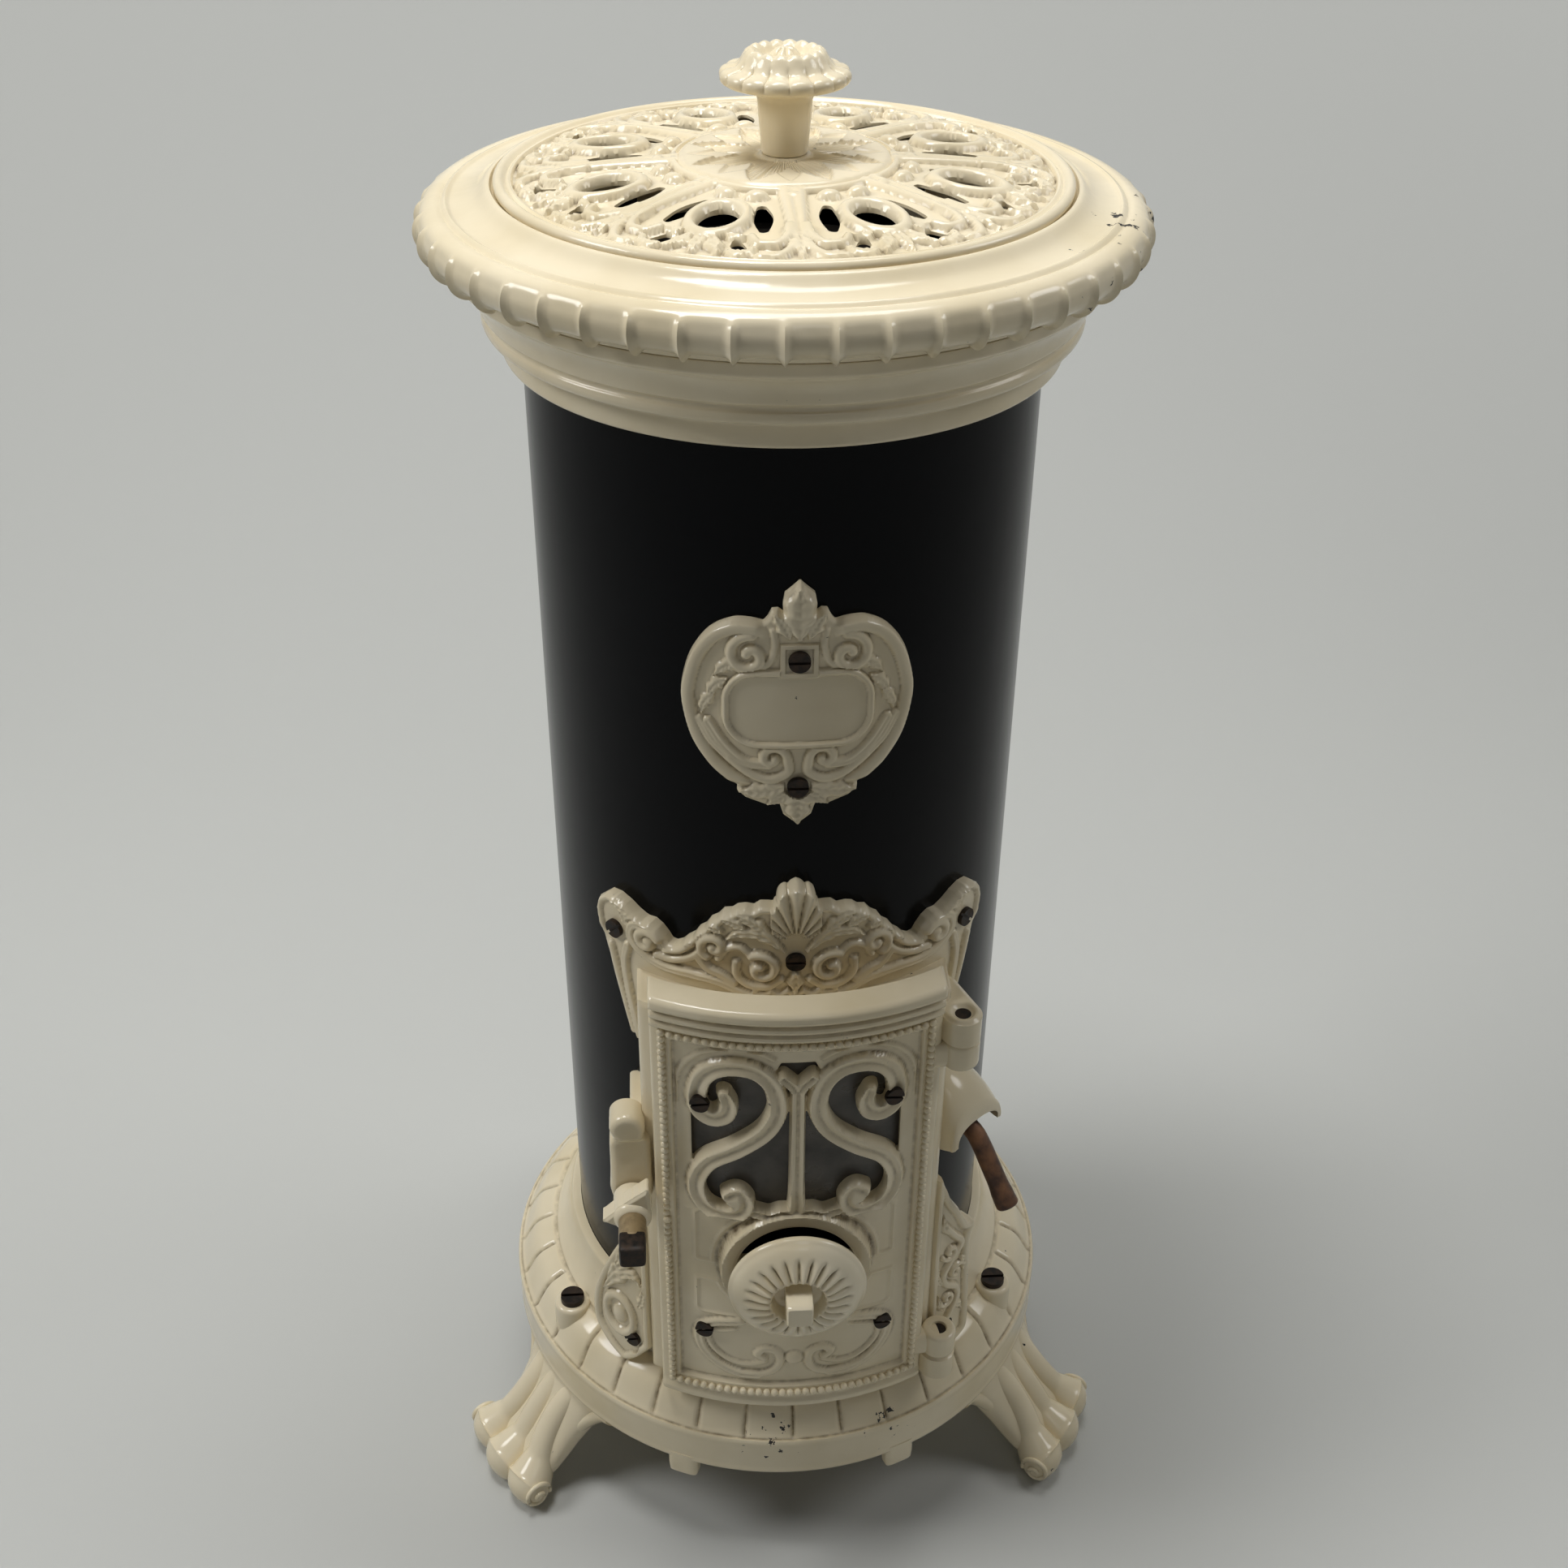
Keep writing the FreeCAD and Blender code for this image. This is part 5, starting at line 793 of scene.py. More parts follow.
@dataclass
class Lid:
    """Pierced lid with its rosette, edge bead and mushroom knob."""

    motifs: int = 8
    eye_r: float = 105.0
    belt_r: float = 153.0
    top_z: float = 954.6
    fall: float = 10.5
    web: float = 4.4

    def dome(self, r: Array) -> Array:
        """Height of the plain dome: it falls with the square of the radius."""
        return self.top_z - self.fall * (r / self.belt_r) ** 2

    def local(self, theta: Array, r: Array) -> tuple[Array, Array]:
        """Fold every motif on to one: arc across it from the eye's middle line, and radius from the eye."""
        span = 2 * np.pi / self.motifs
        delta = (theta % span) - span / 2
        return r * delta, r - self.eye_r

    def holes(self, theta: Array, r: Array) -> Array:
        """Signed distance to the piercings, negative in a hole: eye, two crescents and two darts."""
        across, out = self.local(theta, r)
        side = np.abs(across)
        eye = oval(side, out, 0.0, 0.0, 10.2, 14.8)
        bend, along = to_path(side, out, fair([(15.2, -23), (19.4, -13), (23, -3), (26.2, 6)], 18))
        dart, _ = to_path(side, out, fair([(19, 25), (23.5, 31)], 4))
        return np.minimum(np.minimum(eye, bend - 2.6 - 2.2 * np.sin(np.pi * along)), dart - 3.3)

    def carve(self, theta: Array, r: Array) -> Array:
        """Relief of the belt: rolled rings round the eyes, grooved stems and tulips between, leaves."""
        across, out = self.local(theta, r)
        side = np.abs(across)
        edge = np.pi / self.motifs * r - side
        ring = np.hypot(side / 14.0, out / 19.2)
        h = 4.4 * hump((ring - 1) / 0.27)
        stem = rope(edge, 5.6 + 0.05 * np.abs(out), 3.6, 1.3) * (1 - smooth_step(out, 16, 24))
        h = np.maximum(h, stem)
        for path, half, high in (
            ([(4.5, 4), (6, 16), (11.5, 25.5), (21, 26), (24, 19.5)], 3.0, 4.0),
            ([(3, 22), (6.5, 32), (13, 39), (22, 40)], 2.8, 3.4),
        ):
            h = np.maximum(h, stroke(edge, out, fair(path, 20), half, high, 0.4))
        for path, wide in (([(0, 14), (0, 27), (0, 41)], 5.0), ([(23, 30), (28, 36), (32, 42)], 4.2)):
            h = np.maximum(h, leaf(edge, out, fair(path, 8), wide, 3.8, 2.0))
        for path, wide in (
            ([(0, 19), (0, 30), (0, 42)], 4.6), ([(4.5, 20), (9, 30), (15, 41)], 4.6),
            ([(11, 18), (17, 20.5), (23, 19)], 3.6), ([(17, 36), (24, 38.5), (30, 36)], 4.0),
        ):
            h = np.maximum(h, leaf(side, out, fair(path, 8), wide, 3.8, 2.0))
        h = np.maximum(h, rope(np.hypot((side - 8.6) / 1.35, out + 34.5), 5.0, 4.4))
        h = np.maximum(h, rope(np.hypot(edge / 1.3, out + 35.5), 4.4, 3.8))
        bead = np.maximum(rope(np.abs(r - 61.0), 2.6, 3.2), rope(np.abs(r - self.belt_r + 2.2), 2.4, 3.0))
        return np.maximum(h, bead)

    def rosette(self, theta: Array, r: Array, z: Array) -> Array:
        """Pointed leaves round the stem: eight broad over eight narrow, each with a rib and a cut edge."""
        wave = (theta * 8 / (2 * np.pi)) % 1.0
        reach = np.abs(wave - 0.5) * 2
        broad = np.clip(1 - (r - 16) / (40 * (1 - 0.75 * reach) + 1e-6), 0, 1)
        behind = np.abs(((wave + 0.5) % 1.0) - 0.5) * 2
        narrow = np.clip(1 - (r - 16) / (38 * (1 - 0.85 * behind) + 1e-6), 0, 1)
        rib = bell(reach / 0.10) * (r < 52)
        vein = 0.25 * np.cos(14 * np.pi * reach) * (broad > 0)
        height = np.maximum(2.6 * smooth_step(broad, 0.0, 0.10),
                            1.4 * smooth_step(narrow, 0.0, 0.10)) + 0.8 * rib + vein
        top = z > self.dome(np.minimum(r, 150.0)) - 3.0
        return top * band(r, 13.5, 16, 56, 59) * (height - 1.2)

    def build(self, shop: Workshop) -> None:
        """Make the belt, the rosette, the edge and the knob."""

        def metal(a: Array, b: Array) -> Array:
            """Belt between its two edges, less the piercings."""
            return np.maximum(np.maximum(58.4 - b, b - self.belt_r + 0.4), -self.holes(a, b))

        def face(a: Array, b: Array, d: Array) -> Array:
            """Carved face, eased down at the edges of the piercings."""
            soft = verge(d, 2.0) * (b < self.belt_r - 3) * (b > 61)
            return self.dome(b) - 2.4 + self.carve(a, b) * (1 - 0.45 * soft) - 0.4 * soft

        belt = relief_plate("lid_belt", (0, 2 * np.pi, 640), (58.0, self.belt_r, 84), metal, face,
                            lambda a, b: self.dome(b) - self.web, polar, True, 0.7)
        shop.fix(belt, Body.LID, Slot.CREAM, "lid")
        inner = np.linspace(0, 58, 23)
        top = list(zip(inner, self.dome(inner) + 0.2))
        low = [(60.6, 951.2), (60.6, 948.4), (58, 947.6), (30, 948), (0, 948.6)]
        middle = lathe("lid_rosette", resampled(top + low, 1.0, False), 384, self.rosette, False, dirt_and_shade=0.6)
        shop.fix(middle, Body.LID, Slot.CREAM)
        ring = arc(156.2, 942.9, 3.4, -90, 150, 16) + [(151.6, 943.4), (151, 941.2), (152.5, 939.7)]
        edge = lathe("lid_edge", resampled(ring, 0.8), 240)
        shop.fix(edge, Body.LID, Slot.CREAM)
        self.knob(shop)

    def knob(self, shop: Workshop) -> None:
        """Mushroom knob: a flaring stem, sixteen petals round the cap, a ring of beads and a bud."""

        def petals(theta: Array, r: Array, z: Array) -> Array:
            """Lobes round the edge, a pearl ring half way in and a bud with eight petals."""
            lobe = smooth_step(z, 991.5, 995.0) * smooth_step(r, 23.0, 27.0)
            lobe = lobe * (1.6 * np.abs(np.sin(theta * 8)) ** 0.6 - 1.7)
            pearl = bell((r - 18.5) / 3.4) * (z > 1001) * (1.3 * np.abs(np.sin(theta * 8)) - 0.6)
            bud = band(r, 1.5, 3.0, 8.0, 10.0) * (z > 1004) * (np.abs(np.sin(theta * 4)) - 0.6)
            return lobe + pearl + bud

        outline = [(0, 954.9), (12.5, 954.9), (12.9, 957), (15.2, 984), (16.4, 987), (19, 989)]
        outline += [(28, 991.4)] + arc(31.8, 995.8, 4.2, -85, 80, 10)
        outline += [(27, 1001.2), (24.5, 1003.6), (21.5, 1008), (18.5, 1009.4), (15, 1007.8), (12, 1004.6),
                    (9.5, 1004.4)]
        outline += [(7, 1007.4), (4, 1009.6), (0, 1010.4)]
        cap = lathe("lid_knob_turned", resampled(outline, 0.8, False), 320, petals, False, dirt_and_shade=0.4)
        shop.fix(cap, Body.LID, Slot.CREAM, "lid_knob")


@dataclass
class Drum:
    """Rolled sheet drum with the door mouth and its seam at the back."""

    radius: float = 150.0
    wall: float = 2.0
    low: float = 150.0
    top: float = 886.0
    mouth: tuple[float, ...] = (-75.0, 75.0, 176.0, 492.0)
    flue_z: float = 712.0
    flue_bore: float = 50.5
    slot_half: float = 22.0
    slot_deep: float = 10.0

    def build(self, shop: Workshop) -> None:
        """Make the sheet as a thin plate on the cylinder."""
        half = math.pi * self.radius

        def sheet(a: Array, b: Array) -> Array:
            """Signed distance: the sheet's edges, less the door mouth, the flue hole and the rod's slot."""
            around = a / self.radius
            x = self.radius * np.sin(around)
            front = np.cos(around) > 0
            mouth = np.where(front, slab(x, b, *self.mouth), 99.0)
            flue = np.where(~front, np.hypot(x, b - self.flue_z) - self.flue_bore, 99.0)
            at = self.radius * math.radians(ROD_AZ)
            rod = slab(a, b, at - self.slot_half, at + self.slot_half, ROD_Z - self.slot_deep,
                       ROD_Z + self.slot_deep)
            whole = slab(a, b, -half - 5, half + 5, self.low, self.top)
            return np.maximum(whole, -np.minimum(np.minimum(mouth, flue), rod))

        skin = relief_plate("drum_sheet", (-half, half, 221), (self.low, self.top, 168), sheet,
                            level(self.radius),
                            level(self.radius - self.wall), on_drum(self.radius))
        shop.fix(skin, Body.STOVE, Slot.DRUM, "drum_jacket")


@dataclass
class Base:
    """Round base plate with its fluted shoulder, and the three clawed legs."""

    flutes: int = 36
    bolt_r: float = 180.0
    leg_az: tuple[float, ...] = (-60.0, 60.0, 180.0)
    tab_az: float = 23.0
    tab_r: float = 196.4

    def carve(self, theta: Array, r: Array, z: Array) -> Array:
        """Radial cuts from the lip to a ring cut, soft swelling between them, then a plain band."""
        on_top = (z > 117.5) & (z > 290.0 - r) & (r > 158)
        phase = ((theta + np.pi / self.flutes) * self.flutes / (2 * np.pi)) % 1.0
        cut = bell((phase - 0.5) * (r / 180.0) / 0.035)
        swell = np.sin(np.pi * ((phase + 0.5) % 1.0)) ** 0.6
        belt = band(r, 172.0, 175.0, 197.0, 200.5)
        ring = bell((r - 171.5) / 1.1) + 0.9 * bell((r - 199.4) / 0.8)
        return on_top * (belt * (0.6 * swell - 1.9 * cut - 0.4) - 1.7 * ring)

    def build(self, shop: Workshop) -> None:
        """Make the plate, its bosses and tabs, and the legs."""
        outline = [(196, 84.5), (201, 84.5), (202, 86.5), (201.2, 90), (201.6, 112)]
        outline += arc(198.0, 116.0, 4.0, 0, 90, 8)
        outline += curve([(197, 120.8), (187.5, 137), (178, 143.6), (170, 147.2)], 24)
        outline += curve([(168, 149.6), (162.5, 158), (158.8, 167), (157, 176)], 14)
        outline += [(156.6, 179.4), (150.3, 180)]
        hidden = [(150.3, 150), (130, 150), (130, 144), (158, 144), (196, 113)]
        profile = np.vstack([resampled(outline, 1.5, False), resampled(hidden, 7.0, False)])
        plate = lathe("base_plate_turned", profile, 540, self.carve, dirt_and_shade=0.9)
        pieces = [plate]
        boss = resampled([(0, 149), (11.5, 149), (13, 147.6), (13.4, 138), (13.6, 114), (0, 114)], 1.4, False)
        for azimuth in self.leg_az:
            x, y, _ = axes(azimuth)[0] * self.bolt_r
            pieces.append(moved(lathe("boss", boss, 40, closed=False), x, y))
        for side in (-1, 1):
            out, across = axes(side * self.tab_az)
            line = out * self.tab_r + np.outer([90.0, 84.0, 76.0, 69.5, 67.8], UP)
            pieces.append(sweep("tab", line, np.array([11.0, 11.0, 11.0, 10.5, 8.5]),
                                np.array([5.4, 5.4, 5.4, 5.0, 3.2]),
                                across, 32, 5.0))
        whole = joined("base_plate_cast", pieces)
        shop.fix(whole, Body.STOVE, Slot.CREAM, "base_plate")
        for name, azimuth in zip(("leg_left", "leg_right", "leg_rear"), self.leg_az):
            shop.fix(self.leg(name + "_cast", azimuth), Body.STOVE, Slot.CREAM, name)

    def leg(self, name: str, azimuth: float) -> Piece:
        """Clawed leg: a shank flaring to the plate, three toes that run up it as ridges, and curled toe ends.

        Args:
            name: Name of the piece.
            azimuth: Direction of the leg in degrees from the door.

        Returns:
            The leg as one mesh standing on the floor.
        """
        out, across = axes(azimuth)
        steps, toe_steps, reed_steps, wing_steps = 48, 52, 22, 26
        ball_at, ball_reach, ball = 0.84, 0.163, 1.08

        def run(rows: Sequence[tuple[float, float, float]], count: int) -> Array:
            """Smooth line through (radius, sideways, height) rows."""
            p = np.asarray(rows)
            flat = np.column_stack([fair(p[:, [0, 2]], count), fair(p[:, [1, 2]], count)[:, 0]])
            return flat[:, :1] * out + flat[:, 2:3] * across + flat[:, 1:2] * UP

        shank = run([(178, 0, 84.2), (186, 0, 71), (198, 0, 54), (213, 0, 36), (227, 0, 21), (234, 0, 14)],
                    steps)
        t = np.linspace(0, 1, steps)
        wide = np.interp(t, [0, 0.08, 0.2, 0.35, 0.5, 0.75, 1], [64, 56, 47, 41, 38, 37, 31])
        deep = np.interp(t, [0, 0.2, 0.5, 0.8, 1], [19, 18, 16, 13, 10])
        pieces = [sweep("shank", shank, wide, deep, across, 96, power=2.4)]
        for turn, reach, size in ((-1, 255.0, 16.8), (0, 258.6, 16.8), (1, 255.0, 16.8)):
            rows = [(186, turn * 23, 83), (194, turn * 20, 76), (206, turn * 18.5, 63), (218, turn * 20, 47),
                    (229, turn * 24.5, 30),
                    (reach - 14, turn * 29.0, 16.0), (reach, turn * 31, 11.5)]
            k = np.linspace(0, 1, toe_steps)
            thick = size * np.interp(k, [0, 0.3, 0.5, 0.64, 0.73, ball_at],
                                     [0.5, 0.56, 0.58, 0.62, 0.86, ball])
            thick = np.where(k > ball_at, ball * size * hump((k - ball_at) / ball_reach), thick)
            pieces.append(sweep("toe", run(rows, toe_steps), thick, thick * 0.98, across, 28))
            if turn:
                wind = spiral(reach - 13.0, 16.0, 11.4, 2.0, 200, -330, 40)
                dome = np.sqrt(np.clip((1.05 * size) ** 2 - (wind[:, 0] - reach + 13.0) ** 2
                                       - (wind[:, 1] - 16.0) ** 2, 0, None))
                coil = wind[:, :1] * out + (turn * (29.2 + dome[:, None])) * across + wind[:, 1:] * UP
                pieces.append(sweep("curl", coil, 1.9, 1.9, UP + 0.3 * out, 10))
                for start, end, size_at in (((183, 27, 83), (206, 22.5, 50), 5.0),
                                            ((182, 41, 83), (201, 30.5, 56), 4.4)):
                    rows = [start, (start[0] * 0.5 + end[0] * 0.5 - 2, (start[1] + end[1]) / 2 - 3,
                                    (start[2] + end[2]) / 2 - 1), end,
                            (end[0] + 14, end[1] + 1.5, end[2] - 17)]
                    line = run([(r, turn * s, z) for r, s, z in rows], reed_steps)
                    roll = size_at * np.sin(np.pi * np.linspace(0.3, 0.97, reed_steps)) ** 0.6
                    pieces.append(sweep("reed", line, roll, roll, across, 14))
                wing = run([(184, turn * 62, 83.5), (187, turn * 50, 76), (196, turn * 37, 60),
                            (208, turn * 31, 42), (222, turn * 33, 26)], wing_steps)
                roll = np.interp(np.linspace(0, 1, wing_steps), [0, 0.3, 1], [6.0, 5.4, 4.6])
                pieces.append(sweep("wing", wing, roll, roll * 1.2, across, 18))
        pad = run([(180, 0, 113.6), (180, 0, 100), (182, 0, 80), (184, 0, 70)], 8)
        pieces.append(sweep("lug", pad, 12.0, 12.0, across, 24, 6.0))
        whole = joined(name, pieces)
        spots = np.empty(len(whole.data.vertices) * 3)
        whole.data.vertices.foreach_get("co", spots)
        spots = spots.reshape(-1, 3)
        spots[:, 2] = np.maximum(spots[:, 2], 0.0)
        whole.data.vertices.foreach_set("co", spots.ravel())
        whole.data.update()
        return whole


@dataclass
class Plaque:
    """Heart shaped cartouche with leaf finials, C scrolls and a bare tablet."""

    face_r: float = 155.3
    tablet_low: float = 667.6
    tablet_top: float = 717.6

    def outline(self) -> Array:
        """Edge of the cartouche: the right half, with a smooth lobe, and its mirror image."""
        finial = [(0, 771.5), (3.6, 768), (8.3, 764), (9.4, 758), (9, 752.4), (12, 754.6), (15.4, 754.2),
                  (17.6, 749.6), (20, 746.6)]
        lobe = fair([(20, 746.6), (28, 748), (38, 747.2), (51, 739.6), (61, 725), (66.6, 706), (67, 692),
                     (62, 671), (52, 654.5), (42, 645), (34.8, 640.2)], 48)
        drop = [(35, 636.6), (30, 632), (22, 629.2), (17.5, 627.4), (10.4, 628.8), (8, 621), (0, 614.2)]
        return mirrored(np.vstack([finial, lobe[1:], drop]))

    def carve(self, u: Array, v: Array, d: Array) -> Array:
        """Relief: rolled border, volutes, leaf sprays, fluted sweeps, a tablet with its edge, finials."""
        x = np.abs(u)
        border = band(v, 640, 646, 748, 751) * smooth_step(x, 18, 24)
        h = 3.4 * hump((-d - 4.2) / 4.6) * border
        for path, half, high, groove in (
            (spiral(27.4, 726.5, 12.5, 2.0, 95, -330), 3.3, 3.4, 0.0),
            (spiral(14.6, 660.5, 8.6, 1.6, 190, -170), 2.9, 3.0, 0.0),
            (fair([(6, 660), (6, 651), (16, 646.5), (27, 650), (39, 659.5)], 22), 3.2, 2.8, 0.0),
            (fair([(17, 656), (30, 657.5), (42, 668), (51, 682)], 22), 3.4, 2.8, 0.8),
            (fair([(39, 659.5), (49, 670), (56, 683)], 14), 3.0, 2.8, 0.6),
            (fair([(14.5, 742), (13.5, 733), (17, 722), (28, 716), (38, 719.5)], 20), 2.2, 1.8, 0.0),
        ):
            h = np.maximum(h, stroke(x, v, path, half, high, groove))
        top = 717.5 + 1.6 * np.cos(np.pi * np.clip(x / 42.0, 0, 1))
        low = 669.0 - 2.0 * np.sin(np.pi * np.clip(x / 42.0, 0, 1))
        bow = np.where(v > 692, self.tablet_top - top, low - self.tablet_low)
        tablet = slab(x, v, -42.5, 42.5, self.tablet_low, self.tablet_top, 20.0) + 0.06 * bow
        edge = rope(np.abs(tablet + 1.6), 2.2, 3.0)
        plain = 0.7 * (1 - smooth_step(tablet, -4.0, -2.0))
        h = np.where(tablet < 0.6, np.maximum(edge, plain), h)
        for path, half, high in (
            (fair([(0, 738), (0, 754), (0, 771)], 8), 9.5, 4.2),
            (fair([(5, 738), (9.5, 747), (15, 755)], 8), 4.6, 3.4),
            (fair([(0, 640), (0, 628), (0, 614.5)], 8), 8.6, 4.0),
            (fair([(6, 642), (20, 638), (35, 637.5)], 8), 6.4, 3.2),
            (fair([(4, 638), (12, 632), (18, 628)], 8), 4.4, 3.0),
            (fair([(34, 721.5), (41, 719), (47.5, 712)], 8), 4.2, 2.8),
            (fair([(40, 711), (47, 706), (51.5, 698)], 8), 4.0, 2.6),
            (fair([(47, 701), (53, 694), (54.5, 686)], 8), 3.6, 2.4),
        ):
            h = np.maximum(h, leaf(x, v, path, half, high, 3.0))
        square = np.maximum(x, np.abs(v - 723.8))
        h = np.where(square < 10.4, 1.6 - 1.4 * (1 - smooth_step(square, 7.0, 7.6)), h)
        h = np.where(np.hypot(x, v - 641.6) < 7.4, np.minimum(h, 0.2), h)
        return h

    def build(self, shop: Workshop) -> None:
        """Make the cartouche on the drum."""
        edge = self.outline()

        def face(a: Array, b: Array, d: Array) -> Array:
            """Radius of the carved face, rounded off at the edge."""
            rounded = self.face_r - 1.9 + 1.4 * smooth_step(-d, 0.0, 2.2)
            return rounded + self.carve(a, b, d) * smooth_step(-d, 0.0, 1.8)

        plate = relief_plate("plaque_cast", (-69.0, 69.0, 186), (612.0, 773.0, 218),
                             partial(polygon_field, outline=edge), face,
                             level(DRUM_SEAT), on_drum(154.0), dirt_and_shade=0.8)
        shop.fix(plate, Body.STOVE, Slot.CREAM, "plaque")


@dataclass
class DoorFrame:
    """Door frame casting: collar with its lugs, crest, pilaster, console and the hood over the rod."""

    crest_r: float = 157.3
    shell_z: float = 531.0
    ray_deg: float = 15.5
    panel_r: float = 182.3
    hood_in: float = 149.0
    hood_out: float = 187.0

    def crest_edge(self) -> Array:
        """Right half of the crest: palmette, lobed slope, valley, horn and flank, mirrored."""
        lean = np.linspace(0.0, 29.0, 30)
        reach = np.interp(lean, [0, 11, 17, 24, 29], [42.3, 40.4, 37.4, 33.0, 29.2])
        reach = reach - 2.6 * (1 - np.abs(np.cos(np.pi * lean / self.ray_deg)) ** 0.7)
        shell = np.column_stack([reach * np.sin(np.radians(lean)),
                                 self.shell_z + reach * np.cos(np.radians(lean))])
        right = [*map(tuple, shell), (17, 556.6), (22, 556.4), (26, 553.2), (31, 553.8), (36, 552.6),
                 (39.5, 549.6), (44.5, 548.6), (48.5, 543.6), (53, 540.6), (56.5, 535), (61, 531.6),
                 (64, 526.6), (69, 522.6), (72.5, 518.6), (77, 516), (80.5, 516.5), (83.2, 520.5),
                 (87.5, 525), (92.5, 527.6), (98.5, 527.2), (105, 529.8), (112, 533.6), (120, 536.2),
                 (128, 535.2), (134, 530), (136.4, 521.5), (134.6, 508.5), (130.4, 494), (126, 481),
                 (122, 468), (116, 450), (110, 432), (98, 428), (98, 478), (0, 478)]
        return mirrored(np.array(right, float))

    def carve(self, u: Array, v: Array, d: Array) -> Array:
        """Relief: fanned palmette, paired volutes, acanthus slopes, horn volutes and fluted flanks."""
        x = np.abs(u)
        h = 2.2 * hump((-d - 2.4) / 2.6) * smooth_step(v, 500, 512) * smooth_step(x, 10, 16)
        for path, half, high, groove in (
            (spiral(21.0, 510.0, 11.5, 1.5, 60, 440), 3.2, 4.6, 0.0),
            (fair([(27, 520), (34, 526), (42, 523), (47, 515)], 16), 2.6, 3.4, 0.0),
            (fair([(36, 514), (35.5, 504), (28, 497), (17, 496.5), (9, 502)], 20), 2.8, 3.6, 0.4),
            (fair([(60, 514), (54, 506), (46, 503), (38, 497)], 16), 3.4, 3.6, 0.6),
            (spiral(49.5, 523.5, 9.5, 1.5, -60, 330), 3.4, 4.4, 0.0),
            (fair([(14, 488), (28, 489), (46, 497), (64, 499), (82, 499), (97, 503), (106.5, 512), (105, 522),
                   (96, 524.5), (87.5, 519)], 54), 3.6, 4.2, 0.9),
            (spiral(94.5, 514.0, 9.0, 1.0, 150, -230), 3.8, 4.8, 0.0),
            (fair([(56, 521), (64, 512), (76, 506.5), (88, 506)], 20), 2.8, 3.4, 0.4),
            (fair([(64, 521.5), (72, 514.5), (82, 511.5)], 14), 2.4, 3.0, 0.0),
            (fair([(110, 504), (113, 490), (111, 470), (106, 446), (103, 432)], 22), 3.2, 3.2, 0.6),
            (fair([(124, 498), (120, 480), (114, 458), (108, 436)], 18), 2.8, 2.8, 0.0),
        ):
            h = np.maximum(h, stroke(x, v, path, half, high, groove))
        lean = np.degrees(np.arctan2(x, v - self.shell_z))
        out = np.hypot(x, v - self.shell_z)
        shell = 0.30 + 0.70 * np.abs(np.cos(np.radians(lean) * 180.0 / self.ray_deg)) ** 0.8
        fan = (x < 15.5 - 0.12 * np.maximum(548.0 - v, 0)) & (lean < 62)
        rays = 5.4 * shell * smooth_step(out, 3.0, 9.0) * (0.72 + 0.28 * out / 42.0)
        h = np.where(fan, np.maximum(h * 0.4, rays), h)
        for path, wide in (
            ([(7, 524), (18, 535), (33, 536.5), (43, 530.5)], 4.6), ([(16, 538), (26, 545), (37, 551)], 4.6),
            ([(30, 540), (38, 544), (47, 546.5)], 4.2), ([(44, 536), (50, 538), (56, 538)], 3.8),
            ([(55, 528.5), (60, 529.5), (64, 528)], 3.6), ([(62, 522), (67, 522.5), (72, 520)], 3.2),
            ([(100, 527), (110, 530), (122, 533)], 4.4), ([(108, 520), (112, 526), (116, 531)], 3.6),
        ):
            h = np.maximum(h, leaf(x, v, fair(path, 10), wide, 4.0, 3.0))
        h = np.maximum(h, leaf(x, v, fair([(0, 508), (0, 500), (0, 491)], 8), 5.4, 4.2, 2.0))
        fringe = rope(np.abs(v - 493.5 + 3.0 * np.abs(np.sin(np.pi * (x + 5.0) / 10.0))), 2.8, 3.4) * (x < 26)
        h = np.maximum(h, fringe)
        for sx, sz, size in ((0.0, 516.0, 7.6), (120.5, 512.0, 7.8)):
            h = np.where(np.hypot(x - sx, v - sz) < size, np.minimum(h, 0.2), h)
        return h

    def build(self, shop: Workshop) -> None:
        """Make the collar with its lugs, the crest, the pilaster, the console and the hood."""
        self.collar(shop)
        edge = self.crest_edge()

        def face(a: Array, b: Array, d: Array) -> Array:
            """Radius of the carved face, rounded off at the edge."""
            rounded = self.crest_r + 0.25 - 1.2 * verge(d, 2.0)
            return rounded + self.carve(a, b, d) * smooth_step(-d, 0.0, 1.6)

        crest = relief_plate("crest_cast", (-139.0, 139.0, 330), (426.0, 575.0, 178),
                             partial(polygon_field, outline=edge), face,
                             level(DRUM_SEAT), on_drum(self.crest_r), dirt_and_shade=0.7)
        shop.fix(crest, Body.STOVE, Slot.CREAM)
        for side in (1, -1):
            self.flank(shop, side)
        self.hood(shop)

    def flank(self, shop: Workshop, side: int) -> None:
        """One flank: a panel with a vine at the right, an oval boss with a curled leaf at the left."""
        right = [(103, 158), (109, 147), (120, 144.5), (134, 144.5), (143, 150), (144, 165), (142.5, 190),
                 (140, 222), (139, 246), (143, 253), (142.5, 259), (135, 262), (127, 279), (117, 296),
                 (110, 313), (103, 318)]
        left = [(103, 168), (110, 158), (117, 149), (126, 142.5), (136, 146), (148, 157), (155, 171),
                (154.5, 192), (149, 213), (139, 237), (129, 257), (120, 272), (111, 283), (103, 287)]
        points = np.array(right if side > 0 else left, float)
        edge = fair(list(map(tuple, np.vstack([points, points[:1]]))), 130)[:-1]

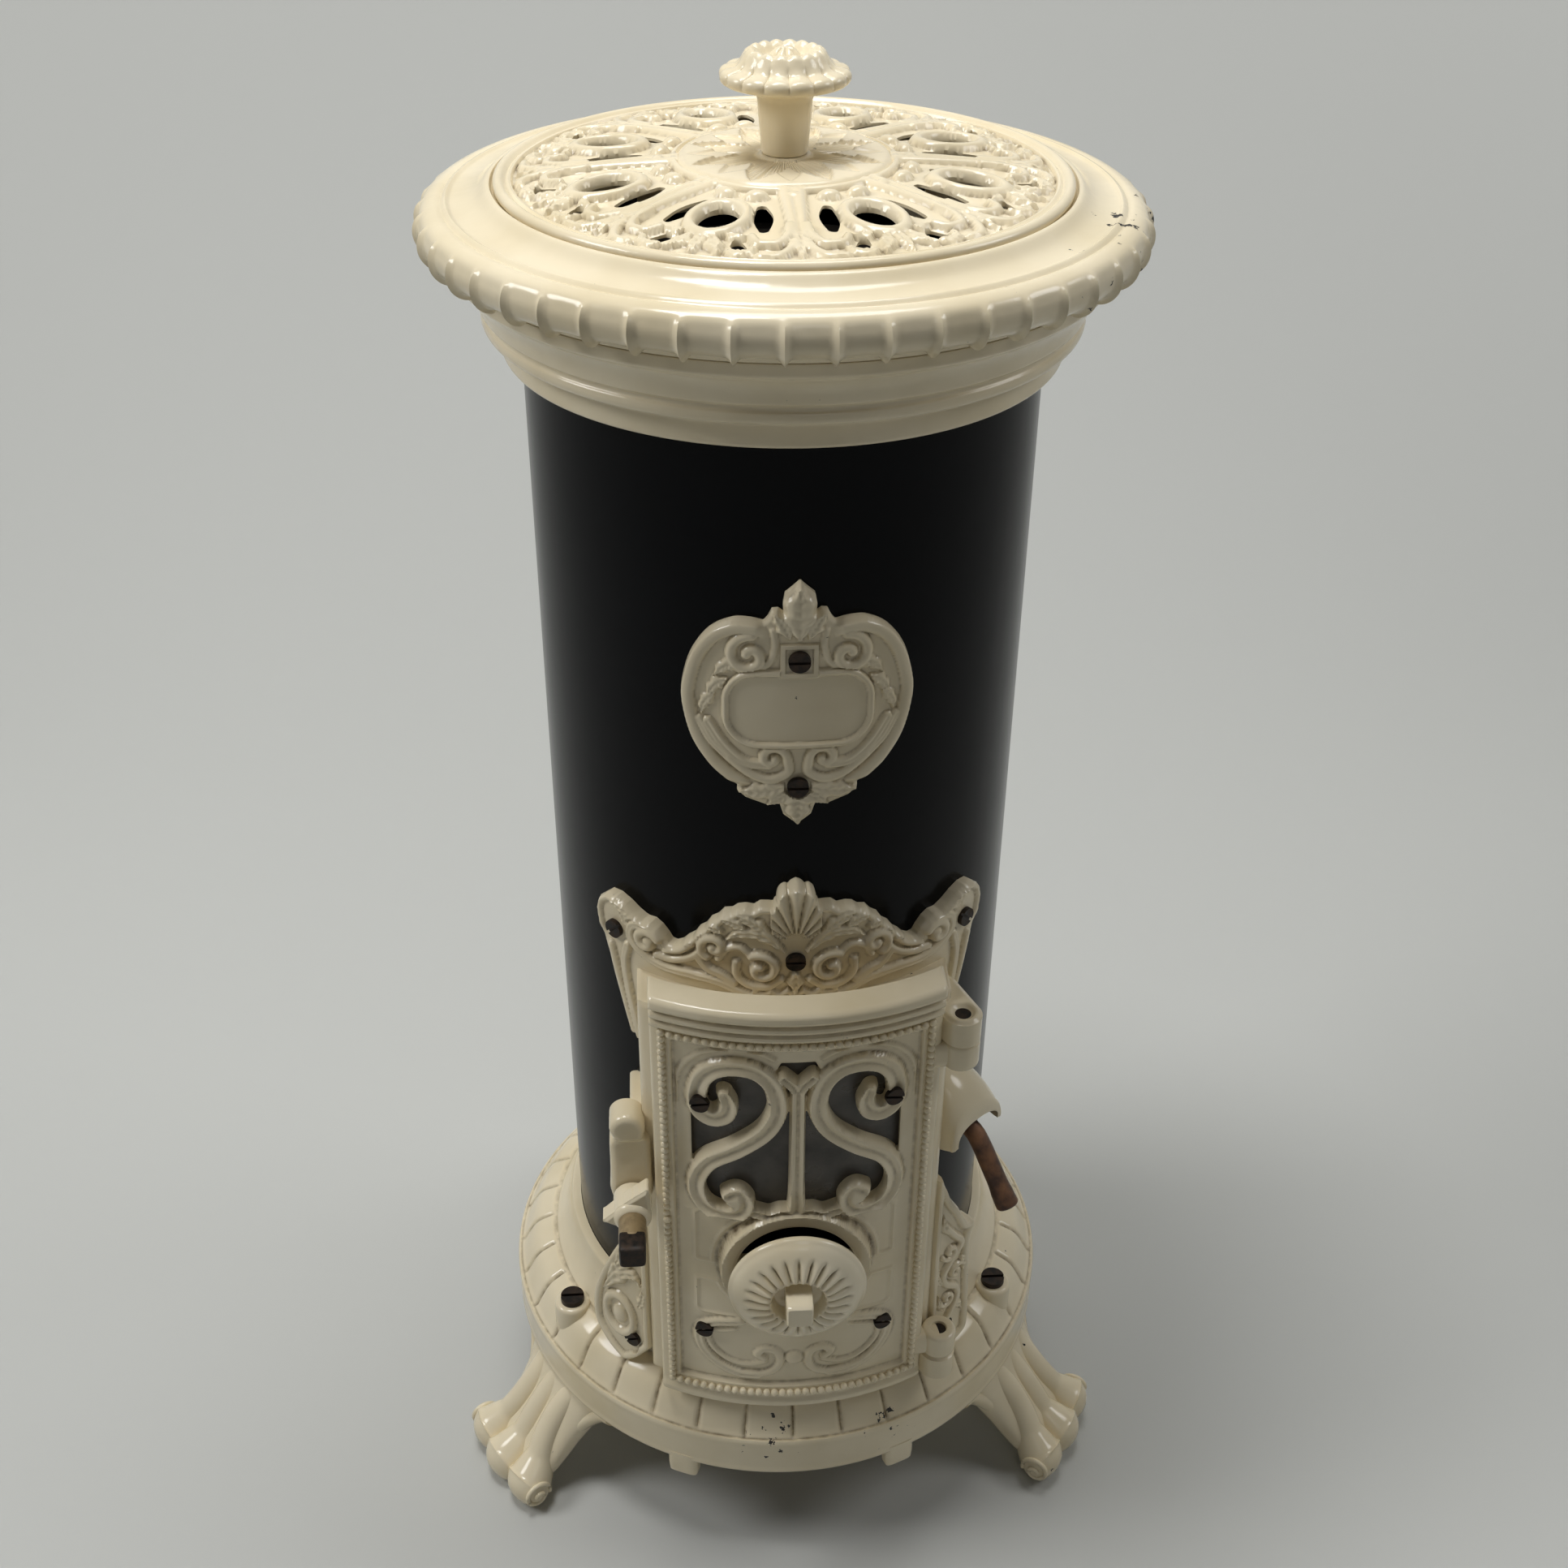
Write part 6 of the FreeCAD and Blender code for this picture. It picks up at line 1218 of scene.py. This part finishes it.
        def face(a: Array, b: Array, d: Array) -> Array:
            """Radius of the carved face."""
            border = 3.0 * hump((-d - 3.2) / 3.4)
            if side > 0:
                vine = fair([(121, 176), (129, 190), (128, 202), (117, 212), (114, 224), (122, 236),
                             (130, 246), (122, 258), (114, 270)], 48)
                carved = np.maximum(border, stroke(a, b, vine, 3.0, 3.8, 0.4))
                for x, z, turn in ((119, 196, 200), (127, 219, 20), (119, 243, 200)):
                    carved = np.maximum(carved,
                                        stroke(a, b, spiral(x, z, 7.0, 1.0, turn, turn + 400), 2.2, 3.4))
                for path in ([(124, 184), (132, 181), (135, 174)], [(113, 214), (108, 222), (109, 232)],
                             [(131, 230), (134, 224), (133, 214)],
                             [(117, 262), (112, 272), (110, 284)], [(116, 186), (112, 194), (111, 203)]):
                    carved = np.maximum(carved, leaf(a, b, fair(path, 8), 3.4, 3.4, 2.0))
                carved = np.where(np.hypot(a - 121.5, b - 162) < 8.5, np.minimum(carved, 0.3), carved)
            else:
                boss = np.hypot((a - 130.0) / 15.0, (b - 188.0) / 22.0)
                rings = 3.4 * hump((boss - 0.82) / 0.2) + 3.6 * hump(boss / 0.42)
                carved = np.maximum(border, rings)
                for path, wide in (([(142, 208), (130, 226), (117, 236), (108, 228)], 6.0),
                                   ([(138, 220), (126, 240), (113, 252)], 5.6),
                                   ([(130, 238), (122, 254), (110, 268)], 5.0),
                                   ([(112, 206), (108, 216), (107, 230)], 4.4)):
                    carved = np.maximum(carved, leaf(a, b, fair(path, 14), wide, 4.2, 3.0))
                carved = np.where(np.hypot(a - 121.0, b - 162) < 7.5, np.minimum(carved, 0.3), carved)
            return self.panel_r + carved * smooth_step(-d, 0.0, 1.6) - 1.6 * verge(d, 1.8)

        drum = on_drum(183.0)
        name = "pilaster_right" if side > 0 else "console_left"
        made = relief_plate(name, (101.0, 158.0, 92), (140.0, 320.0, 240),
                            partial(polygon_field, outline=edge), face,
                            level(172.6), lambda a, b, r: drum(side * a, b, r), dirt_and_shade=0.9)
        shop.fix(made, Body.STOVE, Slot.CREAM)

    def collar(self, shop: Workshop) -> None:
        """Box frame round the door mouth with two hinge ears and the latch lug, all on the drum."""

        def ring(a: Array, b: Array) -> Array:
            """Outline of the collar less the mouth."""
            return np.maximum(slab(a, b, -97, 97, 152, 488, 1.5), -slab(a, b, -82, 82, 167, 472, 1.0))

        pieces = [relief_plate("collar", (-98, 98, 124), (151, 489, 170), ring,
                               lambda a, b, d: 184.4 - 1.4 * verge(d, 2.0),
                               lambda a, b: np.where((a > 80) & (np.abs(b - ROD_Z) < 12), 167.5, DRUM_SEAT),
                               facing_front)]

        def flat(a: Array, b: Array, h: Array) -> Array:
            """Point from x, y and height."""
            return np.stack([a, b, h], axis=-1)

        def ear(a: Array, b: Array) -> Array:
            """Round hinge ear, widening along its web to the collar, less the bore of the pin."""
            x, y = a - HINGE_X, b - HINGE_Y
            in_x, in_y, eye, bore = 14.0, 26.0, 12.0, 5.1
            along = np.clip((y * in_y - x * in_x) / (in_x**2 + in_y**2), 0, 1)
            away = np.hypot(x + in_x * along, y - in_y * along) - eye - 3.0 * along
            return np.maximum(away, bore - np.hypot(x, y))

        for top in (480, 172):
            pieces.append(relief_plate("ear", (72, 118, 70), (-182, -124, 88), ear,
                                       lambda a, b, d, z=top: z - 2.0 * verge(d, 3.0),
                                       level(top - 20.0), flat))

        def upright(a: Array, b: Array, y: Array) -> Array:
            """Point from x, height and distance to the front."""
            return np.stack([a, -y, b], axis=-1)

        def lug(a: Array, b: Array) -> Array:
            """Bearing, block and rounded boss of the latch lug, run together by soft corners."""
            shape = np.hypot(a - LATCH_X, b - LATCH_Z) - 13.5
            for other in (slab(a, b, -118.5, -92.0, 337, 381, 7.0), slab(a, b, -112.5, -97, 366, 392, 3.0),
                          np.hypot(a + 107.0, b - 391.0) - 11.0):
                share = np.clip(0.5 + 0.5 * (shape - other) / 5.0, 0, 1)
                shape = shape * (1 - share) + other * share - 5.0 * share * (1 - share)
            return np.maximum(shape, a + 91.6)

        def lug_face(a: Array, b: Array, d: Array) -> Array:
            """Face of the lug: rounded edges, a step under the boss and a domed boss."""
            boss = smooth_step(b, 378.0, 384.0)
            slope = 4.5 * (1 - smooth_step(b, 344.0, 378.0))
            return 165.5 + slope + 3.5 * boss - 4.5 * (1 - hump(1 - np.clip(-d / 4.5, 0, 1)))

        pieces.append(relief_plate("lug", (-121, -90, 64), (321, 404, 150), lug, lug_face,
                                   level(150.0), upright))
        pieces.append(relief_plate("root", (-106, -89, 20), (322, 392, 50),
                                   lambda a, b: slab(a, b, -105, -89.5, 323.5, 391, 3.0),
                                   level(150.4), level(112.0), upright))
        shop.fix(joined("frame_cast", pieces), Body.STOVE, Slot.CREAM, "door_frame")

    def hood(self, shop: Workshop) -> None:
        """Bonnet over the rod: a dome on the drum that falls outwards as a quarter ellipse to a lip."""
        out, across = axes(ROD_AZ)

        def place(u: Array, v: Array, t: Array) -> Array:
            """Point from reach, turn round the rod and offset from the dome."""
            share = np.clip((u - self.hood_in) / (self.hood_out - self.hood_in), 0, 1)
            crown = 9.0 + 45.0 * np.sqrt(1 - (0.985 * share) ** 2) * (0.80 - 0.22 * np.cos(v))
            half = 29.0 - 5.5 * share**2
            side = (half + t) * np.sign(np.cos(v)) * np.abs(np.cos(v)) ** 0.85
            rise = (crown + t) * np.sign(np.sin(v)) * np.abs(np.sin(v)) ** 0.85
            return u[..., None] * out + side[..., None] * across + (350.0 + rise)[..., None] * UP

        def face(u: Array, v: Array, d: Array) -> Array:
            """Offset of the outer skin: a small bead along the lip."""
            return bell((u - 185.4) / 1.5)

        cowl = relief_plate("rod_hood_cast", (self.hood_in, self.hood_out, 44),
                            (math.radians(-6), math.radians(186), 80), level(-9.0), face,
                            level(-3.0), place)
        shop.fix(cowl, Body.STOVE, Slot.CREAM)


@dataclass
class Door:
    """Curved cast door: moulded head, pearl border, scroll window, air seat and lower scrolls."""

    half: float = 90.0
    low: float = 150.0
    top: float = 511.5
    back_r: float = 184.8
    field_r: float = 191.6
    air_z: float = AIR_Z
    rope_half: float = 7.2
    stem_half: float = 5.0
    twig_half: float = 4.2
    pearl: float = 2.75
    pearl_x: float = 83.0
    pearl_z: tuple[float, float] = (165.5, 480.5)
    pearl_count: tuple[int, int] = (32, 62)
    pearl_r: float = 196.3
    sunk_r: float = 194.6
    nose_z: float = 338.0
    nose_half: float = 17.0
    strokes: list[Array] = field(default_factory=list)
    pane: Array = field(default_factory=lambda: np.zeros((0, 2)))

    def __post_init__(self) -> None:
        """Lay out the middle lines of the right hand scroll, stem, fork and foot, and the window's edge."""
        s_scroll = fair([(45, 436.5), (42.5, 428), (45.5, 420), (53, 416.5), (60, 420.5), (62.3, 429),
                         (61.8, 438), (58.6, 448.5), (51, 456.6), (39, 460.2), (26.5, 458), (17.4, 449.5),
                         (13, 437), (13, 423), (20.5, 407.5), (37, 392), (54.5, 379), (62.5, 364.5),
                         (63.5, 351), (58.8, 339.5), (49.5, 334), (40.5, 334), (34, 339), (32.5, 347),
                         (37, 353), (42.5, 350)], 130)
        stem = fair([(0, 331), (0, 390), (0, 441)], 12)
        fork = fair([(0, 440), (3.5, 447), (9, 453)], 10)
        foot = fair([(0, 336), (9, 338), (17, 335), (27, 337.5)], 12)
        self.strokes = [s_scroll, stem, fork, foot]
        right = [(0, 463.5), (10.5, 463.5), (15.5, 452), (20.2, 448.5), (28, 456.8), (39.6, 459.8),
                 (51, 456.6), (58.6, 448.5), (61.8, 438), (63, 425), (66, 421), (66, 375), (62.5, 364.5),
                 (63.5, 351), (58.8, 339.5), (49.5, 334), (40.5, 334), (33, 337), (20, 337), (0, 337)]
        self.pane = mirrored(np.array(right))

    def scroll(self, x: Array, z: Array) -> tuple[Array, Array]:
        """Signed distance to the scroll work, and the share across its nearest rope, 0 in the middle."""
        edge = np.full(x.shape, 99.0)
        across = np.full(x.shape, 9.0)
        for k, path in enumerate(self.strokes):
            d, t = to_path(x, z, path)
            if k == 0:
                half = self.rope_half * np.interp(t, [0, 0.08, 1], [0.72, 1, 0.86])
            else:
                half = self.stem_half + 2.4 * np.exp(-t * 9) if k == 1 else self.twig_half
            closer = d - half < edge
            edge = np.where(closer, d - half, edge)
            across = np.where(closer, d / half, across)
        ball = np.hypot(x - 39.0, z - 346.0) - 6.2
        across = np.where(ball < edge, 0.55, across)
        return np.minimum(edge, ball), across

    def metal(self, u: Array, v: Array) -> Array:
        """Signed distance: the door's outline, less the window between the scrolls and the air hole."""
        x = np.abs(u)
        work, _ = self.scroll(x, v)
        pane = np.maximum(polygon_field(u, v, self.pane), -work)
        air = np.hypot(u, v - self.air_z) - 40.0
        return np.maximum(slab(u, v, -self.half, self.half, self.low, self.top, 2.0), -np.minimum(pane, air))

    def face(self, u: Array, v: Array, d: Array) -> Array:
        """Radius of the face: field, border, moulded head, scrolls, air seat, sunk panels, C scrolls."""
        x = np.abs(u)
        frame_in = np.minimum(np.minimum(77.0 - x, v - 171.0), 474.5 - v)
        r = self.field_r + 3.4 * (1 - smooth_step(frame_in, -1.2, 1.2))
        head = np.interp(v,
                         [484.5, 485.4, 487.5, 490, 491, 492.6, 493.5, 496, 498.5, 499.5, 501, 502, 504.5,
                          508.5, 510.5, 511.5],
                         [195.2, 198.6, 199.8, 199.4, 197.2, 197.2, 200.6, 202.0, 201.6, 199.2, 199.2, 202.8,
                          204.3, 204.0, 202.6, 200.6])
        r = np.where(v > 484.5, head, r)
        foot = np.interp(v, [150, 151.5, 156, 158.5, 160], [194.0, 196.6, 197.0, 195.6, 195.0])
        r = np.where(v < 160, foot, r)
        work, across = self.scroll(x, v)
        window = polygon_field(u, v, self.pane)
        outer, _ = to_path(x, v, self.strokes[0][10:78])
        second = rope(np.abs(outer - 13.6), 1.9, 1.5) * (window > 4) * smooth_step(v, 416, 428)
        r = r + second * (frame_in > 2)
        lip = bell((across - 0.72) / 0.20)
        crest = hump(across) ** 0.7
        ridge = self.field_r - 0.8 + 4.8 * crest + 1.2 * lip - 2.0 * bell(across / 0.30)
        r = np.where((work < 0) & (window < 8.5), np.maximum(ridge, np.where(window > 0, r, 0)), r)
        away = np.hypot(u, v - self.air_z)
        sunk = np.maximum(slab(x, v, -63.5, 63.5, 238.0, 331.0, 3.0), 56.5 - away)
        sunk = np.maximum(sunk, 10.5 - np.abs(v - 277.5))
        r = np.where(sunk < 0, r - 3.2 * smooth_step(-sunk, 0.0, 1.2), r + bell((sunk - 1.6) / 1.2))
        for path, wide, high, groove in (
            (fair([(37, 232), (44, 230.5), (54, 228), (62, 222), (64.5, 211), (60.5, 198.5), (51, 187),
                   (38, 180), (25, 179.5)], 46), 4.4, 4.2, 1.2),
            (fair([(40, 224), (48, 221), (57.5, 218.5), (57.5, 208), (52, 198.5), (42, 191), (31, 189.5),
                   (20, 193)], 40), 2.6, 2.8, 0.0),
            (fair([(25, 179.5), (14.5, 184), (9.5, 193), (12, 203), (20, 206), (25, 200.5), (20.5, 196.5)],
                  34), 3.4, 3.6, 0.4),
        ):
            r = np.maximum(r, self.field_r - 0.8 + stroke(x, v, path, wide, high, groove))
        r = np.maximum(r, self.field_r + rope(np.hypot(x, v - 197.0), 6.4, 3.2))
        seat = np.sqrt(197.5**2 + u**2)
        ring = smooth_step(-(away - 51.0), 0.0, 2.0)
        r = np.where(away < 51.5, np.maximum(r, self.field_r + (seat - self.field_r) * ring), r)
        return r - 0.8 * verge(d, 1.4)

    def pearls(self) -> Array:
        """Middles of the pearl border: rows along the head and foot, columns along both sides."""
        x = np.linspace(-self.pearl_x, self.pearl_x, self.pearl_count[0])
        z = np.linspace(*self.pearl_z, self.pearl_count[1])[1:-1]
        rows = [np.column_stack([x, np.full(len(x), row)]) for row in self.pearl_z]
        cols = [np.column_stack([np.full(len(z), edge), z]) for edge in (-self.pearl_x, self.pearl_x)]
        flat = np.vstack(rows + cols)
        under_nose = (flat[:, 0] < 0) & (np.abs(flat[:, 1] - self.nose_z) < self.nose_half)
        return facing_front(flat[:, 0], flat[:, 1], np.where(under_nose, self.sunk_r, self.pearl_r))

    def build(self, shop: Workshop) -> None:
        """Make the door, its pearls, its knuckles and the bridge of the air control."""
        plate = relief_plate("door_cast", (-91.0, 91.0, 176), (149.0, 517.0, 350), self.metal, self.face,
                             level(self.back_r), facing_front, dirt_and_shade=1.0)
        shop.fix(plate, Body.DOOR, Slot.CREAM, "door")
        shop.fix(beads("door_pearls", self.pearls(), self.pearl), Body.DOOR, Slot.CREAM)
        pieces = []
        for z1 in (459.7, 192.3):
            barrel = [(5.2, z1 - 20), (10.4, z1 - 20), (12.0, z1 - 18.4), (12.0, z1 - 1.6), (10.4, z1),
                      (5.2, z1)]
            pieces.append(moved(lathe("barrel", resampled(barrel, 1.0), 48), HINGE_X, HINGE_Y))
            web = [(84, -171), (90, -170.4), (97, -169), (102, -168)]
            line = np.column_stack([web, np.full(len(web), z1 - 10)])
            pieces.append(sweep("web", line, 9.4, 6.2, UP, 28, 4.0))
        bar = np.column_stack([np.linspace(-43, 43, 8), np.full(8, -189.1), np.full(8, self.air_z)])
        pieces.append(sweep("bridge", bar, 7.0, 3.8, UP, 24, 5.0))
        shop.fix(joined("door_fittings", pieces), Body.DOOR, Slot.CREAM)


@dataclass
class AirDisc:
    """Fluted air disc with its smooth rim, hub recess and square peg."""

    middle_z: float = AIR_Z
    flutes: int = 24

    def carve(self, theta: Array, r: Array, y: Array) -> Array:
        """Flutes between rim and hub: rounded lobes parted by narrow cuts that fade at both ends."""
        wave = np.abs(np.sin(theta * self.flutes / 2)) ** 0.85
        belt = band(r, 17.6, 19.5, 30.0, 37.5) * (y > 212.0)
        return belt * (3.6 * wave - 3.4)

    def build(self, shop: Workshop) -> None:
        """Make the disc and its peg."""
        outline = [(0, 207.8), (42.5, 207.8), (44.8, 208.8)] + arc(42.2, 211.0, 3.1, -20, 45, 6)
        outline += curve([(43.4, 214), (41, 217), (37.5, 219.6), (32.5, 222.4), (27, 224.6), (22.5, 226),
                          (20, 226.2)], 24)
        outline += [(18.2, 225.4), (16.8, 222), (16.2, 215.4), (13, 214.6), (0, 214.6)]
        disc = lathe("air_disc_turned", resampled(outline, 0.8, False), 288, self.carve, False,
                     on_axle(0.0, self.middle_z), 1.3)
        rows = [(213, 8.8), (220, 8.8), (228, 8.8), (234, 8.7), (236.4, 8.4), (237.3, 7.6)]
        peg = front_bar("peg", 0.0, self.middle_z, rows, 64, 12.0)
        shop.fix(joined("air_disc_cast", [disc, peg]), Body.AIR, Slot.DISC, "air_disc")


@dataclass
class Latch:
    """Turning latch: an enamelled cam plate, a worn round stub and a dark square for the loose handle."""

    x: float = LATCH_X
    z: float = LATCH_Z
    hub: float = 12.5

    def place(self, u: Array, v: Array, y: Array) -> Array:
        """Put sideways, upward and forward distances on the spindle's axis."""
        return np.stack([self.x + u, -y, self.z + v], axis=-1)

    def metal(self, u: Array, v: Array) -> Array:
        """Signed distance to the cam: the hub with a pointed nose above and a short tail at the left."""
        shape = np.hypot(u, v) - self.hub
        for reach, angle, tip in ((23.6, 66.0, 1.6), (17.6, 188.0, 1.6)):
            a = math.radians(angle)
            along = np.clip((u * math.cos(a) + v * math.sin(a)) / reach, 0, 1)
            away = np.hypot(u - along * reach * math.cos(a), v - along * reach * math.sin(a))
            shape = np.minimum(shape, away - (self.hub - (self.hub - tip) * along**1.25))
        return shape

    def build(self, shop: Workshop) -> None:
        """Make the plate, the stub and the square."""
        turned = on_axle(self.x, self.z)
        plate = relief_plate("cam", (-21.0, 16.0, 76), (-14.0, 27.0, 84), self.metal,
                             lambda a, b, d: 191.8 - 1.6 * verge(d, 2.6),
                             level(180.0), self.place, dirt_and_shade=0.4)
        outline = [(0, 142.3), (5.3, 142.3), (5.3, 171.4), (12.3, 171.4), (12.3, 186), (12.4, 191),
                   (11.8, 192.6), (9.4, 195), (0, 195.2)]
        hub = lathe("hub", resampled(outline, 1.0, False), 56, None, False, turned)
        shop.fix(joined("latch_cam_cast", [plate, hub]), Body.LATCH, Slot.CREAM, "latch_cam")
        stub = [(0, 194), (8.9, 194), (8.9, 212.4), (8.2, 213.6), (0, 213.7)]
        shop.fix(lathe("latch_stub", resampled(stub, 0.9, False), 48, None, False, turned), Body.LATCH,
                 Slot.LATCH)
        rows = [(211, 8.3), (213.4, 8.45), (217, 8.45), (222, 8.4), (224.8, 8.1), (225.9, 7.2)]
        shop.fix(front_bar("latch_square", self.x, self.z, rows, 48, 9.0), Body.LATCH, Slot.STEEL)


@dataclass
class ShakerRod:
    """Bent iron rod with a thick rounded end."""

    steps: int = 60

    def build(self, shop: Workshop) -> None:
        """Carry a round section along the rod's bent line."""
        out, side = axes(ROD_AZ)
        rows = fair([(92, ROD_Z), (150, ROD_Z), (174, ROD_Z), (183, 347.5), (190, 340.5), (200, 326),
                     (210, 311), (214.5, 304.5), (217.5, 300.5)], self.steps)
        path = rows[:, :1] * out + rows[:, 1:] * UP
        t = np.linspace(0, 1, self.steps)
        thick = np.interp(t, [0, 0.7, 0.76, 0.93, 0.97, 1], [6.2, 6.8, 7.6, 7.9, 6.8, 3.0])
        shop.fix(sweep("shaker_rod_forged", path, thick, thick, side, 28), Body.GRATE, Slot.RUST,
                 "shaker_rod")


# Stage, in metres

SURROUND = "#bdbeba"
FADE_FROM, FADE_TO = 1.3, 3.2
FLOOR_HALF, WALL_Y, WALL_TOP, BEND_R, FLOOR_DROP = 9.0, 2.0, 5.0, 1.1, 0.0006
# Name, place, aim, width and power of each lamp.
LAMPS = (
    ("left_softbox", (-2.0, -0.2, 2.2), (0, 0, 0.4), 1.0, 25.0),
    ("right_softbox", (2.0, -0.1, 2.1), (0, 0, 0.4), 1.0, 12.0),
    ("top_softbox", (-0.5, -0.05, 3.2), (0, 0, 0.6), 0.8, 29.0),
    ("front_softbox", (0.4, -2.4, 2.4), (0, 0, 0.4), 0.9, 2.0),
    ("backdrop_softbox", (0.2, 0.7, 3.4), (0, 2.0, 0.7), 1.4, 34.0),
)


def seen_share(tree: bpy.types.NodeTree) -> bpy.types.NodeSocket:
    """Output that is one for rays from the eye, straight, mirrored or through glass, and nought for light.

    Args:
        tree: Node tree of the floor or the world.

    Returns:
        The socket with that share.
    """
    ray = add(tree, "ShaderNodeLightPath")
    both = add(tree, MATH, LARGER, links={0: ray.outputs["Is Camera Ray"], 1: ray.outputs["Is Glossy Ray"]})
    every = add(tree, MATH, LARGER, links={0: both.outputs[0], 1: ray.outputs["Is Transmission Ray"]})
    return every.outputs[0]


@dataclass(frozen=True)
class PhotoCamera:
    """Camera of the photograph: its place, heading, pitch, roll and lens."""

    eye: tuple[float, float, float] = (-0.0712, -1.0595, 1.247)
    heading: tuple[float, float, float] = (0.0698, 0.9976, 0.0)
    pitch_deg: float = 33.67
    roll: float = 0.00933
    sensor_mm: float = 36.0
    focal_px: float = 2355.9
    width_px: float = 1932.0

    def place(self, scene: bpy.types.Scene) -> None:
        """Make the camera and let the scene look through it."""
        lens = bpy.data.cameras.new("photo_camera")
        lens.sensor_width = self.sensor_mm
        lens.sensor_fit = "HORIZONTAL"
        lens.lens = self.sensor_mm * self.focal_px / self.width_px
        pitch, c, s = math.radians(self.pitch_deg), math.cos(self.roll), math.sin(self.roll)
        ahead = Vector(self.heading).normalized() * math.cos(pitch) + Vector((0, 0, -math.sin(pitch)))
        right = ahead.cross(Vector((0, 0, 1))).normalized()
        up = right.cross(ahead)
        turn = Matrix((right * c + up * s, up * c - right * s, -ahead)).transposed()
        holder = linked("photo_camera", lens)
        holder.matrix_world = Matrix.Translation(self.eye) @ turn.to_4x4()
        scene.camera = holder


def lay_paper() -> None:
    """Sweep of matt paper, floor and wall in one, that fades into the surroundings."""
    material, tree = blank("matt_studio_paper")
    paper = add(tree, PRINCIPLED, values={"Base Color": linear("#c2c3bf"), "Roughness": 0.85})
    far = add(tree, "ShaderNodeVectorMath", {"operation": "LENGTH"},
              links={0: add(tree, COORDS).outputs["Object"]})
    fade = add(tree, RANGE, {"interpolation_type": "SMOOTHSTEP"}, {1: FADE_FROM, 2: FADE_TO},
               {0: far.outputs["Value"]})
    share = add(tree, MATH, TIMES, links={0: fade.outputs[0], 1: seen_share(tree)})
    pale = add(tree, "ShaderNodeEmission", values={"Color": linear(SURROUND)})
    mixed = add(tree, "ShaderNodeMixShader",
                links={0: share.outputs[0], 1: paper.outputs[0], 2: pale.outputs[0]})
    add(tree, OUTPUT, links={"Surface": mixed.outputs[0]})
    bend = np.radians(np.linspace(-90, 0, 17))
    round_off = np.column_stack([WALL_Y - BEND_R + BEND_R * np.cos(bend), BEND_R + BEND_R * np.sin(bend)])
    line = np.vstack([[[-FLOOR_HALF, 0.0]], round_off, [[WALL_Y, WALL_TOP]]]) - [0.0, FLOOR_DROP]
    rows = [np.column_stack([np.full(len(line), x), line]) for x in (-FLOOR_HALF, FLOOR_HALF)]
    count = len(line)
    k = np.arange(count - 1)
    quads = np.column_stack([k, k + count, k + count + 1, k + 1]).tolist()
    mesh = bpy.data.meshes.new("studio_sweep")
    mesh.from_pydata(np.vstack(rows).tolist(), [], quads)
    mesh.polygons.foreach_set("use_smooth", np.ones(len(quads), bool))
    mesh.materials.append(material)
    linked("studio_sweep", mesh)


def set_stage() -> None:
    """Pale paper and surroundings, soft studio lamps and the camera of the photograph."""
    scene = bpy.context.scene
    scene.view_settings.view_transform = "Standard"
    lay_paper()
    world = bpy.data.worlds.new("studio_light")
    scene.world = world
    world.use_nodes = True
    tree = world.node_tree
    tree.nodes.clear()
    dim = add(tree, "ShaderNodeBackground", values={"Color": linear("#eef0f3"), "Strength": 0.045})
    pale = add(tree, "ShaderNodeBackground", values={"Color": linear(SURROUND)})
    mixed = add(tree, "ShaderNodeMixShader",
                links={0: seen_share(tree), 1: dim.outputs[0], 2: pale.outputs[0]})
    add(tree, "ShaderNodeOutputWorld", links={"Surface": mixed.outputs[0]})
    for name, spot, target, size, power in LAMPS:
        lamp = bpy.data.lights.new(name, "AREA")
        lamp.shape = "DISK"
        lamp.size = size
        lamp.energy = power
        holder = linked(name, lamp)
        holder.location = spot
        holder.rotation_euler = (Vector(target) - Vector(spot)).to_track_quat("-Z", "Y").to_euler()
    PhotoCamera().place(scene)


def main() -> None:
    """Build every sub-assembly in order, then the stage."""
    logging.basicConfig(level=logging.INFO, format="%(name)s: %(message)s")
    shop = Workshop()
    shop.dress_solids()
    for assembly in (Rim(), Lid(), Drum(), Base(), Plaque(), DoorFrame(), Door(), AirDisc(), Latch(),
                     ShakerRod()):
        assembly.build(shop)
    set_stage()


if __name__ == "__main__":
    main()
